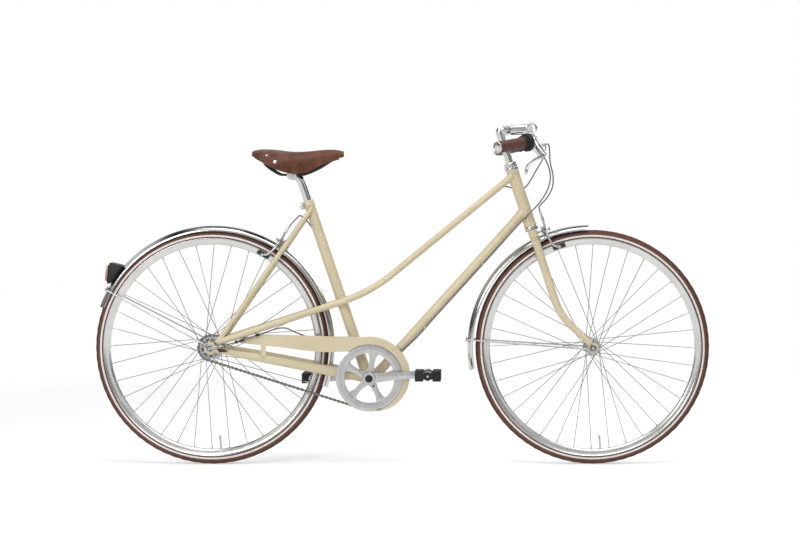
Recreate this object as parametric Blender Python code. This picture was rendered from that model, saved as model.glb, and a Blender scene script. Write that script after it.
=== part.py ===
"""Step-through city bicycle with a mixte frame, built as separate named pieces.

Metres, +Z up. +X points the way the bicycle rides, and its right side, the drive side, is at -Y.
The origin lies on the ground, midway between the two axles.
"""
from math import acos, atan2, cos, pi, radians, sin, sqrt, tan

import bmesh
import bpy
from mathutils import Matrix, Vector

# Main layout of the bicycle
WHEELBASE = 1.120
TYRE_RADIUS = 0.345
SEAT_TUBE_CLEARANCE = 0.1169
BOTTOM_BRACKET_DROP = 0.0874
HEAD_ANGLE = radians(71.7)
SEAT_ANGLE = radians(71.3)
FORK_RAKE = 0.061
GAP = 0.0003

# Wheels
WHEEL_STEPS = 36
TYRE_WIDTH = 0.034
RIM_WIDTH = 0.025
TYRE_HEIGHT = 0.028
RIM_DEPTH = 0.015
RIM_EDGE_RADIUS = TYRE_RADIUS - TYRE_HEIGHT
RIM_INNER_RADIUS = RIM_EDGE_RADIUS - RIM_DEPTH
PAD_RADIUS = RIM_EDGE_RADIUS - RIM_DEPTH * 0.42
REAR_MUDGUARD_RADIUS = TYRE_RADIUS + 0.0115
FRONT_MUDGUARD_RADIUS = TYRE_RADIUS + 0.0165
CHAIN_STAY_LENGTH = REAR_MUDGUARD_RADIUS + SEAT_TUBE_CLEARANCE
RIM_WALL = 0.002
SPOKE_COUNT = 36
SPOKE_THICKNESS = 0.002
SPOKE_CROSSINGS = 3
FLANGE_THICKNESS = 0.0032
FRONT_FLANGE_RADIUS = 0.024
REAR_FLANGE_RADIUS = 0.034
FRONT_HUB_HALF_WIDTH = 0.049
REAR_HUB_LEFT_END = 0.0595
REAR_HUB_RIGHT_END = 0.034
AXLE_RADIUS = 0.0048
AXLE_NUT_WIDTH = 0.019
AXLE_NUT_LENGTH = 0.008
VALVE_LENGTH = 0.030

# Frame tubes, by outer radius
HEAD_TUBE_RADIUS = 0.018
HEAD_TUBE_BORE = 0.0155
LUG_THICKNESS = 0.001
CROWN_FOOT = FRONT_MUDGUARD_RADIUS - 0.0007
HEAD_TUBE_FOOT = CROWN_FOOT + 0.0349
HEAD_TUBE_LENGTH = 0.1696
DOWN_TUBE_RADIUS = 0.0143
DOWN_TUBE_OFFSET = 0.009
DOWN_TUBE_JOIN = 0.0485
SEAT_TUBE_RADIUS = 0.0156
SEAT_TUBE_BORE = 0.0138
SEAT_TUBE_TOP = 0.551
SEAT_TUBE_OFFSET = 0.0088
SHELL_RADIUS = 0.0205
SHELL_WIDTH = 0.068
LATERAL_RADIUS = 0.0098
LATERAL_JOIN = 0.0125
LATERAL_BEND_HEIGHT = 0.2488
LATERAL_BEND_RADIUS = 0.44
LATERAL_FRONT_SPREAD = 0.0105
SEAT_STAY_RADIUS = 0.0073
SEAT_STAY_JOIN = 0.0285
CHAIN_STAY_FRONT_SPREAD = 0.0205
CHAIN_STAY_HEIGHT = 0.030
CHAIN_STAY_WIDTH = 0.0165
CHAIN_STAY_END = 0.016
DROPOUT_SPREAD = 0.0627
DROPOUT_RADIUS = 0.0183
DROPOUT_THICKNESS = 0.005
BRIDGE_RADIUS = 0.0058

# Fork and headset
STEERER_RADIUS = 0.0127
STEERER_BORE = 0.0115
CROWN_DEPTH = 0.029
BLADE_SPREAD = 0.0375
BLADE_RADIUS = 0.0118
BLADE_TIP_RADIUS = 0.0088
BLADE_STRAIGHT_END = 0.152
FORK_END_SPREAD = 0.0527
FORK_END_THICKNESS = 0.005
FORK_END_RADIUS = 0.0155
HEADSET_RADIUS = 0.0205
HEADSET_STACK = 0.0115
LOCKNUT_HEIGHT = 0.0145
CROWN_RACE_HEIGHT = 0.0121

# Stem and handlebar
STEM_QUILL_RADIUS = 0.0110
STEM_RISE = 0.120
STEM_REACH = 0.0964
STEM_KNUCKLE_RADIUS = 0.0155
STEM_CLAMP_RADIUS = 0.0172
STEM_CLAMP_WIDTH = 0.036
BAR_RADIUS = 0.0111
GRIP_RADIUS = 0.0172
GRIP_LENGTH = 0.098
SHIFTER_LENGTH = 0.032
SHIFTER_RADIUS = 0.0265
LEVER_LENGTH = 0.108
LEVER_CLAMP_WIDTH = 0.014

# Seat
POST_RADIUS = 0.0130
POST_TOP = 0.631
POST_DEPTH = 0.14
SADDLE_LENGTH = 0.264
SADDLE_WIDTH = 0.205
SADDLE_NOSE_WIDTH = 0.052
LEATHER_THICKNESS = 0.0045
RAIL_RADIUS = 0.0035
CANTLE_THICKNESS = 0.002

# Drive
CHAIN_PITCH = 0.0127
CHAINRING_TEETH = 46
SPROCKET_TEETH = 18
CHAIN_LINE = 0.045
CHAIN_WIDTH = 0.0086
ROLLER_RADIUS = 0.0039
SIDE_PLATE_RADIUS = 0.0042
SIDE_PLATE_THICKNESS = 0.0012
TOOTH_THICKNESS = 0.0022
TOOTH_RISE = 0.0030
CRANK_LENGTH = 0.175
CRANK_ANGLE = radians(4.7)
CRANK_INNER_FACE = 0.0615
CRANK_THICKNESS = 0.013
CRANK_AXLE_RADIUS = 0.0085
GUARD_RING_RADIUS = 0.0985
GUARD_RING_OPENING = 0.073
SPIDER_ARMS = 5
SPIDER_ARM_WIDTH = 0.024
CHAIN_GUARD_RADIUS = 0.120
CHAIN_GUARD_PLANE = 0.0594
CHAIN_GUARD_THICKNESS = 0.0012
CHAIN_GUARD_DEPTH = 0.020
PEDAL_LENGTH = 0.075
PEDAL_WIDTH = 0.086
PEDAL_HEIGHT = 0.030
PEDAL_AXLE_RADIUS = 0.0045

# Mudguards and rear light
MUDGUARD_WIDTH = 0.041
MUDGUARD_DEPTH = 0.012
MUDGUARD_THICKNESS = 0.0012
MUDGUARD_STAY_RADIUS = 0.0023
REAR_MUDGUARD_START = radians(-20)
REAR_MUDGUARD_END = radians(161)
FRONT_MUDGUARD_START = radians(92)
FRONT_MUDGUARD_END = radians(191)
LIGHT_WIDTH = 0.056

# Brakes and cables
BRAKE_DROP_FRONT = CROWN_FOOT + 0.0100 - PAD_RADIUS
BRAKE_DROP_REAR = REAR_MUDGUARD_RADIUS + 0.0140 - PAD_RADIUS
BRAKE_BOLT_RADIUS = 0.003
BRAKE_BOLT_END = 0.0335
BRAKE_ARM_THICKNESS = 0.0062
PAD_LENGTH = 0.038
PAD_HEIGHT = 0.010
PAD_CLEARANCE = 0.0026
HOUSING_RADIUS = 0.0025

# Finishes: base colour, roughness and metallic value
FINISHES = {
    "cream_paint": ((0.66, 0.56, 0.36), 0.30, 0.0),
    "chrome": ((0.78, 0.78, 0.78), 0.12, 1.0),
    "aluminium": ((0.72, 0.72, 0.71), 0.28, 1.0),
    "steel": ((0.45, 0.45, 0.46), 0.35, 1.0),
    "brown_rubber": ((0.13, 0.045, 0.03), 0.75, 0.0),
    "brown_leather": ((0.15, 0.05, 0.035), 0.50, 0.0),
    "black_plastic": ((0.02, 0.02, 0.022), 0.45, 0.0),
    "black_steel": ((0.03, 0.03, 0.032), 0.35, 0.4),
    "grey_housing": ((0.10, 0.10, 0.105), 0.45, 0.0),
    "red_lens": ((0.70, 0.12, 0.12), 0.15, 0.0),
}

# Directions and reference points
FORWARD = Vector((1, 0, 0))
LEFT = Vector((0, 1, 0))
UP = Vector((0, 0, 1))
RIGHT_SIDE = -1
LEFT_SIDE = 1
REAR_AXLE = Vector((-WHEELBASE / 2, 0, TYRE_RADIUS))
FRONT_AXLE = Vector((WHEELBASE / 2, 0, TYRE_RADIUS))
STEER_UP = Vector((-cos(HEAD_ANGLE), 0, sin(HEAD_ANGLE)))
STEER_AHEAD = Vector((sin(HEAD_ANGLE), 0, cos(HEAD_ANGLE)))
STEER_FOOT = FRONT_AXLE - STEER_AHEAD * FORK_RAKE
HEAD_TUBE_TOP = HEAD_TUBE_FOOT + HEAD_TUBE_LENGTH
STAY_RUN = sqrt(CHAIN_STAY_LENGTH ** 2 - BOTTOM_BRACKET_DROP ** 2)
CRANK_CENTRE = REAR_AXLE + Vector((STAY_RUN, 0, -BOTTOM_BRACKET_DROP))
SEAT_UP = Vector((-cos(SEAT_ANGLE), 0, sin(SEAT_ANGLE)))
SEAT_AHEAD = Vector((sin(SEAT_ANGLE), 0, cos(SEAT_ANGLE)))
SEAT_FOOT = CRANK_CENTRE - SEAT_AHEAD * SEAT_TUBE_OFFSET
REAR_MUDGUARD_CENTRE = REAR_AXLE + Vector((0.0035, 0, 0.0015))
FRONT_MUDGUARD_CENTRE = FRONT_AXLE + Vector((-0.0075, 0, -0.0020))


def steer_point(ahead, side, up):
    """A point given along the steering axis, counted from the foot of the front axle."""
    return STEER_FOOT + STEER_AHEAD * ahead + LEFT * side + STEER_UP * up


def seat_point(ahead, side, up):
    """A point given along the seat tube, counted from the bottom bracket."""
    return SEAT_FOOT + SEAT_AHEAD * ahead + LEFT * side + SEAT_UP * up


# Making and joining meshes
def make_finish(name):
    colour, roughness, metallic = FINISHES[name]
    finish = bpy.data.materials.new(name)
    finish.use_nodes = True
    shader = finish.node_tree.nodes["Principled BSDF"]
    shader.inputs["Base Color"].default_value = (*colour, 1)
    shader.inputs["Roughness"].default_value = roughness
    shader.inputs["Metallic"].default_value = metallic
    return finish


def new_object(name, bm):
    """Turn a bmesh into an object whose faces all point out."""
    bmesh.ops.recalc_face_normals(bm, faces=bm.faces[:])
    mesh = bpy.data.meshes.new(name)
    bm.to_mesh(mesh)
    bm.free()
    obj = bpy.data.objects.new(name, mesh)
    bpy.context.scene.collection.objects.link(obj)
    return obj


def combine(obj, tool, operation):
    """Apply one exact Boolean to an object, and remove the tool."""
    modifier = obj.modifiers.new("combine", "BOOLEAN")
    modifier.operation = operation
    modifier.solver = "EXACT"
    modifier.object = tool
    bpy.context.view_layer.update()
    graph = bpy.context.evaluated_depsgraph_get()
    result = bpy.data.meshes.new_from_object(obj.evaluated_get(graph))
    obj.modifiers.clear()
    plain = obj.data
    obj.data = result
    bpy.data.meshes.remove(plain)
    bpy.data.objects.remove(tool)
    return obj


def join(obj, *tools):
    for tool in tools:
        combine(obj, tool, "UNION")
    return obj


def cut(obj, *tools):
    for tool in tools:
        combine(obj, tool, "DIFFERENCE")
    return obj


def finish_piece(obj, finish, smooth_angle=35):
    """Give a finished piece its material and its shading."""
    obj.data.materials.clear()
    obj.data.materials.append(bpy.data.materials[finish])
    obj.data.shade_smooth()
    obj.data.set_sharp_from_angle(angle=radians(smooth_angle))
    return obj


def skin(rings, closed_path=False, caps=True):
    """Skin a row of vertex rings that all have the same count."""
    bm = bmesh.new()
    rows = [[bm.verts.new(point) for point in ring] for ring in rings]
    count = len(rows[0])
    pairs = list(zip(rows, rows[1:]))
    if closed_path:
        pairs.append((rows[-1], rows[0]))
    for first, second in pairs:
        for index in range(count):
            after = (index + 1) % count
            bm.faces.new((first[index], first[after], second[after], second[index]))
    if caps and not closed_path:
        bm.faces.new(rows[0])
        bm.faces.new(rows[-1])
    return bm


def path_frames(points, side_hint):
    """Tangent, side and normal at each point of a path, with the side kept near a hint."""
    frames = []
    last = len(points) - 1
    for index, point in enumerate(points):
        tangent = (points[min(index + 1, last)] - points[max(index - 1, 0)]).normalized()
        side = (side_hint - tangent * side_hint.dot(tangent)).normalized()
        frames.append((point, tangent, side, tangent.cross(side)))
    return frames


def sweep(name, points, widths, heights, sides=10, side_hint=LEFT):
    """A closed bar along a path: oval sections, half width along the hint and half height across it."""
    points = [Vector(point) for point in points]
    widths = spread_values(widths, len(points))
    heights = spread_values(heights, len(points))
    rings = []
    for (point, _, side, normal), width, height in zip(path_frames(points, side_hint), widths, heights):
        turns = [2 * pi * (step + 0.5) / sides for step in range(sides)]
        rings.append([point + side * width * cos(turn) + normal * height * sin(turn) for turn in turns])
    return new_object(name, skin(rings))


def spread_values(values, count):
    """One value for every point, from a single number or from a start and an end."""
    if isinstance(values, (int, float)):
        return [values] * count
    if len(values) == count:
        return list(values)
    start, end = values
    return [start + (end - start) * index / (count - 1) for index in range(count)]


def smooth_path(points, steps):
    """A smooth curve through the given points, with a number of steps from one to the next."""
    points = [Vector(point) for point in points]
    before = points[0] * 2 - points[1]
    after = points[-1] * 2 - points[-2]
    padded = [before] + points + [after]
    curve = []
    for index in range(1, len(padded) - 2):
        a, b, c, d = padded[index - 1:index + 3]
        for step in range(steps):
            t = step / steps
            curve.append(b + (c - a) * 0.5 * t + (a * 2 - b * 5 + c * 4 - d) * 0.5 * t ** 2
                         + (b * 3 - a - c * 3 + d) * 0.5 * t ** 3)
    curve.append(points[-1])
    return curve


def turned(name, profile, centre, axis=LEFT, steps=32, start=None):
    """Turn a closed outline of (radius, distance along the axis) points about an axis."""
    start = start or (axis.orthogonal() if abs(axis.y) < 0.9 else -UP)
    start = (start - axis * start.dot(axis)).normalized()
    across = axis.cross(start)
    rings = []
    for step in range(steps):
        turn = 2 * pi * step / steps
        outward = start * cos(turn) + across * sin(turn)
        rings.append([centre + outward * radius + axis * along for radius, along in profile])
    return new_object(name, skin(rings, closed_path=True))


def rod(name, start, end, radius, sides=12, end_radius=None):
    """A plain round rod between two points, tapered where the end radius differs."""
    start = Vector(start)
    end = Vector(end)
    axis = (end - start).normalized()
    hint = LEFT if abs(axis.y) < 0.9 else UP
    end_radius = radius if end_radius is None else end_radius
    return sweep(name, [start, end], (radius, end_radius), (radius, end_radius), sides, hint)


def plate(name, outline, low, high, origin=Vector(), across=FORWARD, along=UP, normal=LEFT):
    """A flat plate: an outline of (across, along) points, thick from low to high along the normal."""
    rings = []
    for level in (low, high):
        rings.append([origin + across * x + along * z + normal * level for x, z in outline])
    return new_object(name, skin(rings))


def circle(radius, count, centre=(0, 0), start=0.0, sweep_angle=2 * pi):
    """Points on a circle, or on an arc whose both ends are included."""
    whole = abs(sweep_angle - 2 * pi) < 1e-9
    steps = count if whole else count - 1
    return [(centre[0] + radius * cos(start + sweep_angle * index / steps),
             centre[1] + radius * sin(start + sweep_angle * index / steps)) for index in range(count)]


def bore_radius(radius, steps):
    """The radius of a faceted bore whose flats clear a round of the given radius."""
    return (radius + GAP) / cos(pi / steps)


def cutter(start, end, radius, sides=18):
    """A round cutter whose flats lie the gap outside the radius that it clears."""
    return rod("cutter", start, end, bore_radius(radius, sides), sides)


def box(name, centre, size, across=FORWARD, side=LEFT, along=UP):
    x, y, z = (length / 2 for length in size)
    outline = [(-x, -z), (x, -z), (x, z), (-x, z)]
    return plate(name, outline, -y, y, centre, across, along, side)


# Wheels
def tyre_profile():
    """A filled horseshoe: a narrow neck in the rim, full sides and a round crown."""
    half = TYRE_WIDTH / 2
    neck = RIM_WIDTH / 2 - RIM_WALL - GAP
    bed = RIM_EDGE_RADIUS - 0.0072 + GAP
    edge = RIM_EDGE_RADIUS + GAP
    height = TYRE_RADIUS - edge
    right = [(bed, neck), (edge, neck), (edge + height * 0.30, half * 0.98), (edge + height * 0.72, half * 0.84),
             (TYRE_RADIUS, half * 0.34)]
    left = [(radius, -along) for radius, along in reversed(right)]
    return right + left


def build_tyre(name, axle):
    return finish_piece(turned(name, tyre_profile(), axle, steps=WHEEL_STEPS), "brown_rubber")


def build_rim(name, axle):
    """A box-like rim, open outwards, with its two braking walls and the valve at the lowest point."""
    half = RIM_WIDTH / 2
    bed = RIM_EDGE_RADIUS - 0.0072
    floor = RIM_INNER_RADIUS
    profile = [(floor, half - 0.003), (RIM_EDGE_RADIUS, half), (RIM_EDGE_RADIUS, half - RIM_WALL),
               (bed, half - RIM_WALL), (bed, -half + RIM_WALL), (RIM_EDGE_RADIUS, -half + RIM_WALL),
               (RIM_EDGE_RADIUS, -half), (floor, -half + 0.003)]
    rim = turned(name, profile, axle, steps=WHEEL_STEPS)
    foot = axle - UP * (floor + 0.001)
    valve = rod("valve", foot, foot + UP * VALVE_LENGTH, 0.0032, 6, 0.0026)
    return finish_piece(join(rim, valve), "aluminium")


def rim_flat_radius(turn):
    """How far out the faceted rim's inner face lies at a given turn round the wheel."""
    facet = 2 * pi / WHEEL_STEPS
    off_middle = (turn + pi / 2) % facet - facet / 2
    return RIM_INNER_RADIUS * cos(facet / 2) / cos(off_middle)


def spoke_points(index, flange_radius, flange_side, axle):
    """The two ends of a spoke: its hole in the flange and its place in the rim."""
    side = 1 if index % 2 else -1
    pair = index // 2
    trailing = 1 if pair % 2 else -1
    per_flange = SPOKE_COUNT // 2
    rim_angle = 2 * pi * (index + 0.5) / SPOKE_COUNT + pi / 2
    hub_angle = rim_angle + trailing * 2 * pi * SPOKE_CROSSINGS / per_flange
    offset = trailing * 0.0022
    start = axle + Vector((cos(hub_angle), 0, sin(hub_angle))) * (flange_radius - 0.004)
    end = axle + Vector((cos(rim_angle), 0, sin(rim_angle))) * (rim_flat_radius(rim_angle) - GAP)
    start += LEFT * (side * (flange_side[side] + offset * 0.5))
    end += LEFT * (side * 0.0030)
    return start, end


def build_hub(name, axle, profile, flange_radius, flange_side):
    """A turned hub with its wire spokes, laced so that each crosses three others."""
    hub = turned(name, profile, axle, steps=14)
    for index in range(SPOKE_COUNT):
        start, end = spoke_points(index, flange_radius, flange_side, axle)
        spoke = rod("spoke", start, end, SPOKE_THICKNESS * 0.62, 3)
        join(hub, spoke)
    return finish_piece(hub, "aluminium")


def flange_steps(place, flange_radius, barrel_radius):
    """The outline of one hub flange standing on the barrel, in the order right to left."""
    half = FLANGE_THICKNESS / 2
    return [(barrel_radius, place - half), (flange_radius, place - half), (flange_radius, place + half),
            (barrel_radius, place + half)]


def build_front_hub():
    bore = AXLE_RADIUS + 2 * GAP
    end = FRONT_HUB_HALF_WIDTH
    place = 0.034
    barrel = 0.0155
    profile = [(bore, -end), (0.0095, -end), (0.0115, -place - 0.006)]
    profile += flange_steps(-place, FRONT_FLANGE_RADIUS, barrel)
    profile += flange_steps(place, FRONT_FLANGE_RADIUS, barrel)
    profile += [(0.0115, place + 0.006), (0.0095, end), (bore, end)]
    sides = {1: place, -1: place}
    return build_hub("front_hub", FRONT_AXLE, profile, FRONT_FLANGE_RADIUS, sides)


def build_rear_hub():
    """The wide shell of a gear hub, with the sprocket's driver left out on its right."""
    bore = AXLE_RADIUS + 2 * GAP
    place = 0.029
    barrel = 0.0285
    profile = [(bore, -REAR_HUB_RIGHT_END), (0.022, -REAR_HUB_RIGHT_END)]
    profile += flange_steps(-place, REAR_FLANGE_RADIUS, barrel)
    profile += flange_steps(place, REAR_FLANGE_RADIUS, barrel)
    profile += [(0.022, place + 0.006), (0.016, REAR_HUB_LEFT_END - 0.006), (0.011, REAR_HUB_LEFT_END),
                (bore, REAR_HUB_LEFT_END)]
    sides = {1: place, -1: place}
    return build_hub("rear_hub", REAR_AXLE, profile, REAR_FLANGE_RADIUS, sides)


def build_axle(name, axle, plate_spread, plate_thickness, stub):
    """A threaded axle with a hexagon nut against the outside of each fork end or dropout."""
    nut_start = plate_spread + plate_thickness / 2 + GAP
    length = nut_start + AXLE_NUT_LENGTH + stub
    spindle = rod(name, axle - LEFT * length, axle + LEFT * length, AXLE_RADIUS, 10)
    for side in (LEFT_SIDE, RIGHT_SIDE):
        near = axle + LEFT * side * nut_start
        nut = rod("nut", near, near + LEFT * side * AXLE_NUT_LENGTH, AXLE_NUT_WIDTH / 2, 6)
        join(spindle, nut)
    return spindle


def build_front_axle():
    return finish_piece(build_axle("front_axle", FRONT_AXLE, FORK_END_SPREAD, FORK_END_THICKNESS, 0.003), "steel")


def build_rear_axle():
    """The rear axle, with the small arm on its right end that the shift cable pulls."""
    axle = build_axle("rear_axle", REAR_AXLE, DROPOUT_SPREAD, DROPOUT_THICKNESS, 0.004)
    plane = REAR_AXLE - LEFT * (DROPOUT_SPREAD + DROPOUT_THICKNESS / 2 + AXLE_NUT_LENGTH + 0.0030)
    tip = shift_arm_tip() - REAR_AXLE
    outline = [(-0.0045, -0.0060), (tip.x, tip.z - 0.0035), (tip.x, tip.z + 0.0035), (-0.0045, 0.0060)]
    arm = plate("arm", outline, -0.0030, 0.0015, plane)
    return finish_piece(join(axle, arm), "steel")


# Frame
def head_tube_cutter():
    return cutter(steer_point(0, 0, HEAD_TUBE_FOOT - 0.03), steer_point(0, 0, HEAD_TUBE_TOP + 0.03),
                  HEAD_TUBE_RADIUS + LUG_THICKNESS)


def seat_tube_cutter():
    return cutter(seat_point(0, 0, 0), seat_point(0, 0, SEAT_TUBE_TOP + 0.02), SEAT_TUBE_RADIUS)


def shell_cutter():
    half = LEFT * (SHELL_WIDTH / 2 + 0.01)
    return cutter(CRANK_CENTRE - half, CRANK_CENTRE + half, SHELL_RADIUS)


def pipe(name, centre, axis, start, end, outer, inner, steps=24):
    profile = [(inner, start), (outer, start), (outer, end), (inner, end)]
    return turned(name, profile, centre, axis, steps)


def build_head_tube():
    """A tube with the thickened rings of its top and bottom lugs."""
    low = HEAD_TUBE_FOOT
    high = HEAD_TUBE_TOP
    ring = HEAD_TUBE_RADIUS + LUG_THICKNESS
    thin = HEAD_TUBE_RADIUS
    profile = [(HEAD_TUBE_BORE, low), (ring, low), (ring, low + 0.008), (thin, low + 0.010),
               (thin, high - 0.010), (ring, high - 0.008), (ring, high), (HEAD_TUBE_BORE, high)]
    return finish_piece(turned("head_tube", profile, STEER_FOOT, STEER_UP, 16), "cream_paint")


def build_seat_tube():
    """The seat tube, mitred onto the bottom bracket shell, with the pinch clamp's ears behind its top."""
    tube = rod("seat_tube", SEAT_FOOT, seat_point(0, 0, SEAT_TUBE_TOP), SEAT_TUBE_RADIUS, 16)
    ear_height = 0.018
    ear_centre = seat_point(-SEAT_TUBE_RADIUS - 0.0045, 0, SEAT_TUBE_TOP - ear_height / 2 - 0.002)
    ears = box("ears", ear_centre, (0.012, 0.020, ear_height), SEAT_AHEAD, LEFT, SEAT_UP)
    join(tube, ears)
    slot = box("slot", ear_centre + SEAT_UP * 0.004, (0.016, 0.003, 0.034), SEAT_AHEAD, LEFT, SEAT_UP)
    bolt_hole = rod("hole", ear_centre - LEFT * 0.02 - SEAT_AHEAD * 0.001, ear_centre + LEFT * 0.02
                    - SEAT_AHEAD * 0.001, 0.0030 + GAP, 8)
    bore = rod("bore", seat_point(0, 0, SEAT_TUBE_TOP - POST_DEPTH - 0.03), seat_point(0, 0, SEAT_TUBE_TOP + 0.01),
               SEAT_TUBE_BORE, 14)
    cut(tube, bore, slot, bolt_hole, shell_cutter())
    return finish_piece(tube, "cream_paint")


def build_seat_clamp_bolt():
    ear_centre = seat_point(-SEAT_TUBE_RADIUS - 0.0055, 0, SEAT_TUBE_TOP - 0.011)
    half = 0.010 + GAP
    bolt = rod("seat_clamp_bolt", ear_centre - LEFT * (half + 0.005), ear_centre + LEFT * (half + 0.005), 0.0030, 8)
    for side in (LEFT_SIDE, RIGHT_SIDE):
        near = ear_centre + LEFT * side * half
        join(bolt, rod("head", near, near + LEFT * side * 0.004, 0.0065, 8))
    return finish_piece(bolt, "chrome")


def down_tube_line():
    """The down tube's axis: from just ahead of the bottom bracket to the head tube."""
    top = steer_point(0, 0, HEAD_TUBE_FOOT + DOWN_TUBE_JOIN)
    run = (top - CRANK_CENTRE).normalized()
    foot = CRANK_CENTRE + Vector((run.z, 0, -run.x)) * DOWN_TUBE_OFFSET
    return foot, top


def build_down_tube():
    foot, top = down_tube_line()
    tube = rod("down_tube", foot, top, DOWN_TUBE_RADIUS, 16)
    cut(tube, head_tube_cutter(), shell_cutter())
    return finish_piece(tube, "cream_paint")


def build_shell():
    """The bottom bracket shell with the two bearing cups screwed into its ends."""
    half = SHELL_WIDTH / 2
    cup = half + 0.004
    neck = CRANK_AXLE_RADIUS + 0.0006
    profile = [(neck, -cup), (0.0185, -cup), (0.0185, -half), (SHELL_RADIUS, -half), (SHELL_RADIUS, half),
               (0.0185, half), (0.0185, cup), (neck, cup)]
    shell = turned("bottom_bracket_shell", profile, CRANK_CENTRE, steps=16)
    return finish_piece(shell, "cream_paint")


def rounded_corner(start, corner, end, radius, steps):
    """Points along a line with one round bend."""
    toward_start = (start - corner).normalized()
    toward_end = (end - corner).normalized()
    half_angle = acos(max(-1, min(1, toward_start.dot(toward_end)))) / 2
    reach = radius / tan(half_angle)
    centre = corner + (toward_start + toward_end).normalized() * (radius / sin(half_angle))
    first = corner + toward_start * reach - centre
    last = corner + toward_end * reach - centre
    swing = first.angle(last)
    axis = first.cross(last).normalized()
    arc = [centre + Matrix.Rotation(swing * step / steps, 3, axis) @ first for step in range(steps + 1)]
    return [start] + arc + [end]


def lateral_spread(x):
    """How far out a lateral tube lies: close at the head, against the seat tube, wide at the dropout."""
    seat_x = seat_point(0, 0, LATERAL_BEND_HEIGHT).x
    stops = [(lateral_front().x, LATERAL_FRONT_SPREAD), (seat_x, SEAT_TUBE_RADIUS + LATERAL_RADIUS + GAP),
             (seat_x - 0.045, MUDGUARD_WIDTH / 2 + LATERAL_RADIUS + 0.0035), (REAR_AXLE.x + 0.090, DROPOUT_SPREAD)]
    for (x0, y0), (x1, y1) in zip(stops, stops[1:]):
        if x >= x1:
            return y0 + (y1 - y0) * (x0 - x) / (x0 - x1)
    return DROPOUT_SPREAD


def lateral_front():
    return steer_point(-0.004, 0, HEAD_TUBE_TOP - LATERAL_JOIN)


def lateral_route(side):
    """The centre line of a lateral tube, with its long bend above the bottom bracket."""
    front = lateral_front()
    bend = CRANK_CENTRE + UP * LATERAL_BEND_HEIGHT
    back = REAR_AXLE + Vector((0.010, 0, 0.0135))
    flat = rounded_corner(front, bend, back, LATERAL_BEND_RADIUS, 6)
    seat_x = seat_point(0, 0, LATERAL_BEND_HEIGHT).x
    extra = []
    for x in (seat_x + 0.012, seat_x - 0.012, seat_x - 0.045, REAR_AXLE.x + 0.105, REAR_AXLE.x + 0.080):
        extra.append(point_at_x(flat, x))
    points = sorted(flat + extra, key=lambda point: -point.x)
    kept = [points[0]]
    for point in points[1:]:
        if (point - kept[-1]).length > 0.006:
            kept.append(point)
    kept[-1] = points[-1]
    return [Vector((point.x, side * lateral_spread(point.x), point.z)) for point in kept]


def point_at_x(route, x):
    for first, second in zip(route, route[1:]):
        if first.x >= x >= second.x:
            return first.lerp(second, (first.x - x) / (first.x - second.x))
    return route[-1].copy()


def dropout_cutter(side):
    """The round dropout, grown by the gap, that a stay's end is shaped against."""
    inner = REAR_AXLE + LEFT * side * (DROPOUT_SPREAD - 0.02)
    outer = REAR_AXLE + LEFT * side * (DROPOUT_SPREAD + 0.02)
    return cutter(inner, outer, DROPOUT_RADIUS)


def build_lateral(name, side):
    tube = sweep(name, lateral_route(side), LATERAL_RADIUS, LATERAL_RADIUS, 10)
    cut(tube, head_tube_cutter(), dropout_cutter(side))
    return finish_piece(tube, "cream_paint")


def seat_stay_line(side):
    """From beside the top of the seat tube down to the lateral tube's end above the dropout."""
    top = seat_point(0, 0, SEAT_TUBE_TOP - SEAT_STAY_JOIN)
    top.y = side * (SEAT_TUBE_RADIUS + SEAT_STAY_RADIUS + GAP)
    foot = REAR_AXLE + Vector((0.0215, side * DROPOUT_SPREAD, 0.0172))
    return top, foot


def build_seat_stay(name, side):
    top, foot = seat_stay_line(side)
    run = (top - foot).normalized()
    stay = sweep(name, [foot, top + run * 0.006], SEAT_STAY_RADIUS, SEAT_STAY_RADIUS, 12)
    route = lateral_route(side)
    lateral = sweep("cutter", route[-3:-1] + [route[-1] + (route[-1] - route[-2]).normalized() * 0.02],
                    (LATERAL_RADIUS + GAP) / cos(pi / 14), (LATERAL_RADIUS + GAP) / cos(pi / 14), 14)
    cut(stay, lateral, dropout_cutter(side))
    return finish_piece(stay, "cream_paint")


def chain_stay_points(side):
    """From the dropout's rim to the bottom bracket, all in one straight line."""
    start = REAR_AXLE + Vector((0.0145, 0, -0.0040)) + LEFT * side * DROPOUT_SPREAD
    end = CRANK_CENTRE + LEFT * side * CHAIN_STAY_FRONT_SPREAD - UP * 0.003
    return [start.lerp(end, share) for share in (0.0, 0.12, 0.30, 0.55, 0.80, 1.0)]


def stay_bridge():
    """The short tube behind the bottom bracket that the front of the rear mudguard is bolted to."""
    left = chain_stay_points(LEFT_SIDE)
    right = chain_stay_points(RIGHT_SIDE)
    share = 0.22
    near = left[-1].lerp(left[0], share)
    far = right[-1].lerp(right[0], share)
    bridge = rod("bridge", near, far, 0.0065, 10)
    grown = 1 / cos(pi / 16)
    clear = sweep("cutter", [right[-1], right[2]], (CHAIN_STAY_WIDTH / 2 + GAP) * grown,
                  (CHAIN_STAY_HEIGHT / 2 + GAP) * grown, 16)
    middle = (near + far) / 2
    toward_wheel = (REAR_AXLE - middle).normalized()
    spacer = rod("spacer", middle, middle + toward_wheel * 0.06, 0.0050, 8)
    cut(spacer, mudguard_cutter(REAR_MUDGUARD_CENTRE, REAR_MUDGUARD_RADIUS))
    return join(cut(bridge, clear), spacer)


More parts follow.
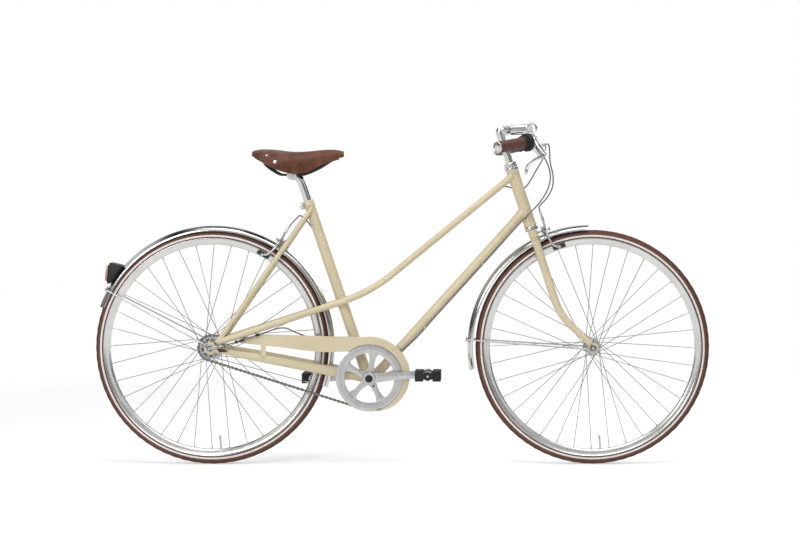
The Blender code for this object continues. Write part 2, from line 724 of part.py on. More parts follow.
def build_chain_stay(name, side):
    """An oval stay, taller towards the crank, brazed to the plate that holds the rear axle."""
    half_tall = CHAIN_STAY_HEIGHT / 2
    half_end = CHAIN_STAY_END / 2
    heights = [half_end, half_end * 1.15, half_tall * 0.78, half_tall * 0.88, half_tall, half_tall]
    widths = [half_end * 0.8] + [CHAIN_STAY_WIDTH / 2] * 5
    stay = sweep(name, chain_stay_points(side), widths, heights, 10)
    cut(stay, shell_cutter(), seat_tube_cutter())
    half = LEFT * side * DROPOUT_THICKNESS / 2
    centre = REAR_AXLE + LEFT * side * DROPOUT_SPREAD
    join(stay, rod("dropout", centre - half, centre + half, DROPOUT_RADIUS, 14))
    if side == LEFT_SIDE:
        join(stay, stay_bridge())
    hole = rod("hole", centre - half * 6, centre + half * 6, AXLE_RADIUS + GAP, 10)
    return finish_piece(cut(stay, hole), "cream_paint")


def stay_cutter(side):
    top, foot = seat_stay_line(side)
    return cutter(foot, top, SEAT_STAY_RADIUS, 12)


def brake_frame_rear():
    """Origin and directions of the rear brake: back along its bolt, and up along the stays."""
    top, foot = seat_stay_line(LEFT_SIDE)
    up = Vector((top.x - foot.x, 0, top.z - foot.z)).normalized()
    back = Vector((-up.z, 0, up.x))
    reach = bridge_height()
    along_stay = (REAR_AXLE - foot).dot(up)
    middle = Vector((foot.x, 0, foot.z)) + up * (reach + along_stay)
    return middle, back, up


def bridge_height():
    """How far the bridge lies up the stays from the axle, so that the pads meet the rim."""
    pad_back = 0.031
    return sqrt(PAD_RADIUS ** 2 - pad_back ** 2) + BRAKE_DROP_REAR


def mudguard_cutter(centre, radius):
    return cutter(centre - LEFT * 0.05, centre + LEFT * 0.05, radius, 60)


def build_brake_bridge():
    """The tube between the seat stays, with the rear brake's bolt and the mudguard's spacer."""
    middle, back, up = brake_frame_rear()
    span = LEFT * 0.038
    bridge = rod("brake_bridge", middle - span, middle + span, BRIDGE_RADIUS, 12)
    cut(bridge, stay_cutter(LEFT_SIDE), stay_cutter(RIGHT_SIDE))
    bolt = rod("bolt", middle - back * 0.010, middle + back * (BRAKE_BOLT_END + 0.002), BRAKE_BOLT_RADIUS, 8)
    nut = rod("nut", middle + back * (BRAKE_BOLT_END - 0.004), middle + back * BRAKE_BOLT_END, 0.0055, 6)
    toward_wheel = (REAR_AXLE - middle).normalized()
    spacer = rod("spacer", middle, middle + toward_wheel * 0.016, 0.0048, 8)
    cut(spacer, mudguard_cutter(REAR_MUDGUARD_CENTRE, REAR_MUDGUARD_RADIUS))
    join(bridge, bolt, nut, spacer)
    return finish_piece(bridge, "cream_paint")


# Headset, fork and stem
def build_headset():
    top = HEAD_TUBE_TOP + GAP
    outer = HEADSET_RADIUS
    inner = bore_radius(STEERER_RADIUS, 12)
    profile = [(inner, top), (outer - 0.002, top), (outer, top + 0.003), (outer, top + HEADSET_STACK),
               (inner, top + HEADSET_STACK)]
    upper = turned("headset_cup_upper", profile, STEER_FOOT, STEER_UP, 16)
    finish_piece(upper, "chrome")
    low = HEAD_TUBE_FOOT - GAP
    race = low - CROWN_RACE_HEIGHT + 2 * GAP
    profile = [(inner, race), (outer, race), (outer, low - 0.003), (outer - 0.002, low), (inner, low)]
    lower = turned("headset_cup_lower", profile, STEER_FOOT, STEER_UP, 16)
    finish_piece(lower, "chrome")
    start = top + HEADSET_STACK + GAP
    profile = [(inner, start), (outer, start), (outer, start + 0.005), (outer - 0.003, start + 0.007),
               (outer - 0.003, start + LOCKNUT_HEIGHT), (inner, start + LOCKNUT_HEIGHT)]
    locknut = turned("headset_locknut", profile, STEER_FOOT, STEER_UP, 12)
    return upper, lower, finish_piece(locknut, "chrome")


def headset_top():
    return HEAD_TUBE_TOP + 2 * GAP + HEADSET_STACK + LOCKNUT_HEIGHT


def crown_top():
    return HEAD_TUBE_FOOT - CROWN_RACE_HEIGHT


def build_fork_crown():
    """The steerer on its crown, with the front brake's bolt and the mudguard's spacer under it."""
    low = CROWN_FOOT
    high = crown_top()
    half_depth = CROWN_DEPTH / 2
    outline = circle(half_depth, 7, (BLADE_SPREAD, 0), -pi / 2, pi)
    outline += circle(half_depth, 7, (-BLADE_SPREAD, 0), pi / 2, pi)
    crown = plate("fork_steerer", outline, low, high, STEER_FOOT, LEFT, STEER_AHEAD, STEER_UP)
    steerer = rod("steerer", steer_point(0, 0, low + 0.006), steer_point(0, 0, headset_top()), STEERER_RADIUS, 16)
    join(crown, steerer)
    bore = rod("bore", steer_point(0, 0, high + 0.012), steer_point(0, 0, headset_top() + 0.02), STEERER_BORE, 16)
    cut(crown, bore)
    middle, ahead, _ = brake_frame_front()
    bolt = rod("bolt", middle - ahead * 0.006, middle + ahead * (BRAKE_BOLT_END + 0.002), BRAKE_BOLT_RADIUS, 8)
    nut = rod("nut", middle + ahead * (BRAKE_BOLT_END - 0.004), middle + ahead * BRAKE_BOLT_END, 0.0055, 6)
    spacer = rod("spacer", steer_point(0, 0, low + 0.004), steer_point(0, 0, low - 0.02), 0.0055, 8)
    cut(spacer, mudguard_cutter(FRONT_MUDGUARD_CENTRE, FRONT_MUDGUARD_RADIUS))
    join(crown, bolt, nut, spacer)
    return finish_piece(crown, "cream_paint")


def build_fork_blade(name, side):
    """A round blade, straight under its crown, then swept forward to the fork end."""
    foot = FRONT_AXLE + LEFT * side * FORK_END_SPREAD
    route = [steer_point(0, side * BLADE_SPREAD, CROWN_FOOT - GAP)]
    route.append(steer_point(0, side * BLADE_SPREAD, CROWN_FOOT - 0.015))
    route.append(steer_point(0, side * (BLADE_SPREAD + 0.003), CROWN_FOOT - 0.10))
    route.append(steer_point(0, side * (BLADE_SPREAD + 0.0085), BLADE_STRAIGHT_END))
    bend = [(0.20, 0.10), (0.45, 0.068), (0.72, 0.040), (0.90, 0.0205)]
    for share, up in bend:
        route.append(steer_point(FORK_RAKE * share, side * (FORK_END_SPREAD - 0.006 * (1 - share)), up))
    route.append(foot.lerp(route[-1], 0.65))
    straight = 4
    bent = len(route) - straight
    radii = [BLADE_RADIUS] * straight
    radii += [BLADE_RADIUS + (BLADE_TIP_RADIUS - BLADE_RADIUS) * (step + 1) / bent for step in range(bent)]
    blade = sweep(name, route, [radius * 0.92 for radius in radii], radii, 10)
    half = LEFT * FORK_END_THICKNESS / 2
    join(blade, rod("fork_end", foot - half, foot + half, FORK_END_RADIUS, 16))
    hole = rod("hole", foot - half * 8, foot + half * 8, AXLE_RADIUS + GAP, 10)
    return finish_piece(cut(blade, hole), "cream_paint")


def stem_elbow():
    """The top of the stem's upright part, on the steering axis."""
    return steer_point(0, 0, headset_top() + STEM_RISE - 0.018)


def bar_centre():
    """The middle of the handlebar, held ahead of the steering axis by the stem."""
    return stem_elbow() + FORWARD * STEM_REACH + UP * 0.005


def build_stem():
    """A quill in the steerer, the round knuckle ahead of its top and the arm forward to the bar's clamp."""
    middle = bar_centre()
    elbow = stem_elbow()
    quill = rod("stem", steer_point(0, 0, HEAD_TUBE_FOOT + 0.05), elbow - STEER_UP * 0.006, STEM_QUILL_RADIUS, 12)
    pivot = elbow + FORWARD * 0.0225
    knuckle = rod("knuckle", pivot - LEFT * 0.013, pivot + LEFT * 0.013, STEM_KNUCKLE_RADIUS, 14)
    arm = sweep("arm", [pivot, pivot.lerp(middle, 0.5) + UP * 0.0012, middle], (0.0125, 0.0120), (0.0140, 0.0134), 10)
    clamp = pipe("clamp", middle, LEFT, -STEM_CLAMP_WIDTH / 2, STEM_CLAMP_WIDTH / 2, STEM_CLAMP_RADIUS, 0.004, 14)
    join(quill, knuckle, arm, clamp)
    bore = rod("bore", middle - LEFT * 0.03, middle + LEFT * 0.03, bore_radius(BAR_RADIUS, 12), 12)
    return finish_piece(cut(quill, bore), "chrome")


# Handlebar and its controls
def bar_route(side):
    """Half of the handlebar: level in the stem, down and out, then swept back along the grip."""
    middle = bar_centre()
    offsets = [(0, 0, 0), (0, 0.022, 0), (-0.0005, 0.045, -0.003), (-0.0010, 0.085, -0.0165),
               (-0.0012, 0.115, -0.0290), (-0.0038, 0.138, -0.0380)]
    curve = smooth_path([middle + Vector((x, side * y, z)) for x, y, z in offsets], 2)
    return curve + [grip_start(side), grip_end(side)]


def grip_start(side):
    """Where the bar's straight end begins, just inboard of the controls."""
    return grip_end(side) - grip_axis(side) * (GRIP_LENGTH + SHIFTER_LENGTH + 0.003)


def grip_end(side):
    return bar_centre() + Vector((-0.0986, side * 0.250, -0.0606))


def grip_axis(side):
    return Vector((-0.6826, side * 0.7183, -0.1307)).normalized()


def build_handlebar():
    left = bar_route(LEFT_SIDE)
    right = bar_route(RIGHT_SIDE)
    route = list(reversed(right)) + left[1:]
    route[0] += grip_axis(RIGHT_SIDE) * -0.003
    route[-1] += grip_axis(LEFT_SIDE) * -0.003
    bar = sweep("handlebar", route, BAR_RADIUS, BAR_RADIUS, 8, side_hint=FORWARD + UP * 2)
    return finish_piece(bar, "chrome")


def build_grip(name, side):
    """A rubber sleeve with a closed, rounded end."""
    axis = grip_axis(side)
    inner = bore_radius(BAR_RADIUS, 12)
    outer = GRIP_RADIUS
    length = GRIP_LENGTH
    profile = [(inner, -length), (outer + 0.0015, -length), (outer + 0.0015, -length + 0.004),
               (outer, -length + 0.006), (outer, -0.004), (outer - 0.003, 0.003), (0.0001, 0.003),
               (0.0001, -0.0025), (inner, -0.0025)]
    grip = turned(name, profile, grip_end(side), axis, 12)
    return finish_piece(grip, "brown_rubber")


def build_twist_shifter():
    """The ribbed gear ring that turns on the bar just inside the right grip."""
    axis = grip_axis(RIGHT_SIDE)
    end = -GRIP_LENGTH - GAP
    start = end - SHIFTER_LENGTH
    inner = bore_radius(BAR_RADIUS, 14)
    profile = [(inner, start), (0.0230, start), (SHIFTER_RADIUS, start + 0.004), (SHIFTER_RADIUS, start + 0.014),
               (0.0215, start + 0.018), (0.0205, end - 0.002), (0.0190, end), (inner, end)]
    ring = turned("twist_shifter", profile, grip_end(RIGHT_SIDE), axis, 14)
    return finish_piece(ring, "black_plastic")


def lever_frame(side):
    """Pivot, hinge axis and the two directions of a brake lever: along its blade and towards the bar."""
    clamp, tangent = lever_clamp(side)
    pivot = bar_centre() + Vector((0.0330, side * 0.1400, -0.0800))
    tip = bar_centre() + Vector((-0.0236, side * 0.2200, -0.1256))
    blade = (tip - pivot).normalized()
    grip_middle = grip_end(side) - grip_axis(side) * GRIP_LENGTH * 0.4
    toward = grip_middle - pivot.lerp(tip, 0.6)
    axis = blade.cross(toward).normalized()
    return pivot, axis, blade, axis.cross(blade).normalized(), clamp, tangent


def lever_clamp(side):
    """The place on the bar that the lever's bracket is clamped to, and the bar's direction there."""
    route = bar_route(side)
    index = 8
    tangent = (route[index + 1] - route[index - 1]).normalized()
    return route[index].copy(), tangent


def build_lever_bracket(name, side):
    """A band clamped round the bar and the fork-shaped arm that carries the lever's pin."""
    pivot, axis, blade, toward, clamp, tangent = lever_frame(side)
    half = LEVER_CLAMP_WIDTH / 2
    band = pipe(name, clamp, tangent, -half, half, BAR_RADIUS + 0.0042, 0.003, 12)
    reach = (clamp - pivot).normalized()
    start = clamp - reach * 0.011
    side_hint = axis
    arm = sweep("arm", [start, start.lerp(pivot, 0.5), pivot - reach * 0.004], (0.0085, 0.0095, 0.0095),
                (0.0100, 0.0105, 0.0085), 8, side_hint)
    join(band, arm)
    across = (reach - axis * reach.dot(axis)).normalized()
    slot = box("slot", pivot - across * 0.006, (0.036, 0.0086, 0.032), across, axis, axis.cross(across))
    bore_size = bore_radius(BAR_RADIUS + 2 * GAP, 12)
    bore = sweep("bore", bar_route(side)[5:12], bore_size, bore_size, 12, FORWARD + UP * 2)
    cut(band, slot, bore)
    pin = rod("pin", pivot - axis * 0.0090, pivot + axis * 0.0090, 0.0025, 6)
    exit_start = start.lerp(pivot, 0.35)
    exit_tube = rod("exit", exit_start, exit_start + cable_exit(side) * 0.018, 0.0042, 6)
    join(band, pin, exit_tube)
    return finish_piece(band, "chrome")


def cable_exit(side):
    """The way a brake cable leaves its lever: forward, inward and a little down."""
    return Vector((0.80, -side * 0.55, 0.10)).normalized()


def build_brake_lever(name, side):
    """A flat curved blade that tapers to a rounded tip, with an eye for its pin."""
    pivot, axis, blade, toward, _, _ = lever_frame(side)
    length = LEVER_LENGTH
    route = [pivot - blade * 0.002, pivot + blade * 0.020, pivot + blade * length * 0.40 - toward * 0.006,
             pivot + blade * length * 0.65 - toward * 0.006, pivot + blade * length * 0.88 - toward * 0.001,
             pivot + blade * length + toward * -0.008]
    lever = sweep(name, route, [0.0038, 0.0042, 0.0058, 0.0058, 0.0048, 0.0030],
                  [0.0055, 0.0050, 0.0032, 0.0030, 0.0030, 0.0024], 6, axis)
    eye = rod("eye", pivot - axis * 0.0038, pivot + axis * 0.0038, 0.0070, 10)
    join(lever, eye)
    hole = rod("hole", pivot - axis * 0.01, pivot + axis * 0.01, 0.0025 + 3 * GAP, 6)
    return finish_piece(cut(lever, hole), "chrome")


# Brakes
def brake_frame_front():
    """Origin and directions of the front brake: ahead along its bolt, and up along the steering axis."""
    return steer_point(0.018, 0, PAD_RADIUS + BRAKE_DROP_FRONT), STEER_AHEAD, STEER_UP


def brake_arm(name, frame, pad_side, level, drop, pad_out, pad_tilt):
    """One arm of a side-pull brake: an eye on the bolt, a shoulder round the mudguard, and its pad."""
    middle, out, up = frame
    side = pad_side

    def place(y, s, along=level):
        return middle + LEFT * y + up * s + out * along

    half = BRAKE_ARM_THICKNESS / 2
    pad_face = RIM_WIDTH / 2 + PAD_CLEARANCE
    pad_thickness = 0.0085
    low = [place(side * 0.004, 0.001), place(side * 0.020, 0.000), place(side * 0.0315, -0.010),
           place(side * 0.0335, -0.024), place(side * 0.0325, -drop + 0.010, (level * 2 + pad_out) / 3),
           place(side * 0.0300, -drop + 0.002, pad_out - 0.002)]
    arm = sweep(name, low, half * 0.97, half * 1.1, 6, out)
    eye = rod("eye", place(0, 0, level - half), place(0, 0, level + half), 0.0085, 8)
    join(arm, eye)
    tangent = (out + up * pad_tilt).normalized()
    across = LEFT.cross(tangent).normalized()
    block_centre = place(side * (pad_face + pad_thickness / 2), -drop, pad_out)
    block = box("pad", block_centre, (PAD_LENGTH, pad_thickness, PAD_HEIGHT), tangent, LEFT, across)
    post = rod("post", block_centre, place(side * 0.0365, -drop + 0.0005, pad_out), 0.0032, 6)
    join(arm, block, post)
    return arm, place, half


def build_brake_pair(prefix, frame, drop, pad_out, pad_tilt):
    """The two arms of one brake. The right one holds the cable's adjuster, the left one its anchor."""
    inner_level = 0.0150
    outer_level = inner_level + BRAKE_ARM_THICKNESS + GAP
    left, place, half = brake_arm(prefix + "_brake_arm_left", frame, LEFT_SIDE, inner_level, drop, pad_out, pad_tilt)
    lever = sweep("lever", [place(0.002, 0.001), place(-0.014, 0.008), place(-0.031, 0.010)], half * 0.97, half, 6,
                  frame[1])
    anchor = rod("anchor", place(-0.0275, 0.010, inner_level - half - 0.003),
                 place(-0.0275, 0.010, inner_level + half + 0.004), 0.0042, 6)
    join(left, lever, anchor)
    hole = rod("hole", place(0, 0, 0), place(0, 0, 0.05), BRAKE_BOLT_RADIUS + 3 * GAP, 6)
    finish_piece(cut(left, hole), "aluminium")
    right, place, half = brake_arm(prefix + "_brake_arm_right", frame, RIGHT_SIDE, outer_level, drop, pad_out,
                                   pad_tilt)
    lever = sweep("lever", [place(-0.001, 0.0018), place(-0.012, 0.018), place(-0.024, 0.029),
                            place(-0.036, 0.031)], half * 0.97, half, 6, frame[1])
    barrel = rod("barrel", place(-0.0345, 0.026), place(-0.0345, 0.046), 0.0042, 6)
    wire = rod("wire", place(-0.0349, 0.0285), place(-0.0349, -0.002), 0.0013, 5)
    join(right, lever, barrel, wire)
    hole = rod("hole", place(0, 0, 0), place(0, 0, 0.05), BRAKE_BOLT_RADIUS + 3 * GAP, 6)
    finish_piece(cut(right, hole), "aluminium")
    return left, right


def barrel_top(frame):
    middle, out, up = frame
    level = 0.0150 + BRAKE_ARM_THICKNESS + GAP
    return middle - LEFT * 0.0345 + up * (0.046 + 2 * GAP) + out * level


# Mudguards and light
def mudguard_section(radius):
    """The curved sheet's section: an arc of its outer face and the same arc a wall's thickness in."""
    half = MUDGUARD_WIDTH / 2
    arc = []
    for step in range(5):
        share = step / 2 - 1
        arc.append((radius - MUDGUARD_DEPTH * (1 - cos(share * pi / 2)), half * sin(share * pi / 2)))
    inner = []
    for reach, along in reversed(arc):
        share = along / half
        inner.append((reach - MUDGUARD_THICKNESS * (1 - 0.3 * abs(share)), along - MUDGUARD_THICKNESS * share))
    return arc + inner


def build_mudguard(name, centre, radius, start, end, steps):
    rings = []
    for step in range(steps + 1):
        turn = start + (end - start) * step / steps
        outward = Vector((cos(turn), 0, sin(turn)))
        rings.append([centre + outward * reach + LEFT * along for reach, along in mudguard_section(radius)])
    return finish_piece(new_object(name, skin(rings)), "chrome")


def build_mudguard_stay(name, centre, radius, turn, foot, spread):
    """One wire from beside each end of the axle, meeting across the outside of the mudguard."""
    out = Vector((cos(turn), 0, sin(turn)))
    back = centre + out * (radius + MUDGUARD_STAY_RADIUS + 2 * GAP)
    half = MUDGUARD_WIDTH / 2 + MUDGUARD_STAY_RADIUS + 0.0012
    leg = out * 0.020
    points = [foot + LEFT * spread, back - leg + LEFT * (half + 0.003), back - out * 0.006 + LEFT * half,
              back + LEFT * (half - 0.008), back - LEFT * (half - 0.008), back - out * 0.006 - LEFT * half,
              back - leg - LEFT * (half + 0.003), foot - LEFT * spread]
    stay = sweep(name, points, MUDGUARD_STAY_RADIUS, MUDGUARD_STAY_RADIUS, 6, side_hint=out + UP * 0.01)
    return stay


def build_stays():
    rear_foot = REAR_AXLE + Vector((-0.0130, 0, 0.0100))
    rear_spread = DROPOUT_SPREAD + DROPOUT_THICKNESS / 2 + MUDGUARD_STAY_RADIUS + GAP
    rear = build_mudguard_stay("rear_mudguard_stay", REAR_MUDGUARD_CENTRE, REAR_MUDGUARD_RADIUS, radians(152),
                               rear_foot, rear_spread)
    front_foot = FRONT_AXLE + Vector((-0.0118, 0, -0.0035))
    front_spread = FORK_END_SPREAD + FORK_END_THICKNESS / 2 + MUDGUARD_STAY_RADIUS + GAP
    front = build_mudguard_stay("front_mudguard_stay", FRONT_MUDGUARD_CENTRE, FRONT_MUDGUARD_RADIUS, radians(176.2),
                                front_foot, front_spread)
    return finish_piece(rear, "steel"), finish_piece(front, "steel")


def build_rear_light():
    """A wedge-shaped lamp whose curved base sits on the mudguard and whose lens faces straight back."""
    corners = [(141.2, -0.0314), (149.4, 0.0055), (140.9, 0.0363), (138.4, 0.0033)]
    outline = []
    for turn, out in corners:
        place = ring_offset(REAR_MUDGUARD_RADIUS + out, radians(turn))
        outline.append((place.x, place.z))
    body = plate("rear_light", outline, -LIGHT_WIDTH / 2, LIGHT_WIDTH / 2, REAR_MUDGUARD_CENTRE)
    cut(body, mudguard_cutter(REAR_MUDGUARD_CENTRE, REAR_MUDGUARD_RADIUS))
    finish_piece(body, "black_plastic")
    low = REAR_MUDGUARD_CENTRE + Vector((outline[1][0], 0, outline[1][1]))
    high = REAR_MUDGUARD_CENTRE + Vector((outline[2][0], 0, outline[2][1]))
    along = (high - low).normalized()
    out = Vector((-along.z, 0, along.x))
    lens_centre = (low + high) / 2 + out * (0.003 + GAP)
    lens = box("rear_light_lens", lens_centre, (0.006, LIGHT_WIDTH - 0.008, 0.046), out, LEFT, along)
    return body, finish_piece(lens, "red_lens")


# Saddle and seat post
def post_head():
    """The middle of the seat post's head, behind the line of the post."""
    return seat_point(-0.0195, 0, POST_TOP + 0.0065)


def build_seat_post():
    head = post_head()
    route = [seat_point(0, 0, SEAT_TUBE_TOP - POST_DEPTH), seat_point(0, 0, POST_TOP - 0.030),
             seat_point(-0.0030, 0, POST_TOP - 0.012), seat_point(-0.0110, 0, POST_TOP + 0.002), head]
    radii = [POST_RADIUS, POST_RADIUS, POST_RADIUS * 0.96, POST_RADIUS * 0.92, POST_RADIUS * 0.80]
    post = sweep("seat_post", route, radii, radii, 12)
    barrel = rod("barrel", head - LEFT * 0.013, head + LEFT * 0.013, 0.0128, 12)
    join(post, barrel)
    hole = rod("hole", head - LEFT * 0.02, head + LEFT * 0.02, 0.0035, 8)
    return finish_piece(cut(post, hole), "chrome")


def saddle_station(share):
    """Half width, and the crown's and skirt's height over the post's head, at a share of the length from the tail."""
    width = SADDLE_WIDTH / 2
    nose = SADDLE_NOSE_WIDTH / 2
    widths = [0.55, 0.90, 1.0, 0.98, 0.80, 0.56]
    crown = [0.0737, 0.0758, 0.0750, 0.0715, 0.0683, 0.0681, 0.0707, 0.0737, 0.0750, 0.0715]
    skirt = [0.0635, 0.0455, 0.0305, 0.0155, 0.0055, 0.0065, 0.0175, 0.0325, 0.0435, 0.0555]
    wide = [width * part for part in widths] + [nose * 1.55, nose * 1.15, nose * 1.0, nose * 0.62]
    return sample(wide, share), sample(crown, share), sample(skirt, share)


def sample(values, share):
    place = share * (len(values) - 1)
    index = min(int(place), len(values) - 2)
    part = place - index
    return values[index] * (1 - part) + values[index + 1] * part


def saddle_tail():
    return post_head() + Vector((-0.1125, 0, 0))


def saddle_rings(inset, drop):
    """Cross-sections of the saddle's outer form from tail to nose, drawn in by the inset, let down by the drop."""
    tail = saddle_tail()
    lift = post_head().z
    stations = 12
    rings = []
    for step in range(stations):
        share = step / (stations - 1)
        half, crown, skirt = saddle_station(share)
        x = tail.x + SADDLE_LENGTH * share
        rings.append(saddle_arch(x, half - inset, crown + lift - inset, skirt + lift - drop, 5))
    return rings


def build_saddle():
    """A moulded leather top: wide and level behind, narrow in front, with drooping skirts."""
    outer = saddle_rings(0, 0)
    inner = saddle_rings(LEATHER_THICKNESS, 0)
    rings = [first + second[::-1] for first, second in zip(outer, inner)]
    bm = skin(rings)
    bmesh.ops.triangulate(bm, faces=bm.faces[:], quad_method="FIXED")
    return finish_piece(new_object("saddle", bm), "brown_leather", 50)


def under_leather(inset):
    """The solid that fits under the leather, with the same creases, for shaping the plates riveted to it."""
    bm = skin(saddle_rings(LEATHER_THICKNESS + 2 * GAP + inset, inset))
    bmesh.ops.triangulate(bm, faces=bm.faces[:], quad_method="ALTERNATE")
    return new_object("under", bm)


def saddle_arch(x, half, crown, skirt, around):
    arch = []
    for step in range(around * 2 + 1):
        share = step / around - 1
        turn = share * pi / 2
        rise = cos(turn) ** 0.5 if abs(share) < 1 else 0
        arch.append(Vector((x, half * sin(turn), skirt + (crown - skirt) * rise)))
    return arch


def build_saddle_frame():
    """Two steel rails from the nose to the tail bracket, held by the clamp on the seat post's head."""
    head = post_head()
    tail = saddle_tail()
    rail_y = 0.0185
    frame = None
    for side in (LEFT_SIDE, RIGHT_SIDE):
        route = [Vector((tail.x + 0.030, side * 0.050, head.z + 0.0495)), Vector((tail.x + 0.040, side * 0.044,
                 head.z + 0.0275)), Vector((head.x - 0.040, side * 0.026, head.z + 0.004)),
                 Vector((head.x - 0.018, side * rail_y, head.z)), Vector((head.x + 0.030, side * rail_y, head.z)),
                 Vector((head.x + 0.080, side * 0.014, head.z + 0.020)),
                 Vector((tail.x + SADDLE_LENGTH - 0.030, side * 0.006, head.z + 0.0460))]
        rail = sweep("rail", route, RAIL_RADIUS, RAIL_RADIUS, 6)
        cheek = rod("cheek", head + LEFT * side * (0.013 + GAP), head + LEFT * side * 0.0235, 0.0150, 10)
        join(rail, cheek)
        if frame is None:
            frame = rail
            frame.name = "saddle_frame"
        else:
            join(frame, rail)
    pin = rod("pin", head - LEFT * 0.027, head + LEFT * 0.027, 0.0030, 6)
    cantle = box("cantle", Vector((tail.x + 0.022, 0, head.z + 0.0525)), (0.018, SADDLE_WIDTH, 0.080))
    combine(cantle, under_leather(0), "INTERSECT")
    cut(cantle, under_leather(CANTLE_THICKNESS))
    bar_x = tail.x + 0.030
    bar_z = head.z + 0.0520
    bar = sweep("bar", [Vector((bar_x, -0.095, bar_z)), Vector((bar_x, 0.095, bar_z))], 0.0040, 0.0055, 6, FORWARD)
    combine(bar, under_leather(0.0005), "INTERSECT")
    nose_x = tail.x + SADDLE_LENGTH - 0.024
    nose = box("nose", Vector((nose_x, 0, head.z + 0.0595)), (0.020, 0.022, 0.034))
    combine(nose, under_leather(0), "INTERSECT")
    join(frame, pin, cantle, bar, nose)
    return finish_piece(frame, "black_steel")


# Drive
def pitch_radius(teeth):
    return CHAIN_PITCH / 2 / sin(pi / teeth)


def toothed_outline(teeth, phase):
    """A toothed wheel's outline: a round seat for each roller and a flat-topped tooth between two."""
    radius = pitch_radius(teeth)
    seat_depth = SIDE_PLATE_RADIUS + GAP
    seat_half = ROLLER_RADIUS * 0.66
    tip_half = 0.0010
    outline = []
    for tooth in range(teeth):
        seat_turn = phase + 2 * pi * tooth / teeth
        tip_turn = seat_turn + pi / teeth
        for turn, reach, half in ((seat_turn, radius - seat_depth, seat_half), (tip_turn, radius + TOOTH_RISE, tip_half)):
            for along in (-half, half):
                outline.append((reach * cos(turn) - along * sin(turn), reach * sin(turn) + along * cos(turn)))
    return outline


def chain_layout():
    """How the chain lies round the two toothed wheels: contact angles, run length and links in each part."""
    front = pitch_radius(CHAINRING_TEETH)
    back = pitch_radius(SPROCKET_TEETH)
    span = CRANK_CENTRE - REAR_AXLE
    line_angle = atan2(span.z, span.x)
    lean = acos((front - back) / span.length)
    run = sqrt(span.length ** 2 - (front - back) ** 2)
    back_links = SPROCKET_TEETH * lean / pi
    front_links = CHAINRING_TEETH * (1 - lean / pi)
    count = 2 * round((front_links + back_links) / 2 + run / CHAIN_PITCH)
    run_links = (count - front_links - back_links) / 2
    return line_angle + pi - lean, line_angle + pi + lean, back_links, run_links, count


def chain_point(links):
    """A place on the chain's line, counted in links from where its upper run leaves the chainring."""
    top, bottom, back_links, run_links, _ = chain_layout()
    front = pitch_radius(CHAINRING_TEETH)
    back = pitch_radius(SPROCKET_TEETH)
    if links < run_links:
        return (CRANK_CENTRE + ring_offset(front, top)).lerp(REAR_AXLE + ring_offset(back, top), links / run_links)
    links -= run_links
    if links < back_links:
        return REAR_AXLE + ring_offset(back, top + 2 * pi * links / SPROCKET_TEETH)
    links -= back_links
    if links < run_links:
        return (REAR_AXLE + ring_offset(back, bottom)).lerp(CRANK_CENTRE + ring_offset(front, bottom),
                                                           links / run_links)
    links -= run_links
    return CRANK_CENTRE + ring_offset(front, bottom + 2 * pi * links / CHAINRING_TEETH)


def ring_offset(radius, turn):
    return Vector((radius * cos(turn), 0, radius * sin(turn)))


def roller_centres():
    """The rollers, one link apart, all round the loop."""
    count = chain_layout()[-1]
    return [chain_point(index) for index in range(count)]


def wheel_phase(centre, teeth):
    """The turn of a toothed wheel that lays its seats under the rollers it carries."""
    radius = pitch_radius(teeth)
    total_x = 0.0
    total_y = 0.0
    for roller in roller_centres():
        offset = roller - centre
        if abs(sqrt(offset.x ** 2 + offset.z ** 2) - radius) < 0.0002:
            turn = atan2(offset.z, offset.x) * teeth
            total_x += cos(turn)
            total_y += sin(turn)
    return atan2(total_y, total_x) / teeth


def build_chain():
    """A roller chain on a closed run: pairs of side plates with a roller bushing at each pin."""
    centres = roller_centres()
    half = CHAIN_WIDTH / 2
    inner = half - SIDE_PLATE_THICKNESS
    plane = -LEFT * CHAIN_LINE
    bm = bmesh.new()
    stations = []
    for index, here in enumerate(centres):
        after = centres[(index + 1) % len(centres)]
        along = (after - centres[index - 1]).normalized()
        normal = along.cross(LEFT)
        station = {}
        for side in (LEFT_SIDE, RIGHT_SIDE):
            level = plane + LEFT * side * inner
            ridge = bm.verts.new(here + plane + LEFT * side * half)
            corners = [normal * SIDE_PLATE_RADIUS, along * ROLLER_RADIUS, -normal * SIDE_PLATE_RADIUS,
                       -along * ROLLER_RADIUS]
            station[side] = [bm.verts.new(here + level + corner) for corner in corners] + [ridge]
        for corner in range(4):
            after_corner = (corner + 1) % 4
            bm.faces.new((station[LEFT_SIDE][corner], station[LEFT_SIDE][after_corner],
                          station[RIGHT_SIDE][after_corner], station[RIGHT_SIDE][corner]))
        stations.append(station)
    for first, second in zip(stations, stations[1:] + stations[:1]):
        for side in (LEFT_SIDE, RIGHT_SIDE):
            top, front, bottom, _, ridge = first[side]
            next_top, _, next_bottom, next_back, next_ridge = second[side]
            bm.faces.new((top, front, bottom, next_bottom, next_back, next_top))
            bm.faces.new((top, ridge, next_ridge, next_top))
            bm.faces.new((bottom, next_bottom, next_ridge, ridge))
    return finish_piece(new_object("chain", bm), "steel")


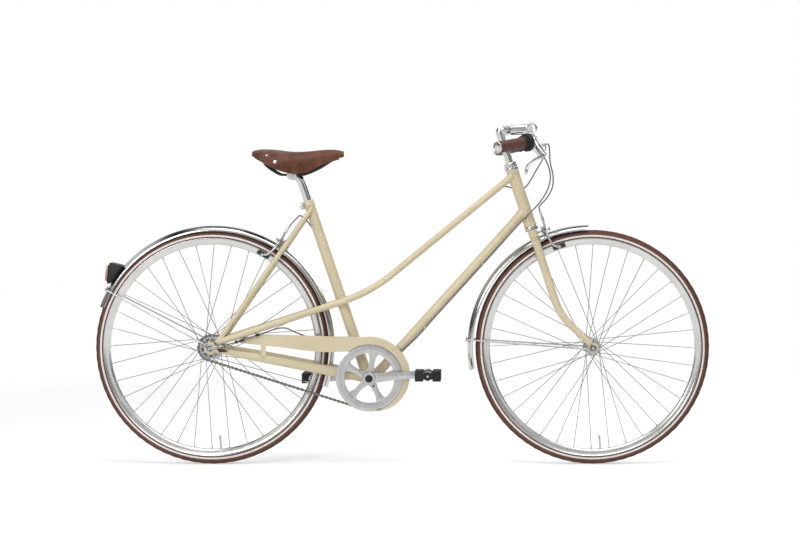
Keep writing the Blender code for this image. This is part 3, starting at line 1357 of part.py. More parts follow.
def build_sprocket():
    """The small rear sprocket on its driver, which turns on the rear axle."""
    phase = wheel_phase(REAR_AXLE, SPROCKET_TEETH)
    plane = REAR_AXLE - LEFT * CHAIN_LINE
    half = TOOTH_THICKNESS / 2
    sprocket = plate("rear_sprocket", toothed_outline(SPROCKET_TEETH, phase), -half, half, plane)
    inner = REAR_AXLE - LEFT * (REAR_HUB_RIGHT_END + GAP)
    outer = REAR_AXLE - LEFT * (DROPOUT_SPREAD - DROPOUT_THICKNESS / 2 - GAP)
    driver = rod("driver", inner, outer.lerp(inner, 0.35), 0.0185, 14)
    nose = rod("nose", inner, outer, 0.0125, 12)
    join(sprocket, driver, nose)
    hole = rod("hole", REAR_AXLE, REAR_AXLE - LEFT * 0.08, AXLE_RADIUS + 2 * GAP, 10)
    return finish_piece(cut(sprocket, hole), "steel")


def build_chainring():
    """The toothed ring, its five-armed spider and the bright guard ring outside it, all riveted together."""
    phase = wheel_phase(CRANK_CENTRE, CHAINRING_TEETH)
    plane = CRANK_CENTRE - LEFT * CHAIN_LINE
    half = TOOTH_THICKNESS / 2
    ring = plate("chainring", toothed_outline(CHAINRING_TEETH, phase), -half, half, plane)
    opening = rod("opening", plane - LEFT * 0.01, plane + LEFT * 0.01, GUARD_RING_OPENING, 24)
    cut(ring, opening)
    guard_inner = CHAIN_LINE + 0.0060
    guard_outer = guard_inner + 0.0020
    groove = GUARD_RING_RADIUS - 0.0115
    profile = [(GUARD_RING_OPENING, guard_inner), (GUARD_RING_RADIUS, guard_inner), (GUARD_RING_RADIUS, guard_outer),
               (groove, guard_outer), (groove - 0.001, guard_outer - 0.0008), (GUARD_RING_OPENING, guard_outer)]
    guard = turned("guard", profile, CRANK_CENTRE, -LEFT, 36)
    hub = rod("hub", CRANK_CENTRE - LEFT * (CHAIN_LINE - half), CRANK_CENTRE - LEFT * (CRANK_INNER_FACE - GAP),
              0.0185, 16)
    for arm in range(SPIDER_ARMS):
        turn = radians(9) + 2 * pi * arm / SPIDER_ARMS
        out = Vector((cos(turn), 0, sin(turn)))
        across = LEFT.cross(out)
        width = SPIDER_ARM_WIDTH / 2
        outline = [(0.004, -width * 1.15), (GUARD_RING_OPENING + 0.004, -width * 0.8),
                   (GUARD_RING_OPENING + 0.008, 0), (GUARD_RING_OPENING + 0.004, width * 0.8), (0.004, width * 1.15)]
        arm_plate = plate("arm", outline, CHAIN_LINE - half * 0.5, guard_outer - 0.0006, CRANK_CENTRE, out, across,
                          -LEFT)
        join(hub, arm_plate)
    join(ring, guard, hub)
    hole = rod("hole", CRANK_CENTRE, CRANK_CENTRE - LEFT * 0.08, bore_radius(CRANK_AXLE_RADIUS, 14), 14)
    return finish_piece(cut(ring, hole), "aluminium")


def crank_end(side):
    """The pedal's place at a crank's end."""
    turn = CRANK_ANGLE if side == RIGHT_SIDE else CRANK_ANGLE + pi
    return CRANK_CENTRE + ring_offset(CRANK_LENGTH, turn)


def build_crank_axle():
    half = CRANK_INNER_FACE + CRANK_THICKNESS
    axle = rod("crank_axle", CRANK_CENTRE - LEFT * half, CRANK_CENTRE + LEFT * half, CRANK_AXLE_RADIUS, 14)
    return finish_piece(axle, "steel")


def build_crank(name, side):
    """A flat tapered arm, with a boss at the axle and the pedal's spindle fixed in its other end."""
    inner = CRANK_INNER_FACE
    outer = inner + CRANK_THICKNESS
    end = crank_end(side)
    along = (end - CRANK_CENTRE).normalized()
    across = LEFT.cross(along)
    big = 0.0165
    small = 0.0145
    outline = circle(big, 6, (0, 0), pi / 2, pi) + circle(small, 6, (CRANK_LENGTH, 0), -pi / 2, pi)
    arm = plate(name, outline, inner, outer, CRANK_CENTRE, along, across, LEFT * side)
    boss = rod("boss", CRANK_CENTRE + LEFT * side * inner, CRANK_CENTRE + LEFT * side * (outer + 0.003), 0.0190, 14)
    spindle = rod("spindle", end + LEFT * side * (outer - 0.004), end + LEFT * side * (outer + 0.008 + PEDAL_WIDTH),
                  PEDAL_AXLE_RADIUS, 8)
    collar = rod("collar", end + LEFT * side * (outer - 0.004), end + LEFT * side * (outer + 0.003), 0.0085, 8)
    join(arm, boss, spindle, collar)
    hole = rod("hole", CRANK_CENTRE, CRANK_CENTRE + LEFT * side * 0.12, bore_radius(CRANK_AXLE_RADIUS, 14), 14)
    return finish_piece(cut(arm, hole), "aluminium")


def build_pedal(name, side):
    """An open block pedal: end plates, two treads and a middle barrel that turns on the spindle."""
    start = CRANK_INNER_FACE + CRANK_THICKNESS + 0.0045
    end = start + PEDAL_WIDTH
    middle = crank_end(side) + LEFT * side * (start + end) / 2
    barrel = rod(name, middle - LEFT * (PEDAL_WIDTH / 2 - 0.002), middle + LEFT * (PEDAL_WIDTH / 2 - 0.002),
                 0.0110, 10)
    half_length = PEDAL_LENGTH / 2
    for way in (-1, 1):
        tread = box("tread", middle + FORWARD * way * (half_length - 0.012), (0.024, PEDAL_WIDTH - 0.004,
                    PEDAL_HEIGHT))
        join(barrel, tread)
    for place in (-1, 1):
        side_centre = middle + LEFT * place * (PEDAL_WIDTH / 2 - 0.004)
        join(barrel, box("end", side_centre, (PEDAL_LENGTH - 0.010, 0.006, PEDAL_HEIGHT * 0.62)))
    hole = rod("hole", middle - LEFT * 0.08, middle + LEFT * 0.08, bore_radius(PEDAL_AXLE_RADIUS, 10), 10)
    return finish_piece(cut(barrel, hole), "black_plastic")


def build_chain_guard():
    """A thin hockey stick over the chain: a side plate with a tab at the chain stay, and a flange over the chain."""
    centre = CRANK_CENTRE
    tip = centre + Vector((-0.388, 0, 0.1065))
    peak = centre + Vector((-0.327, 0, 0.1255))
    start = radians(98)
    end = radians(-78)
    steps = 10
    outer_edge = [(tip.x, tip.z), (peak.x - 0.012, peak.z - 0.001), (peak.x + 0.012, peak.z + 0.001)]
    tab_foot = 0.320
    inner_edge = [(tip.x + 0.004, tip.z - 0.004), (tip.x + 0.067, tip.z - 0.010), (tip.x + 0.0705, tip.z - 0.0105),
                  (tip.x + 0.0705, tab_foot), (tip.x + 0.085, tab_foot), (tip.x + 0.085, tip.z - 0.012),
                  (tip.x + 0.145, tip.z - 0.018),
                  (tip.x + 0.228, tip.z - 0.029), (tip.x + 0.279, tip.z - 0.030)]
    inner_radius = GUARD_RING_RADIUS + 0.0025
    for step in range(steps + 1):
        turn = start + (end - start) * step / steps
        outer_edge.append((centre.x + CHAIN_GUARD_RADIUS * cos(turn), centre.z + CHAIN_GUARD_RADIUS * sin(turn)))
    inner_start = radians(148)
    for step in range(steps + 1):
        turn = inner_start + (end - inner_start) * step / steps
        inner_edge.append((centre.x + inner_radius * cos(turn), centre.z + inner_radius * sin(turn)))
    outline = outer_edge + inner_edge[::-1]
    face = CHAIN_GUARD_PLANE
    guard = plate("chain_guard", outline, face - CHAIN_GUARD_THICKNESS, face, Vector(), FORWARD, UP, -LEFT)
    rings = []
    wall = CHAIN_GUARD_THICKNESS
    count = len(outer_edge)
    for index in range(1, count):
        x, z = outer_edge[index]
        before = outer_edge[max(index - 1, 0)]
        after = outer_edge[min(index + 1, count - 1)]
        along = Vector((after[0] - before[0], 0, after[1] - before[1])).normalized()
        inward = along.cross(LEFT) * -1
        if inward.dot(centre + UP * 0.02 - Vector((x, 0, z))) < 0:
            inward = -inward
        edge = Vector((x, 0, z))
        rings.append([edge - LEFT * face, edge - LEFT * (face - CHAIN_GUARD_DEPTH),
                      edge + inward * wall - LEFT * (face - CHAIN_GUARD_DEPTH), edge + inward * wall - LEFT * face])
    join(guard, new_object("flange", skin(rings)))
    return finish_piece(guard, "cream_paint")


# Cables
def build_cable(name, route, steps=3):
    cable = sweep(name, smooth_path(route, steps), HOUSING_RADIUS, HOUSING_RADIUS, 6, Vector((0.31, 0.9, 0.22)))
    return finish_piece(cable, "grey_housing")


def lever_cable_start(side):
    pivot, _, _, _, clamp, _ = lever_frame(side)
    reach = (clamp - pivot).normalized()
    start = clamp - reach * 0.011
    return start.lerp(pivot, 0.35) + cable_exit(side) * (0.018 + 2 * GAP)


def build_front_brake_cable():
    """From the right lever, forward and down in an open bow, to the front brake's adjuster."""
    start = lever_cable_start(RIGHT_SIDE)
    end = barrel_top(brake_frame_front())
    way = cable_exit(RIGHT_SIDE)
    middle = bar_centre()
    route = [start, start + way * 0.012, start + way * 0.024 - UP * 0.005, middle + Vector((0.0530, -0.084, -0.100)),
             middle + Vector((0.0620, -0.064, -0.140)), middle + Vector((0.0600, -0.048, -0.175)),
             middle + Vector((0.0430, -0.038, -0.207)), end + STEER_UP * 0.028 + FORWARD * 0.004,
             end + STEER_UP * 0.014, end]
    return build_cable("front_brake_cable", route)


def build_shift_cable():
    """From the twist shifter down the down tube, behind the chain guard and back to the hub's shift arm."""
    axis = grip_axis(RIGHT_SIDE)
    mouth = grip_end(RIGHT_SIDE) - axis * (GRIP_LENGTH + SHIFTER_LENGTH + 3 * GAP)
    behind = Vector((-1, 0, -0.4))
    behind = (behind - axis * behind.dot(axis)).normalized()
    start = mouth + behind * 0.0195
    clamp, _ = lever_clamp(RIGHT_SIDE)
    middle = bar_centre()
    foot, top = down_tube_line()
    run = (top - foot).normalized()
    under = (Vector((run.z, 0, -run.x)) - LEFT * 0.8).normalized() * (DOWN_TUBE_RADIUS + HOUSING_RADIUS + 3 * GAP)
    beside = HEAD_TUBE_RADIUS + LUG_THICKNESS + HOUSING_RADIUS + 0.002
    route = [start, start - axis * 0.014, clamp + Vector((-0.0160, 0.0020, -0.0150)),
             middle + Vector((-0.0020, -0.098, -0.0500)), middle + Vector((0.0280, -0.086, -0.0760)),
             middle + Vector((0.0480, -0.074, -0.1120)), middle + Vector((0.0540, -0.062, -0.1500)),
             middle + Vector((0.0420, -0.045, -0.1900)), middle + Vector((0.0180, -0.031, -0.2250)),
             top + Vector((0.010, -beside, -0.010)), top + Vector((-0.026, -0.0205, -0.048))]
    route += [foot.lerp(top, share) + under for share in (0.78, 0.60, 0.40, 0.24)]
    route.append(foot.lerp(top, 0.14) - LEFT * (DOWN_TUBE_RADIUS + HOUSING_RADIUS + 0.0025))
    route += [CRANK_CENTRE + Vector((0.060, -0.026, 0.090)), CRANK_CENTRE + Vector((-0.010, -0.0240, 0.084)),
              Vector((seat_point(0, 0, 0.09).x, -SEAT_TUBE_RADIUS - 0.0050, CRANK_CENTRE.z + 0.088)),
              CRANK_CENTRE + Vector((-0.125, -0.0335, 0.100)), REAR_AXLE + Vector((0.255, -0.0360, 0.042)),
              REAR_AXLE + Vector((0.212, -0.0490, 0.0590)), REAR_AXLE + Vector((0.156, -0.0620, 0.0450)),
              REAR_AXLE + Vector((0.086, -0.0705, 0.0210)), shift_arm_tip() + FORWARD * 2 * GAP]
    return build_cable("shift_cable", route, 2)


def shift_arm_tip():
    """The place on the rear axle's right end where the shift cable pulls."""
    out = DROPOUT_SPREAD + DROPOUT_THICKNESS / 2 + AXLE_NUT_LENGTH + 0.0036
    return REAR_AXLE + Vector((0.026, -out, 0.006))


def build_rear_brake_cable():
    """From the left lever past the head tube, along the left lateral tube and up to the rear brake."""
    start = lever_cable_start(LEFT_SIDE)
    way = cable_exit(LEFT_SIDE)
    end = barrel_top(brake_frame_rear())
    _, _, up = brake_frame_rear()
    middle = bar_centre()
    route = [start, start + way * 0.010, start + way * 0.018 - UP * 0.005, middle + Vector((0.0340, 0.070, -0.0900)),
             middle + Vector((0.0180, 0.058, -0.1180)), middle + Vector((-0.0160, 0.040, -0.1720)),
             middle + Vector((-0.0550, 0.031, -0.1960))]
    clear = LATERAL_RADIUS + HOUSING_RADIUS + 0.0022
    lateral = lateral_route(LEFT_SIDE)
    seat_x = seat_point(0, 0, LATERAL_BEND_HEIGHT).x
    for share in (0.26, 0.44, 0.64, 0.80, 0.92):
        x = lateral[0].x + (seat_x - lateral[0].x) * share
        route.append(point_at_x(lateral, x) + (LEFT - UP * 0.6).normalized() * clear)
    side = SEAT_TUBE_RADIUS + HOUSING_RADIUS + 3 * GAP
    seat_z = SEAT_TUBE_TOP
    route += [point_at_x(lateral, seat_x + 0.002) + LEFT * (clear + GAP) + UP * 0.004,
              seat_point(0.003, side + 0.010, seat_z - 0.255), seat_point(0.0, side + 0.0005, seat_z - 0.215),
              seat_point(-0.002, side, seat_z - 0.14), seat_point(-0.0140, side * 0.72, seat_z - 0.085),
              seat_point(-0.0230, 0.004, seat_z - 0.055), seat_point(-0.034, -0.002, seat_z - 0.036),
              end + up * 0.040 - LEFT * -0.014 + FORWARD * 0.004, end + up * 0.016, end]
    return build_cable("rear_brake_cable", route, 2)


# Joint axes
def parent_to_axis(name, place, axis, children):
    """Hang the pieces of a moving body on an empty that stands on its joint's axis."""
    holder = bpy.data.objects.new(name, None)
    bpy.context.scene.collection.objects.link(holder)
    holder.empty_display_size = 0.05
    holder.matrix_world = Matrix.Translation(place) @ UP.rotation_difference(axis).to_matrix().to_4x4()
    bpy.context.view_layer.update()
    for child in children:
        obj = bpy.data.objects[child]
        obj.parent = holder
        obj.matrix_parent_inverse = holder.matrix_world.inverted()
    return holder


def place_axes():
    """One empty on the axis of every joint, with the pieces that turn or slide on it."""
    parent_to_axis("steering_axis", STEER_FOOT, STEER_UP, [
        "fork_steerer", "fork_blade_left", "fork_blade_right", "headset_locknut", "stem", "handlebar",
        "grip_left", "grip_right", "lever_bracket_left", "lever_bracket_right", "front_mudguard",
        "front_mudguard_stay", "front_brake_cable", "front_axle"])
    parent_to_axis("front_wheel_axis", FRONT_AXLE, LEFT, ["front_tyre", "front_rim", "front_hub"])
    parent_to_axis("rear_wheel_axis", REAR_AXLE, LEFT, ["rear_tyre", "rear_rim", "rear_hub"])
    parent_to_axis("sprocket_axis", REAR_AXLE, LEFT, ["rear_sprocket"])
    parent_to_axis("crank_axis", CRANK_CENTRE, LEFT, ["crank_axle", "crank_left", "crank_right", "chainring"])
    parent_to_axis("shifter_axis", grip_end(RIGHT_SIDE), grip_axis(RIGHT_SIDE), ["twist_shifter"])
    parent_to_axis("seat_post_axis", SEAT_FOOT, SEAT_UP, ["seat_post"])
    parent_to_axis("saddle_axis", post_head(), LEFT, ["saddle", "saddle_frame"])
    for name, side in (("left", LEFT_SIDE), ("right", RIGHT_SIDE)):
        pivot, axis, _, _, _, _ = lever_frame(side)
        parent_to_axis("lever_axis_" + name, pivot, axis, ["brake_lever_" + name])
        parent_to_axis("pedal_axis_" + name, crank_end(side), LEFT, ["pedal_" + name])
    for name, (middle, out, _) in (("front", brake_frame_front()), ("rear", brake_frame_rear())):
        parent_to_axis(name + "_brake_axis", middle, out, [name + "_brake_arm_left", name + "_brake_arm_right"])


def main():
    for obj in list(bpy.data.objects):
        bpy.data.objects.remove(obj, do_unlink=True)
    for name in FINISHES:
        make_finish(name)
    build_head_tube()
    build_down_tube()
    build_seat_tube()
    build_seat_clamp_bolt()
    build_shell()
    for name, side in (("left", LEFT_SIDE), ("right", RIGHT_SIDE)):
        build_lateral("lateral_tube_" + name, side)
        build_seat_stay("seat_stay_" + name, side)
        build_chain_stay("chain_stay_" + name, side)
        build_fork_blade("fork_blade_" + name, side)
        build_grip("grip_" + name, side)
        build_lever_bracket("lever_bracket_" + name, side)
        build_brake_lever("brake_lever_" + name, side)
        build_crank("crank_" + name, side)
        build_pedal("pedal_" + name, side)
    build_brake_bridge()
    build_headset()
    build_fork_crown()
    build_stem()
    build_handlebar()
    build_twist_shifter()
    build_brake_pair("front", brake_frame_front(), BRAKE_DROP_FRONT, 0.043, 0.0)
    build_brake_pair("rear", brake_frame_rear(), BRAKE_DROP_REAR, 0.040, -0.1)
    build_tyre("front_tyre", FRONT_AXLE)
    build_rim("front_rim", FRONT_AXLE)
    build_front_hub()
    build_front_axle()
    build_tyre("rear_tyre", REAR_AXLE)
    build_rim("rear_rim", REAR_AXLE)
    build_rear_hub()
    build_rear_axle()
    build_mudguard("front_mudguard", FRONT_MUDGUARD_CENTRE, FRONT_MUDGUARD_RADIUS, FRONT_MUDGUARD_START,
                   FRONT_MUDGUARD_END, 12)
    build_mudguard("rear_mudguard", REAR_MUDGUARD_CENTRE, REAR_MUDGUARD_RADIUS, REAR_MUDGUARD_START,
                   REAR_MUDGUARD_END, 28)
    build_stays()
    build_rear_light()
    build_seat_post()
    build_saddle()
    build_saddle_frame()
    build_crank_axle()
    build_chainring()
    build_sprocket()
    build_chain()
    build_chain_guard()
    build_front_brake_cable()
    build_shift_cable()
    build_rear_brake_cable()
    place_axes()


main()
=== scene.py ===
from math import acos, atan2, cos, pi, radians, sin, sqrt, tan

import bmesh
import bpy
from mathutils import Matrix, Vector


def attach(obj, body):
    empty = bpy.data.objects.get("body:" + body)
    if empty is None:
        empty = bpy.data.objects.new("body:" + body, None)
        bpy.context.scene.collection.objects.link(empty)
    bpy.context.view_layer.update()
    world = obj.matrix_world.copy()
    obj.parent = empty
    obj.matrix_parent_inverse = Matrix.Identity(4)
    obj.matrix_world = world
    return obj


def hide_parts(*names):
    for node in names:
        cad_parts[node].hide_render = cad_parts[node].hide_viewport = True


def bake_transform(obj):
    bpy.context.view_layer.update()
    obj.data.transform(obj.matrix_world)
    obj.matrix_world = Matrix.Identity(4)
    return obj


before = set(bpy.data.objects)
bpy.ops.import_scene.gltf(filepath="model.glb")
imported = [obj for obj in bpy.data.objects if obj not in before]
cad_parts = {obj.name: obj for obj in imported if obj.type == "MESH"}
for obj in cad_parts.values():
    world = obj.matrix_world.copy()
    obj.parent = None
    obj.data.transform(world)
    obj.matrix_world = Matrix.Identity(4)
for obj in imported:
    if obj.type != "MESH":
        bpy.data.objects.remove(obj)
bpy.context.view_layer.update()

# The studio: a seamless white paper floor and one long lens beside the bicycle's drive side.
# Three soft boxes hang round it, and dark bands on the white walls give the chrome its lines.
camera_data = bpy.data.cameras.new("lens")
camera_data.lens = 91.4
camera_data.sensor_width = 36.0
camera_data.shift_x = -0.125
camera_data.shift_y = -0.1019
camera = bpy.data.objects.new("camera", camera_data)
camera.location = (0.2876, -6.0, 0.8227)
camera.rotation_euler = (radians(90), 0, 0)
bpy.context.scene.collection.objects.link(camera)
bpy.context.scene.camera = camera
bpy.context.scene.view_settings.view_transform = "Standard"


def hang_soft_box(name, place, aim, width, height, power):
    lamp = bpy.data.lights.new(name, "AREA")
    lamp.shape = "RECTANGLE"
    lamp.size = width
    lamp.size_y = height
    lamp.energy = power
    holder = bpy.data.objects.new(name, lamp)
    holder.location = place
    holder.rotation_euler = (Vector(aim) - Vector(place)).to_track_quat("-Z", "Y").to_euler()
    bpy.context.scene.collection.objects.link(holder)


hang_soft_box("soft_box_over", (0.3, -0.8, 3.2), (0, 0, 0.4), 3.2, 2.2, 62)
hang_soft_box("soft_box_before", (-2.2, -3.6, 1.9), (0, 0, 0.5), 1.8, 1.4, 46)
hang_soft_box("soft_box_behind", (1.8, 3.0, 2.2), (0, 0, 0.5), 1.8, 1.2, 30)


def add_node(tree, kind, *sources, **settings):
    """A new node with its settings, whose first sockets are fed by the sources."""
    node = tree.nodes.new("ShaderNode" + kind)
    for setting, value in settings.items():
        setattr(node, setting, value)
    for socket, source in zip(node.inputs, sources):
        tree.links.new(source, socket)
    return node


world = bpy.data.worlds.new("studio")
world.use_nodes = True
bpy.context.scene.world = world
sky = world.node_tree
wall = sky.nodes["Background"]
wall.inputs["Strength"].default_value = 1.0
shown = add_node(sky, "Background")
shown.inputs["Color"].default_value = (1, 1, 1, 1)
shown.inputs["Strength"].default_value = 1.0
parts = add_node(sky, "SeparateXYZ", add_node(sky, "TexCoord").outputs["Generated"]).outputs
wall_tone = add_node(sky, "ValToRGB", parts["Z"])
wall_tone.color_ramp.elements[0].position = 0.0
wall_tone.color_ramp.elements[0].color = (0.80, 0.80, 0.80, 1)
for height, tone in ((0.04, 0.72), (0.09, 0.14), (0.15, 0.13), (0.22, 0.58), (0.42, 0.88), (0.66, 0.76),
                     (0.80, 0.22)):
    step = wall_tone.color_ramp.elements.new(height)
    step.color = (tone, tone, tone * 1.01, 1)
wall_tone.color_ramp.elements[-1].color = (0.20, 0.20, 0.21, 1)
sideways = add_node(sky, "Math", parts["X"], operation="ABSOLUTE")
flag_tone = add_node(sky, "ValToRGB", sideways.outputs[0])
flag_tone.color_ramp.elements[0].color = (1, 1, 1, 1)
for reach, tone in ((0.32, 1.0), (0.39, 0.14), (0.48, 0.14), (0.56, 0.95), (0.80, 0.90), (0.86, 0.20),
                    (0.92, 0.20)):
    step = flag_tone.color_ramp.elements.new(reach)
    step.color = (tone, tone, tone, 1)
flag_tone.color_ramp.elements[-1].color = (0.95, 0.95, 0.95, 1)
lined = add_node(sky, "Mix", data_type="RGBA", blend_type="MULTIPLY")
lined.inputs["Factor"].default_value = 1.0
sky.links.new(wall_tone.outputs["Color"], lined.inputs["A"])
sky.links.new(flag_tone.outputs["Color"], lined.inputs["B"])
sky.links.new(lined.outputs["Result"], wall.inputs["Color"])
seen = add_node(sky, "LightPath").outputs["Is Camera Ray"]
choose = add_node(sky, "MixShader", seen, wall.outputs[0], shown.outputs[0])
sky.links.new(choose.outputs[0], sky.nodes["World Output"].inputs["Surface"])

FLOOR_LIFT = 0.34
floor_mesh = bpy.data.meshes.new("paper_floor")
floor_mesh.from_pydata([(-12, -12, 0), (12, -12, 0), (12, 12, 0), (-12, 12, 0)], [], [(0, 1, 2, 3)])
floor = bpy.data.objects.new("paper_floor", floor_mesh)
bpy.context.scene.collection.objects.link(floor)
paper = bpy.data.materials.new("white_paper")
paper.use_nodes = True
sheet = paper.node_tree
sheet_shader = sheet.nodes["Principled BSDF"]
sheet_shader.inputs["Base Color"].default_value = (0.86, 0.86, 0.86, 1)
sheet_shader.inputs["Roughness"].default_value = 0.9
sheet_shader.inputs["Specular IOR Level"].default_value = 0.1
sheet_ray = add_node(sheet, "LightPath").outputs
dim = add_node(sheet, "Math", sheet_ray["Is Camera Ray"], operation="MULTIPLY")
dim.inputs[1].default_value = FLOOR_LIFT
lift = add_node(sheet, "Emission")
lift.inputs["Color"].default_value = (1, 1, 1, 1)
sheet.links.new(dim.outputs[0], lift.inputs["Strength"])
lifted = add_node(sheet, "AddShader", sheet_shader.outputs[0], lift.outputs[0])
sheet_place = add_node(sheet, "TexCoord").outputs["Object"]
distance = add_node(sheet, "VectorMath", sheet_place, operation="LENGTH")
sweep_start = add_node(sheet, "MapRange", distance.outputs["Value"])
sweep_start.inputs["From Min"].default_value = 1.5
sweep_start.inputs["From Max"].default_value = 3.0
sweep = add_node(sheet, "Math", sweep_start.outputs["Result"], sheet_ray["Is Camera Ray"],
                 operation="MULTIPLY")
mirrored = add_node(sheet, "Math", sweep.outputs[0], sheet_ray["Is Glossy Ray"], operation="MAXIMUM")
bright_sweep = add_node(sheet, "Emission")
bright_sweep.inputs["Color"].default_value = (1, 1, 1, 1)
bright_sweep.inputs["Strength"].default_value = 1.0
whole_sheet = add_node(sheet, "MixShader", mirrored.outputs[0], lifted.outputs[0], bright_sweep.outputs[0])
sheet.links.new(whole_sheet.outputs[0], sheet.nodes["Material Output"].inputs["Surface"])
paper.cycles.emission_sampling = "NONE"
floor_mesh.materials.append(paper)

# The frame's tubes: round steel, fillet-brazed at every joint and sprayed with glossy cream enamel.
# A thick down tube and two thin laterals run from the head tube, the laterals right back to the dropouts.
FORWARD = Vector((1, 0, 0))
LEFT = Vector((0, 1, 0))
UP = Vector((0, 0, 1))
SIDES = (("left", 1), ("right", -1))
TYRE_RADIUS = 0.345
REAR_AXLE = Vector((-0.56, 0, TYRE_RADIUS))
FRONT_AXLE = Vector((0.56, 0, TYRE_RADIUS))
HEAD_ANGLE = radians(71.7)
SEAT_ANGLE = radians(71.3)
STEER_UP = Vector((-cos(HEAD_ANGLE), 0, sin(HEAD_ANGLE)))
STEER_AHEAD = Vector((sin(HEAD_ANGLE), 0, cos(HEAD_ANGLE)))
FORK_OFFSET = 0.061
STEER_FOOT = FRONT_AXLE - STEER_AHEAD * FORK_OFFSET
CRANK_CENTRE = REAR_AXLE + Vector((0.465262, 0, -0.0874))
SEAT_UP = Vector((-cos(SEAT_ANGLE), 0, sin(SEAT_ANGLE)))
SEAT_AHEAD = Vector((sin(SEAT_ANGLE), 0, cos(SEAT_ANGLE)))
SEAT_FOOT = CRANK_CENTRE - SEAT_AHEAD * 0.0088
HEAD_TUBE_FOOT = 0.3957
HEAD_TUBE_TOP = 0.5653
SEAT_TUBE_TOP = 0.551
DROPOUT_SPREAD = 0.0627


def steer_point(ahead, side, up):
    return STEER_FOOT + STEER_AHEAD * ahead + LEFT * side + STEER_UP * up


def seat_point(ahead, side, up):
    return SEAT_FOOT + SEAT_AHEAD * ahead + LEFT * side + SEAT_UP * up


def new_finish(name, roughness, metallic=0.0, coat=0.0, coat_roughness=0.08, specular=0.5):
    """A paint, metal or moulding whose even values stand on the shader itself."""
    finish = bpy.data.materials.new(name)
    finish.use_nodes = True
    shader = finish.node_tree.nodes["Principled BSDF"]
    shader.inputs["Roughness"].default_value = roughness
    shader.inputs["Metallic"].default_value = metallic
    shader.inputs["Coat Weight"].default_value = coat
    shader.inputs["Coat Roughness"].default_value = coat_roughness
    shader.inputs["Specular IOR Level"].default_value = specular
    return finish


def grain(finish, size, stretch=(1, 1, 1), detail=4.0):
    """Irregular grain of a given size in metres, fixed to the piece."""
    tree = finish.node_tree
    sized = add_node(tree, "Mapping", add_node(tree, "TexCoord").outputs["Object"])
    sized.inputs["Scale"].default_value = [value / size for value in stretch]
    noise = add_node(tree, "TexNoise", sized.outputs["Vector"])
    noise.inputs["Scale"].default_value = 1.0
    noise.inputs["Detail"].default_value = detail
    return noise.outputs["Fac"]


def tint(finish, size, stops, detail=4.0):
    """Colours the surface by its grain, each stop a place from 0 to 1 and a colour."""
    tree = finish.node_tree
    ramp = add_node(tree, "ValToRGB", grain(finish, size, detail=detail))
    while len(ramp.color_ramp.elements) < len(stops):
        ramp.color_ramp.elements.new(0.5)
    for element, (place, colour) in zip(ramp.color_ramp.elements, stops):
        element.position = place
        element.color = (*colour, 1)
    tree.links.new(ramp.outputs["Color"], tree.nodes["Principled BSDF"].inputs["Base Color"])


def gloss(finish, size, low, high):
    """Lets the roughness run between two values by the surface's grain."""
    tree = finish.node_tree
    span = add_node(tree, "MapRange", grain(finish, size))
    span.inputs["From Min"].default_value = 0.3
    span.inputs["From Max"].default_value = 0.7
    span.inputs["To Min"].default_value = low
    span.inputs["To Max"].default_value = high
    tree.links.new(span.outputs["Result"], tree.nodes["Principled BSDF"].inputs["Roughness"])


def relief(finish, height, depth):
    """Raises and sinks the surface by a depth in metres."""
    tree = finish.node_tree
    bump = add_node(tree, "Bump")
    bump.inputs["Distance"].default_value = depth
    tree.links.new(height, bump.inputs["Height"])
    tree.links.new(bump.outputs["Normal"], tree.nodes["Principled BSDF"].inputs["Normal"])


cream_enamel = new_finish("cream_enamel", 0.42, coat=0.25, coat_roughness=0.24)
tint(cream_enamel, 0.09, [(0.3, (0.66, 0.565, 0.375)), (0.55, (0.70, 0.605, 0.41)),
                          (0.8, (0.73, 0.635, 0.44))])
gloss(cream_enamel, 0.03, 0.38, 0.48)
relief(cream_enamel, grain(cream_enamel, 0.020, detail=1.0), 0.00002)


def make_piece(name, bm, finishes, crease=35):
    """Turns a mesh into a piece with its finishes and soft shading, its faces turned outward."""
    bmesh.ops.recalc_face_normals(bm, faces=bm.faces[:])
    mesh = bpy.data.meshes.new(name)
    bm.to_mesh(mesh)
    bm.free()
    for finish in finishes if isinstance(finishes, list) else [finishes]:
        mesh.materials.append(finish)
    mesh.shade_smooth()
    mesh.set_sharp_from_angle(angle=radians(crease))
    piece = bpy.data.objects.new(name, mesh)
    bpy.context.scene.collection.objects.link(piece)
    return piece


def skin(rings):
    """A closed mesh between rows of points that all have the same count."""
    bm = bmesh.new()
    rows = [[bm.verts.new(point) for point in ring] for ring in rings]
    for first, second in zip(rows, rows[1:]):
        for index in range(len(first)):
            after = (index + 1) % len(first)
            bm.faces.new((first[index], first[after], second[after], second[index]))
    bm.faces.new(rows[0])
    bm.faces.new(rows[-1])
    return bm


def ease(bm, width, sharper_than=32):
    """Rounds every edge that is sharper than an angle, as filing or moulding does."""
    bmesh.ops.recalc_face_normals(bm, faces=bm.faces[:])
    edges = [edge for edge in bm.edges if len(edge.link_faces) == 2
             and edge.calc_face_angle(0) > radians(sharper_than)]
    bmesh.ops.bevel(bm, geom=edges, offset=width, segments=2, profile=0.6, affect="EDGES",
                    clamp_overlap=True)
    return bm


def smooth_path(points, steps=8):
    """A curve that passes smoothly through each of the points."""
    points = [Vector(point) for point in points]
    padded = [points[0] * 2 - points[1]] + points + [points[-1] * 2 - points[-2]]
    curve = []
    for a, b, c, d in zip(padded, padded[1:], padded[2:], padded[3:]):
        for step in range(steps):
            t = step / steps
            curve.append(b + (c - a) * 0.5 * t + (a * 2 - b * 5 + c * 4 - d) * 0.5 * t ** 2
                         + (b * 3 - a - c * 3 + d) * 0.5 * t ** 3)
    return curve + [points[-1]]


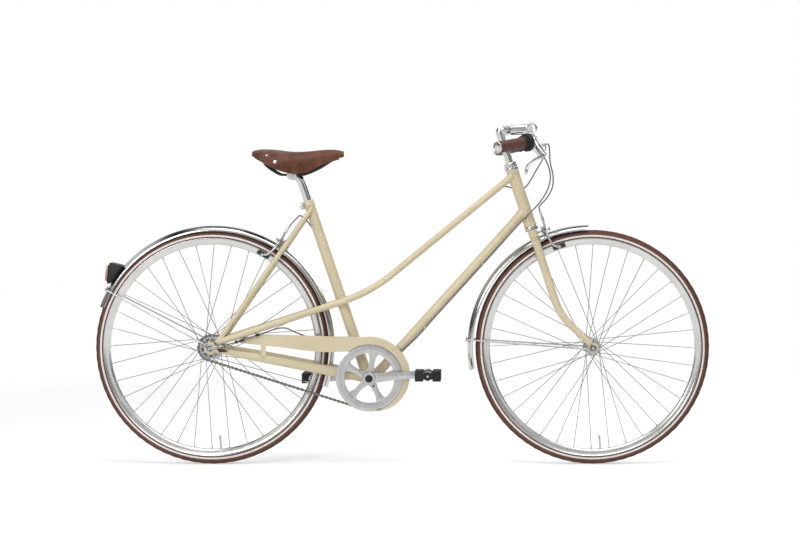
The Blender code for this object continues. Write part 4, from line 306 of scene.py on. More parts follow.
def along(values, share):
    """The value at a share of a list, or the number itself."""
    if isinstance(values, (int, float)):
        return values
    place = share * (len(values) - 1)
    index = min(int(place), len(values) - 2)
    return values[index] + (values[index + 1] - values[index]) * (place - index)


def drawn_tube(points, width, height=None, sides=20, hint=LEFT, squareness=1.0):
    """The mesh of a drawn tube or forged bar: half widths along the hint and half heights across it."""
    points = [Vector(point) for point in points]
    height = width if height is None else height
    last = len(points) - 1
    lengths = [0.0]
    for first, second in zip(points, points[1:]):
        lengths.append(lengths[-1] + (second - first).length)
    rings = []
    for index, point in enumerate(points):
        run = (points[min(index + 1, last)] - points[max(index - 1, 0)]).normalized()
        side = (hint - run * hint.dot(run)).normalized()
        normal = run.cross(side)
        share = lengths[index] / lengths[-1]
        ring = []
        for step in range(sides):
            turn = 2 * pi * (step + 0.5) / sides
            out, over = cos(turn), sin(turn)
            out = abs(out) ** squareness * (1 if out > 0 else -1)
            over = abs(over) ** squareness * (1 if over > 0 else -1)
            ring.append(point + side * along(width, share) * out + normal * along(height, share) * over)
        rings.append(ring)
    return skin(rings)


def tube(name, points, finish, width, height=None, sides=20, hint=LEFT, squareness=1.0):
    return make_piece(name, drawn_tube(points, width, height, sides, hint, squareness), finish)


def turned(profile, centre, axis=LEFT, steps=48):
    """The mesh of a lathe-turned piece: its outline is points of (radius, distance along the axis)."""
    start = axis.orthogonal().normalized() if abs(axis.y) < 0.9 else FORWARD
    start = (start - axis * start.dot(axis)).normalized()
    across = axis.cross(start)
    bm = bmesh.new()
    rows = []
    for step in range(steps):
        turn = 2 * pi * step / steps
        out = start * cos(turn) + across * sin(turn)
        rows.append([bm.verts.new(centre + out * radius + axis * reach) for radius, reach in profile])
    count = len(profile)
    for row, after in zip(rows, rows[1:] + rows[:1]):
        for index in range(count):
            other = (index + 1) % count
            bm.faces.new((row[index], row[other], after[other], after[index]))
    return bm


def turning(name, profile, centre, finish, axis=LEFT, steps=48):
    return make_piece(name, turned(profile, centre, axis, steps), finish)


def both_ends(half):
    """An outline that is alike at both ends, from its half with the negative distances."""
    return half + [(radius, -reach) for radius, reach in reversed(half)]


def rod(radius, start, end, centre, axis=LEFT, steps=48):
    """The mesh of a plain round rod between two distances along its axis."""
    return turned([(0.0001, start), (radius, start), (radius, end), (0.0001, end)], centre, axis, steps)


def cut_plate(outline, low, high, origin=Vector(), across=FORWARD, rise=UP, normal=LEFT, edge=0.0):
    """The mesh of a plate sawn to an outline, thick from low to high, with its edges eased."""
    rings = [[origin + across * x + rise * z + normal * level for x,
              z in outline] for level in (low, high)]
    bm = skin(rings)
    return ease(bm, edge) if edge else bm


def block(centre, size, across=FORWARD, side=LEFT, rise=UP, edge=0.0):
    x, y, z = (length / 2 for length in size)
    return cut_plate([(-x, -z), (x, -z), (x, z), (-x, z)], -y, y, Vector(centre), across, rise, side, edge)


def bolt_head(centre, axis, across_flats, height):
    """The mesh of a hexagon head or nut with its corners chamfered."""
    corners = 6
    radius = across_flats / 2 / cos(pi / corners)
    hint = axis.orthogonal().normalized()
    other = axis.cross(hint)
    rings = []
    for reach, grow in ((0, 1.0), (height * 0.8, 1.0), (height, 0.86)):
        ring = []
        for corner in range(corners):
            turn = 2 * pi * corner / corners
            ring.append(centre + axis * reach + (hint * cos(turn) + other * sin(turn)) * radius * grow)
        rings.append(ring)
    return skin(rings)


def weld(name, meshes, finish, crease=35):
    """Puts several meshes together as one piece."""
    whole = bmesh.new()
    for part in meshes:
        bmesh.ops.recalc_face_normals(part, faces=part.faces[:])
        spare = bpy.data.meshes.new("spare")
        part.to_mesh(spare)
        part.free()
        whole.from_mesh(spare)
        bpy.data.meshes.remove(spare)
    mesh = bpy.data.meshes.new(name)
    whole.to_mesh(mesh)
    whole.free()
    mesh.materials.append(finish)
    mesh.shade_smooth()
    mesh.set_sharp_from_angle(angle=radians(crease))
    piece = bpy.data.objects.new(name, mesh)
    bpy.context.scene.collection.objects.link(piece)
    return piece


def fit(piece, body, slot, *nodes):
    """Fixes a piece to the body that carries it, and lets it stand for its solids."""
    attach(piece, body)
    if nodes:
        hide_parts(*nodes)
    return piece


head_profile = [(0.0155, HEAD_TUBE_FOOT), (0.0186, HEAD_TUBE_FOOT), (0.0190, HEAD_TUBE_FOOT + 0.0005),
                (0.0190, HEAD_TUBE_FOOT + 0.0075), (0.0186, HEAD_TUBE_FOOT + 0.0083),
                (0.0183, HEAD_TUBE_FOOT + 0.0086), (0.0183, HEAD_TUBE_FOOT + 0.0096),
                (0.0180, HEAD_TUBE_FOOT + 0.0100), (0.0180, HEAD_TUBE_TOP - 0.0100),
                (0.0183, HEAD_TUBE_TOP - 0.0096), (0.0183, HEAD_TUBE_TOP - 0.0086),
                (0.0186, HEAD_TUBE_TOP - 0.0083), (0.0190, HEAD_TUBE_TOP - 0.0075),
                (0.0190, HEAD_TUBE_TOP - 0.0005), (0.0186, HEAD_TUBE_TOP), (0.0155, HEAD_TUBE_TOP)]
fit(turning("head_tube_enamelled", head_profile, STEER_FOOT, cream_enamel, STEER_UP, 56), "frame",
    "cream_paint", "head_tube")

down_top = steer_point(0, 0, HEAD_TUBE_FOOT + 0.0485)
down_run = (down_top - CRANK_CENTRE).normalized()
down_foot = CRANK_CENTRE + Vector((down_run.z, 0, -down_run.x)) * 0.009
down_end = down_top - (down_top - down_foot).normalized() * 0.006
down_share = [0.018, 0.0155, 0.0143] + [0.0143] * 19 + [0.0143, 0.0152, 0.0178]
down_points = [down_foot.lerp(down_end, step / 48) for step in range(49)]
fit(tube("down_tube_enamelled", down_points, cream_enamel, down_share, sides=36), "frame", "cream_paint",
    "down_tube")

seat_profile = [(0.0138, 0.38), (0.0138, SEAT_TUBE_TOP), (0.0160, SEAT_TUBE_TOP),
                (0.0163, SEAT_TUBE_TOP - 0.0006), (0.0163, SEAT_TUBE_TOP - 0.0200),
                (0.0158, SEAT_TUBE_TOP - 0.0208), (0.0156, SEAT_TUBE_TOP - 0.0212), (0.0156, 0.030),
                (0.0162, 0.024), (0.0185, 0.014), (0.0185, 0.005), (0.0100, 0.005), (0.0100, 0.38)]
ear_height = 0.018
ear_centre = seat_point(-0.0201, 0, SEAT_TUBE_TOP - ear_height / 2 - 0.002)
seat_meshes = [turned(seat_profile, SEAT_FOOT, SEAT_UP, 44)]
for side in (1, -1):
    seat_meshes.append(block(ear_centre + LEFT * side * 0.00575, (0.012, 0.0085, ear_height), SEAT_AHEAD,
                             LEFT, SEAT_UP, 0.0016))
fit(weld("seat_tube_enamelled", seat_meshes, cream_enamel), "frame", "cream_paint", "seat_tube")

shell_profile = both_ends([(0.0092, -0.038), (0.0180, -0.038), (0.0185, -0.0375), (0.0185, -0.0345),
                           (0.0196, -0.0340), (0.0205, -0.0332)])
fit(turning("bottom_bracket_shell_enamelled", shell_profile, CRANK_CENTRE, cream_enamel), "frame",
    "cream_paint", "bottom_bracket_shell")


def rounded_corner(start, corner, end, radius, steps):
    """A line with one round bend."""
    toward_start = (start - corner).normalized()
    toward_end = (end - corner).normalized()
    half_angle = acos(max(-1, min(1, toward_start.dot(toward_end)))) / 2
    reach = radius / tan(half_angle)
    centre = corner + (toward_start + toward_end).normalized() * (radius / sin(half_angle))
    first = corner + toward_start * reach - centre
    last = corner + toward_end * reach - centre
    axis = first.cross(last).normalized()
    swing = first.angle(last)
    arc = [centre + Matrix.Rotation(swing * step / steps, 3, axis) @ first for step in range(steps + 1)]
    return [start] + arc + [end]


def point_at_x(route, x):
    for first, second in zip(route, route[1:]):
        if first.x >= x >= second.x:
            return first.lerp(second, (first.x - x) / (first.x - second.x))
    return route[-1].copy()


lateral_front = steer_point(-0.004, 0, HEAD_TUBE_TOP - 0.0125)
lateral_back = REAR_AXLE + Vector((0.010, 0, 0.0135))
lateral_bend = CRANK_CENTRE + UP * 0.2488
lateral_flat = rounded_corner(lateral_front, lateral_bend, lateral_back, 0.44, 12)
seat_x = seat_point(0, 0, 0.2488).x
spread_stops = [(lateral_front.x, 0.0105), (seat_x + 0.012, 0.0250), (seat_x - 0.012, 0.0262),
                (seat_x - 0.045, 0.0338), (REAR_AXLE.x + 0.098, DROPOUT_SPREAD),
                (REAR_AXLE.x, DROPOUT_SPREAD)]


def lateral_spread(x):
    """How far out a lateral tube lies, from the head tube's middle past the seat tube to the dropout."""
    for (x0, y0), (x1, y1) in zip(spread_stops, spread_stops[1:]):
        if x >= x1:
            return y0 + (y1 - y0) * (x0 - x) / (x0 - x1)
    return DROPOUT_SPREAD


def lateral_route(side):
    points = []
    for step in range(97):
        x = lateral_front.x + (lateral_back.x - lateral_front.x) * step / 96
        here = point_at_x(lateral_flat, x)
        spread = sum(lateral_spread(x + shift) for shift in (-0.012, -0.006, 0, 0.006, 0.012)) / 5
        points.append(Vector((here.x, side * spread, here.z)))
    return points


LATERAL_RADIUS = 0.0098
lateral_radii = [0.0122, 0.0104, LATERAL_RADIUS] + [LATERAL_RADIUS] * 44 + [0.0092, 0.0070]
for name, side in SIDES:
    fit(tube("lateral_tube_%s_enamelled" % name, lateral_route(side)[:-1], cream_enamel, lateral_radii,
             sides=24), "frame", "cream_paint", "lateral_tube_" + name)

# Seat stays and the rear brake's bridge: thin round stays brazed beside the seat tube and over the dropouts.
# The bridge between them carries the brake's centre bolt and the mudguard's spacer.
BRAKE_PAD_RADIUS = 0.3107


def seat_stay_ends(side):
    """The top of a seat stay beside the seat tube, and its foot over the dropout."""
    top = seat_point(0, 0, SEAT_TUBE_TOP - 0.0285)
    top.y = side * 0.0232
    return top, REAR_AXLE + Vector((0.0215, side * DROPOUT_SPREAD, 0.0172))


for name, side in SIDES:
    stay_top, stay_foot = seat_stay_ends(side)
    stay_run = (stay_top - stay_foot).normalized()
    stay_end = stay_top + stay_run * 0.006
    stay_points = [stay_foot.lerp(stay_end, step / 40) for step in range(41)]
    stay_points += [stay_end + stay_run * reach for reach in (0.0015, 0.0030, 0.0042)]
    stay_radii = [0.0092, 0.0076, 0.0073] + [0.0073] * 36 + [0.0073, 0.0070, 0.0056, 0.0025]
    fit(tube("seat_stay_%s_enamelled" % name, stay_points, cream_enamel, stay_radii, sides=20), "frame",
        "cream_paint", "seat_stay_" + name)

left_top, left_foot = seat_stay_ends(1)
rear_brake_up = Vector((left_top.x - left_foot.x, 0, left_top.z - left_foot.z)).normalized()
rear_brake_out = Vector((-rear_brake_up.z, 0, rear_brake_up.x))
rear_brake_middle = Vector((left_foot.x, 0, left_foot.z)) + rear_brake_up * (
    sqrt(BRAKE_PAD_RADIUS ** 2 - 0.031 ** 2) + 0.0598 + (REAR_AXLE - left_foot).dot(rear_brake_up))
zinc_steel = new_finish("zinc_steel", 0.34, metallic=1.0)
tint(zinc_steel, 0.012, [(0.3, (0.40, 0.40, 0.41)), (0.7, (0.56, 0.56, 0.57))])
gloss(zinc_steel, 0.004, 0.26, 0.44)
relief(zinc_steel, grain(zinc_steel, 0.0015), 0.00003)
bridge_span = [rear_brake_middle + LEFT * (reach / 20 * 0.037) for reach in range(-20, 21)]
bridge_radii = [0.0082, 0.0062, 0.0058] + [0.0058] * 15 + [0.0058, 0.0062, 0.0082]
toward_wheel = (REAR_AXLE - rear_brake_middle).normalized()
bridge_meshes = [drawn_tube(bridge_span, bridge_radii, sides=20),
                 rod(0.0048, 0, 0.0142, rear_brake_middle, toward_wheel, 20)]
fit(weld("brake_bridge_enamelled", bridge_meshes, cream_enamel), "frame", "cream_paint", "brake_bridge")
bolt_meshes = [rod(0.003, -0.010, 0.0355, rear_brake_middle, rear_brake_out, 16),
               bolt_head(rear_brake_middle + rear_brake_out * 0.0295, rear_brake_out, 0.0096, 0.004),
               bolt_head(rear_brake_middle - rear_brake_out * 0.0062, -rear_brake_out, 0.0096, 0.004)]
fit(weld("rear_brake_bolt", bolt_meshes, zinc_steel), "frame", "steel")

# Chain stays and dropouts: flattened oval stays from the bottom bracket to a round plate at each axle end.
# The right plate's three-cornered window is a thin dark brown plate of painted shadow, and a short tube
# between the stays holds the mudguard's front.


REAR_GUARD_RADIUS = 0.3565


def chain_stay_line(side):
    start = REAR_AXLE + Vector((0.0145, side * DROPOUT_SPREAD, -0.0040))
    end = CRANK_CENTRE + Vector((0, side * 0.0205, -0.003))
    return start, end


for name, side in SIDES:
    start, end = chain_stay_line(side)
    stay_points = [start.lerp(end, step / 60 * 0.975) for step in range(61)]
    stay_heights = [0.0080, 0.0092, 0.0117, 0.0124, 0.0132, 0.0140, 0.0150, 0.0150, 0.0150]
    stay_widths = [0.0062, 0.0080] + [0.0082] * 7
    meshes = [drawn_tube(stay_points, stay_widths, stay_heights, 28)]
    centre = REAR_AXLE + LEFT * side * DROPOUT_SPREAD
    meshes.append(turned(both_ends([(0.0051, -0.0025), (0.0176, -0.0025), (0.0183, -0.0018)]), centre,
                         LEFT, 48))
    meshes.append(turned([(0.0051, 0.0025), (0.0150, 0.0025), (0.0150, 0.0029), (0.0051, 0.0029)], centre,
                         LEFT * side, 40))
    if side == 1:
        other_start, other_end = chain_stay_line(-1)
        left_near, left_far = end.lerp(start, 0.22), other_end.lerp(other_start, 0.22)
        meshes.append(drawn_tube([left_near, left_far.lerp(left_near, 0.18)], 0.0065, sides=20))
        middle = (left_near + left_far) / 2
        toward_rear = (REAR_AXLE - middle).normalized()
        gap_to_guard = (middle - (REAR_AXLE + Vector((0.0035, 0, 0.0015)))).length - REAR_GUARD_RADIUS
        meshes.append(drawn_tube([middle, middle + toward_rear * gap_to_guard], 0.0050, sides=16))
    fit(weld("chain_stay_%s_enamelled" % name, meshes, cream_enamel), "frame", "cream_paint",
        "chain_stay_" + name)

# Painted shadow: a thin dark brown plate stands where the dropout's window would show the shade behind it.
shadow_brown = new_finish("window_shadow", 0.6)
tint(shadow_brown, 0.004, [(0.3, (0.020, 0.012, 0.008)), (0.7, (0.045, 0.030, 0.020))])
window = [(0.0205, 0.0016), (0.0285, -0.0110), (0.0540, -0.0085), (0.0460, -0.0022)]
fit(make_piece("dropout_window_painted_shadow", cut_plate(window, -0.0718, -0.0712, Vector((REAR_AXLE.x, 0, REAR_AXLE.z)),
                                           edge=0.0001), shadow_brown), "frame", "cream_paint")

# Headset: chrome-plated steel cups pressed into the head tube, with a knurled locknut above them.
# The rings turn with polished shoulders, so each shows as a thin bright line between darker steps.
chrome = new_finish("chrome", 0.09, metallic=1.0)
tint(chrome, 0.03, [(0.3, (0.60, 0.605, 0.59)), (0.7, (0.68, 0.685, 0.67))])
gloss(chrome, 0.008, 0.06, 0.16)
relief(chrome, grain(chrome, 0.05), 0.00004)
cup = HEAD_TUBE_TOP + 0.0003
upper_profile = [(0.0130, cup), (0.0188, cup), (0.0196, cup + 0.0010), (0.0198, cup + 0.0030),
                 (0.0190, cup + 0.0036), (0.0190, cup + 0.0044), (0.0203, cup + 0.0052),
                 (0.0205, cup + 0.0060), (0.0205, cup + 0.0100), (0.0198, cup + 0.0115),
                 (0.0130, cup + 0.0115)]
fit(turning("headset_cup_upper_plated", upper_profile, STEER_FOOT, chrome, STEER_UP, 56), "frame",
    "chrome", "headset_cup_upper")
cup = HEAD_TUBE_FOOT - 0.0003
lower_profile = [(0.0130, cup - 0.0112), (0.0196, cup - 0.0112), (0.0205, cup - 0.0100),
                 (0.0205, cup - 0.0062), (0.0203, cup - 0.0054), (0.0190, cup - 0.0046),
                 (0.0190, cup - 0.0038), (0.0198, cup - 0.0030), (0.0196, cup - 0.0010), (0.0188, cup),
                 (0.0130, cup)]
fit(turning("headset_cup_lower_plated", lower_profile, STEER_FOOT, chrome, STEER_UP, 56), "frame",
    "chrome", "headset_cup_lower")
nut = HEAD_TUBE_TOP + 0.0121
nut_profile = [(0.0130, nut), (0.0200, nut), (0.0205, nut + 0.0006), (0.0205, nut + 0.0044),
               (0.0196, nut + 0.0052), (0.0178, nut + 0.0058), (0.0178, nut + 0.0068),
               (0.0186, nut + 0.0072), (0.0188, nut + 0.0120), (0.0172, nut + 0.0140),
               (0.0135, nut + 0.0145), (0.0120, nut + 0.0145)]
nut_bm = turned(nut_profile, STEER_FOOT, STEER_UP, 64)
for vert in nut_bm.verts:
    reach = (vert.co - STEER_FOOT).dot(STEER_UP)
    foot = STEER_FOOT + STEER_UP * reach
    if abs((vert.co - foot).length - 0.0205) < 0.0002 and vert.index % 2 == 0:
        vert.co = foot + (vert.co - foot) * 0.985
fit(make_piece("headset_locknut_plated", nut_bm, chrome, 28), "fork", "chrome", "headset_locknut")

# Fork: two round steel blades brazed into a capped crown and bent forward to the axle, all in cream enamel.
# Fine collar lines run round the crown's sockets, and the flat fork ends stand outside the hub.
CROWN_FOOT = 0.3608
CROWN_TOP = 0.3836
CROWN_HALF = 0.0145
BLADE_SPREAD = 0.0375
FORK_END_SPREAD = 0.0527


def crown_outline(grow):
    outline = []
    for step in range(15):
        turn = -pi / 2 + pi * step / 14
        outline.append((BLADE_SPREAD + (CROWN_HALF + grow) * cos(turn), (CROWN_HALF + grow) * sin(turn)))
    for step in range(1, 8):
        share = step / 8
        outline.append((BLADE_SPREAD - 2 * BLADE_SPREAD * share,
                        (CROWN_HALF + grow) * (1 - 0.10 * sin(pi * share))))
    for step in range(15):
        turn = pi / 2 + pi * step / 14
        outline.append((-BLADE_SPREAD + (CROWN_HALF + grow) * cos(turn), (CROWN_HALF + grow) * sin(turn)))
    for step in range(1, 8):
        share = step / 8
        outline.append((-BLADE_SPREAD + 2 * BLADE_SPREAD * share,
                        -(CROWN_HALF + grow) * (1 - 0.10 * sin(pi * share))))
    return outline


crown_meshes = []
for low, high, grow in ((CROWN_FOOT, CROWN_FOOT + 0.0030, -0.0003),
                        (CROWN_FOOT + 0.0030, CROWN_TOP - 0.0060, -0.0008),
                        (CROWN_TOP - 0.0060, CROWN_TOP - 0.0004, -0.0014)):
    crown_meshes.append(cut_plate(crown_outline(grow), low, high, STEER_FOOT, LEFT, STEER_AHEAD, STEER_UP,
                                  0.0007))
crown_meshes.append(turned([(0.0001, CROWN_TOP - 0.002), (0.0185, CROWN_TOP - 0.002),
                            (0.0180, CROWN_TOP + 0.0003), (0.0127, CROWN_TOP + 0.0005), (0.0127, 0.59),
                            (0.0115, 0.59), (0.0115, CROWN_TOP)], STEER_FOOT, STEER_UP, 40))
crown_meshes.append(rod(0.0055, CROWN_FOOT + 0.001, CROWN_FOOT - 0.0012, STEER_FOOT, STEER_UP, 20))
fit(weld("fork_crown_enamelled", crown_meshes, cream_enamel), "fork", "cream_paint", "fork_steerer")

for name, side in SIDES:
    foot = FRONT_AXLE + LEFT * side * FORK_END_SPREAD
    route = [steer_point(0, side * BLADE_SPREAD, CROWN_FOOT - 0.0003),
             steer_point(0, side * BLADE_SPREAD, CROWN_FOOT - 0.015),
             steer_point(0, side * 0.0405, CROWN_FOOT - 0.10), steer_point(0, side * 0.0460, 0.152)]
    for share, up in ((0.20, 0.10), (0.45, 0.068), (0.72, 0.040), (0.90, 0.0205)):
        route.append(steer_point(FORK_OFFSET * share, side * (FORK_END_SPREAD - 0.006 * (1 - share)), up))
    route.append(foot.lerp(route[-1], 0.62))
    curve = smooth_path(route, 8)
    thick = [0.0122, 0.0118, 0.0118, 0.0118, 0.0118, 0.0116, 0.0108, 0.0098, 0.0090, 0.0088]
    meshes = [drawn_tube(curve, [value * 0.93 for value in thick], thick, 28)]
    collar = steer_point(0, side * 0.0378, CROWN_FOOT - 0.0060)
    meshes.append(turned([(0.0116, 0), (0.0124, 0.0004), (0.0124, 0.0054), (0.0116, 0.0058)], collar,
                         STEER_UP, 32))
    plate = both_ends([(0.0051, -0.0025), (0.0149, -0.0025), (0.0155, -0.0019)])
    meshes.append(turned(plate, foot, LEFT, 40))
    fit(weld("fork_blade_%s_enamelled" % name, meshes, cream_enamel), "fork", "cream_paint",
        "fork_blade_" + name)

front_brake_out = STEER_AHEAD
front_brake_up = STEER_UP
front_brake_middle = steer_point(0.018, 0, BRAKE_PAD_RADIUS + 0.0601)
bolt_meshes = [rod(0.003, -0.006, 0.0355, front_brake_middle, front_brake_out, 16),
               bolt_head(front_brake_middle + front_brake_out * 0.0295, front_brake_out, 0.0096, 0.004)]
fit(weld("front_brake_bolt", bolt_meshes, zinc_steel), "fork", "steel")

# Wheels: polished alloy rims laced to bright hubs with 36 stainless spokes, each crossing three others.
# The tyres are brown rubber with a pale reflective line on each wall and a tread moulded in bars.
satin_alloy = new_finish("satin_alloy", 0.30, metallic=1.0)
tint(satin_alloy, 0.02, [(0.3, (0.52, 0.52, 0.515)), (0.7, (0.60, 0.60, 0.595))])
gloss(satin_alloy, 0.010, 0.26, 0.36)
relief(satin_alloy, grain(satin_alloy, 0.006), 0.00002)
rim_alloy = new_finish("polished_rim", 0.20, metallic=1.0)
tint(rim_alloy, 0.05, [(0.3, (0.64, 0.64, 0.625)), (0.7, (0.74, 0.74, 0.725))])
gloss(rim_alloy, 0.020, 0.20, 0.30)
brown_rubber = new_finish("brown_rubber", 0.62, specular=0.35)
tint(brown_rubber, 0.014, [(0.3, (0.118, 0.046, 0.032)), (0.55, (0.148, 0.060, 0.043)),
                           (0.8, (0.185, 0.082, 0.060))])
gloss(brown_rubber, 0.003, 0.52, 0.72)
relief(brown_rubber, grain(brown_rubber, 0.0011), 0.00012)
tread_rubber = new_finish("tread_rubber", 0.74, specular=0.3)
tint(tread_rubber, 0.006, [(0.3, (0.075, 0.032, 0.024)), (0.7, (0.125, 0.060, 0.046))])
relief(tread_rubber, grain(tread_rubber, 0.0010), 0.00020)
pale_stripe = new_finish("reflective_stripe", 0.45)
tint(pale_stripe, 0.010, [(0.3, (0.76, 0.745, 0.71)), (0.7, (0.88, 0.87, 0.84))])
relief(pale_stripe, grain(pale_stripe, 0.0008), 0.00003)

RIM_FLOOR = 0.302
TREAD_BAR = 0.0007


def tyre_profile(knob):
    """Half-walls of the tyre as (radius, out) with the finish of each step; knob raises the tread's bars."""
    wall = [(0.3101, 0.0102, 0), (0.3173, 0.0104, 0), (0.3186, 0.0131, 0), (0.3205, 0.0147, 0),
            (0.3228, 0.0157, 0), (0.3249, 0.01645, 0), (0.3252, 0.0170, 1), (0.3278, 0.0172, 1),
            (0.3303, 0.0170, 1), (0.3306, 0.0166, 0), (0.3350, 0.0156, 0), (0.3374, 0.0145, 2)]
    crown = [(0.3397 - knob, 0.0130, 2), (0.3416 - knob, 0.0108, 2), (0.3432 - knob, 0.0082, 2),
             (0.3443 - knob, 0.0054, 2), (0.3441 - knob, 0.0030, 2), (0.3450 - knob, 0.0022, 2)]
    return wall + crown


def lay_tyre(name, axle, body, node):
    bm = bmesh.new()
    rows = []
    steps = 288
    for step in range(steps):
        turn = 2 * pi * step / steps
        out = Vector((cos(turn), 0, sin(turn)))
        half = tyre_profile(TREAD_BAR if step % 4 < 2 else 0.0)
        other = tyre_profile(TREAD_BAR if (step + 2) % 4 < 2 else 0.0)
        ring = [(radius, reach, kind) for radius, reach, kind in half]
        ring += [(radius, -reach, kind) for radius, reach, kind in reversed(other)]
        rows.append(([bm.verts.new(axle + out * radius + LEFT * reach) for radius, reach, _ in ring],
                     ring))
    count = len(rows[0][0])
    for (row, ring), (after, _) in zip(rows, rows[1:] + rows[:1]):
        for index in range(count):
            other = (index + 1) % count
            face = bm.faces.new((row[index], row[other], after[other], after[index]))
            kind = ring[index][2] if index < count / 2 else ring[other][2]
            face.material_index = kind
    fit(make_piece(name, bm, [brown_rubber, pale_stripe, tread_rubber], 30), body, "brown_rubber", node)


def roll_rim(name, axle, body, node):
    rim = [(RIM_FLOOR, 0.0060), (0.3024, 0.0088), (0.3040, 0.0104), (0.3056, 0.0112), (0.3062, 0.0117),
           (0.3066, 0.0118), (0.3070, 0.0121), (0.3146, 0.0125), (0.3152, 0.0128), (0.3166, 0.0130),
           (0.3180, 0.0138), (0.3193, 0.0150), (0.3206, 0.0164), (0.3211, 0.0163), (0.3208, 0.0154),
           (0.3166, 0.0108), (0.3098, 0.0106)]
    outline = rim + [(radius, -reach) for radius, reach in reversed(rim)]
    meshes = [turned(outline, axle, LEFT, 240)]
    fit(weld(name, meshes, rim_alloy, 28), body, "aluminium", node)


plated_nipple = new_finish("plated_nipple", 0.24, metallic=1.0)
tint(plated_nipple, 0.002, [(0.3, (0.62, 0.60, 0.55)), (0.7, (0.76, 0.74, 0.70))])
gloss(plated_nipple, 0.001, 0.18, 0.34)
spoke_steel = new_finish("spoke_wire", 0.16, metallic=1.0)
tint(spoke_steel, 0.01, [(0.3, (0.24, 0.24, 0.235)), (0.7, (0.34, 0.34, 0.33))])
gloss(spoke_steel, 0.02, 0.30, 0.42)


WHEEL_TURN = radians(4.5)
SPOKES = 36


def lace_spokes(name, axle, body, flange_radius, flange_place):
    """36 spokes from elbows in the flanges to nipples in the rim."""
    wires, nipples = [], []
    for index in range(SPOKES):
        side = 1 if index % 2 else -1
        trailing = 1 if (index // 2) % 2 else -1
        rim_turn = 2 * pi * (index + 0.5) / SPOKES + pi / 2 + WHEEL_TURN
        hub_turn = rim_turn + trailing * 2 * pi * 3 / (SPOKES / 2)
        hub_way = Vector((cos(hub_turn), 0, sin(hub_turn)))
        rim_way = Vector((cos(rim_turn), 0, sin(rim_turn)))
        start = axle + hub_way * (flange_radius - 0.004) + LEFT * side * (flange_place + trailing * 0.0024)
        end = axle + rim_way * RIM_FLOOR + LEFT * side * 0.0030
        run = (end - start).normalized()
        hole = start - LEFT * side * trailing * 0.0040
        elbow = [hole, start - LEFT * side * trailing * 0.0010, start + run * 0.0022]
        wires.append(drawn_tube(elbow + [end], 0.0010, sides=8, hint=UP * 0.3 + LEFT))
        wires.append(turned([(0.0001, 0), (0.0019, 0.0002), (0.0017, 0.0009), (0.0001, 0.0012)], hole,
                            -LEFT * side * trailing, 10))
        nipples.append(drawn_tube([end - run * 0.0105, end - run * 0.0095, end - run * 0.003,
                                   end + run * 0.001], [0.0013, 0.0019, 0.0019, 0.0022], sides=8,
                                  hint=LEFT))
    fit(weld(name + "_spokes", wires, spoke_steel), body, "steel")
    fit(weld(name + "_nipples", nipples, plated_nipple), body, "steel")


black_rubber = new_finish("black_rubber", 0.6)
tint(black_rubber, 0.004, [(0.3, (0.016, 0.016, 0.017)), (0.7, (0.034, 0.034, 0.035))])
relief(black_rubber, grain(black_rubber, 0.0012), 0.00008)


def fit_valve(name, axle, body):
    inward = Vector((-sin(WHEEL_TURN), 0, cos(WHEEL_TURN)))
    foot = axle - inward * 0.3035
    stem = [(0.0001, 0), (0.0040, 0), (0.0040, 0.0016), (0.0026, 0.0022), (0.0026, 0.0300),
            (0.0034, 0.0304), (0.0034, 0.0400), (0.0022, 0.0416), (0.0001, 0.0418)]
    fit(turning(name, stem, foot, satin_alloy, inward, 20), body, "aluminium")


lay_tyre("front_tyre_moulded", FRONT_AXLE, "front_wheel", "front_tyre")
lay_tyre("rear_tyre_moulded", REAR_AXLE, "rear_wheel", "rear_tyre")
roll_rim("front_rim_polished", FRONT_AXLE, "front_wheel", "front_rim")
roll_rim("rear_rim_polished", REAR_AXLE, "rear_wheel", "rear_rim")
lace_spokes("front", FRONT_AXLE, "front_wheel", 0.024, 0.034)
lace_spokes("rear", REAR_AXLE, "rear_wheel", 0.034, 0.029)
fit_valve("front_valve", FRONT_AXLE, "front_wheel")
fit_valve("rear_valve", REAR_AXLE, "rear_wheel")


def flange(place, radius, barrel):
    return [(barrel, place - 0.0040), (barrel + 0.0010, place - 0.0018), (radius - 0.001, place - 0.0016),
            (radius, place - 0.0008), (radius, place + 0.0008), (radius - 0.001, place + 0.0016),
            (barrel + 0.0010, place + 0.0018), (barrel, place + 0.0040)]


front_hub = [(0.0054, -0.049), (0.0088, -0.049), (0.0095, -0.0484), (0.0098, -0.0440), (0.0120, -0.0405)]
front_hub += flange(-0.034, 0.024, 0.0140) + [(0.0125, -0.020), (0.0120, 0.0), (0.0125, 0.020)]
front_hub += flange(0.034, 0.024, 0.0140)
front_hub += [(0.0120, 0.0405), (0.0098, 0.0440), (0.0095, 0.0484), (0.0088, 0.049), (0.0054, 0.049)]
fit(turning("front_hub_polished", front_hub, FRONT_AXLE, satin_alloy, LEFT, 64), "front_wheel",
    "aluminium", "front_hub")
rear_hub = [(0.0054, -0.034), (0.0212, -0.034), (0.0220, -0.0334)]
rear_hub += flange(-0.029, 0.034, 0.0285) + [(0.0288, -0.018), (0.0290, 0.0), (0.0288, 0.018)]
rear_hub += flange(0.029, 0.034, 0.0285)
rear_hub += [(0.0240, 0.0345), (0.0205, 0.0375), (0.0175, 0.0480), (0.0162, 0.0530), (0.0120, 0.0585),
             (0.0105, 0.0595), (0.0054, 0.0595)]
fit(turning("rear_hub_polished", rear_hub, REAR_AXLE, satin_alloy, LEFT, 64), "rear_wheel", "aluminium",
    "rear_hub")


dark_zinc = new_finish("dark_zinc", 0.32, metallic=1.0)
tint(dark_zinc, 0.006, [(0.3, (0.085, 0.085, 0.085)), (0.7, (0.155, 0.155, 0.150))])
gloss(dark_zinc, 0.004, 0.26, 0.42)


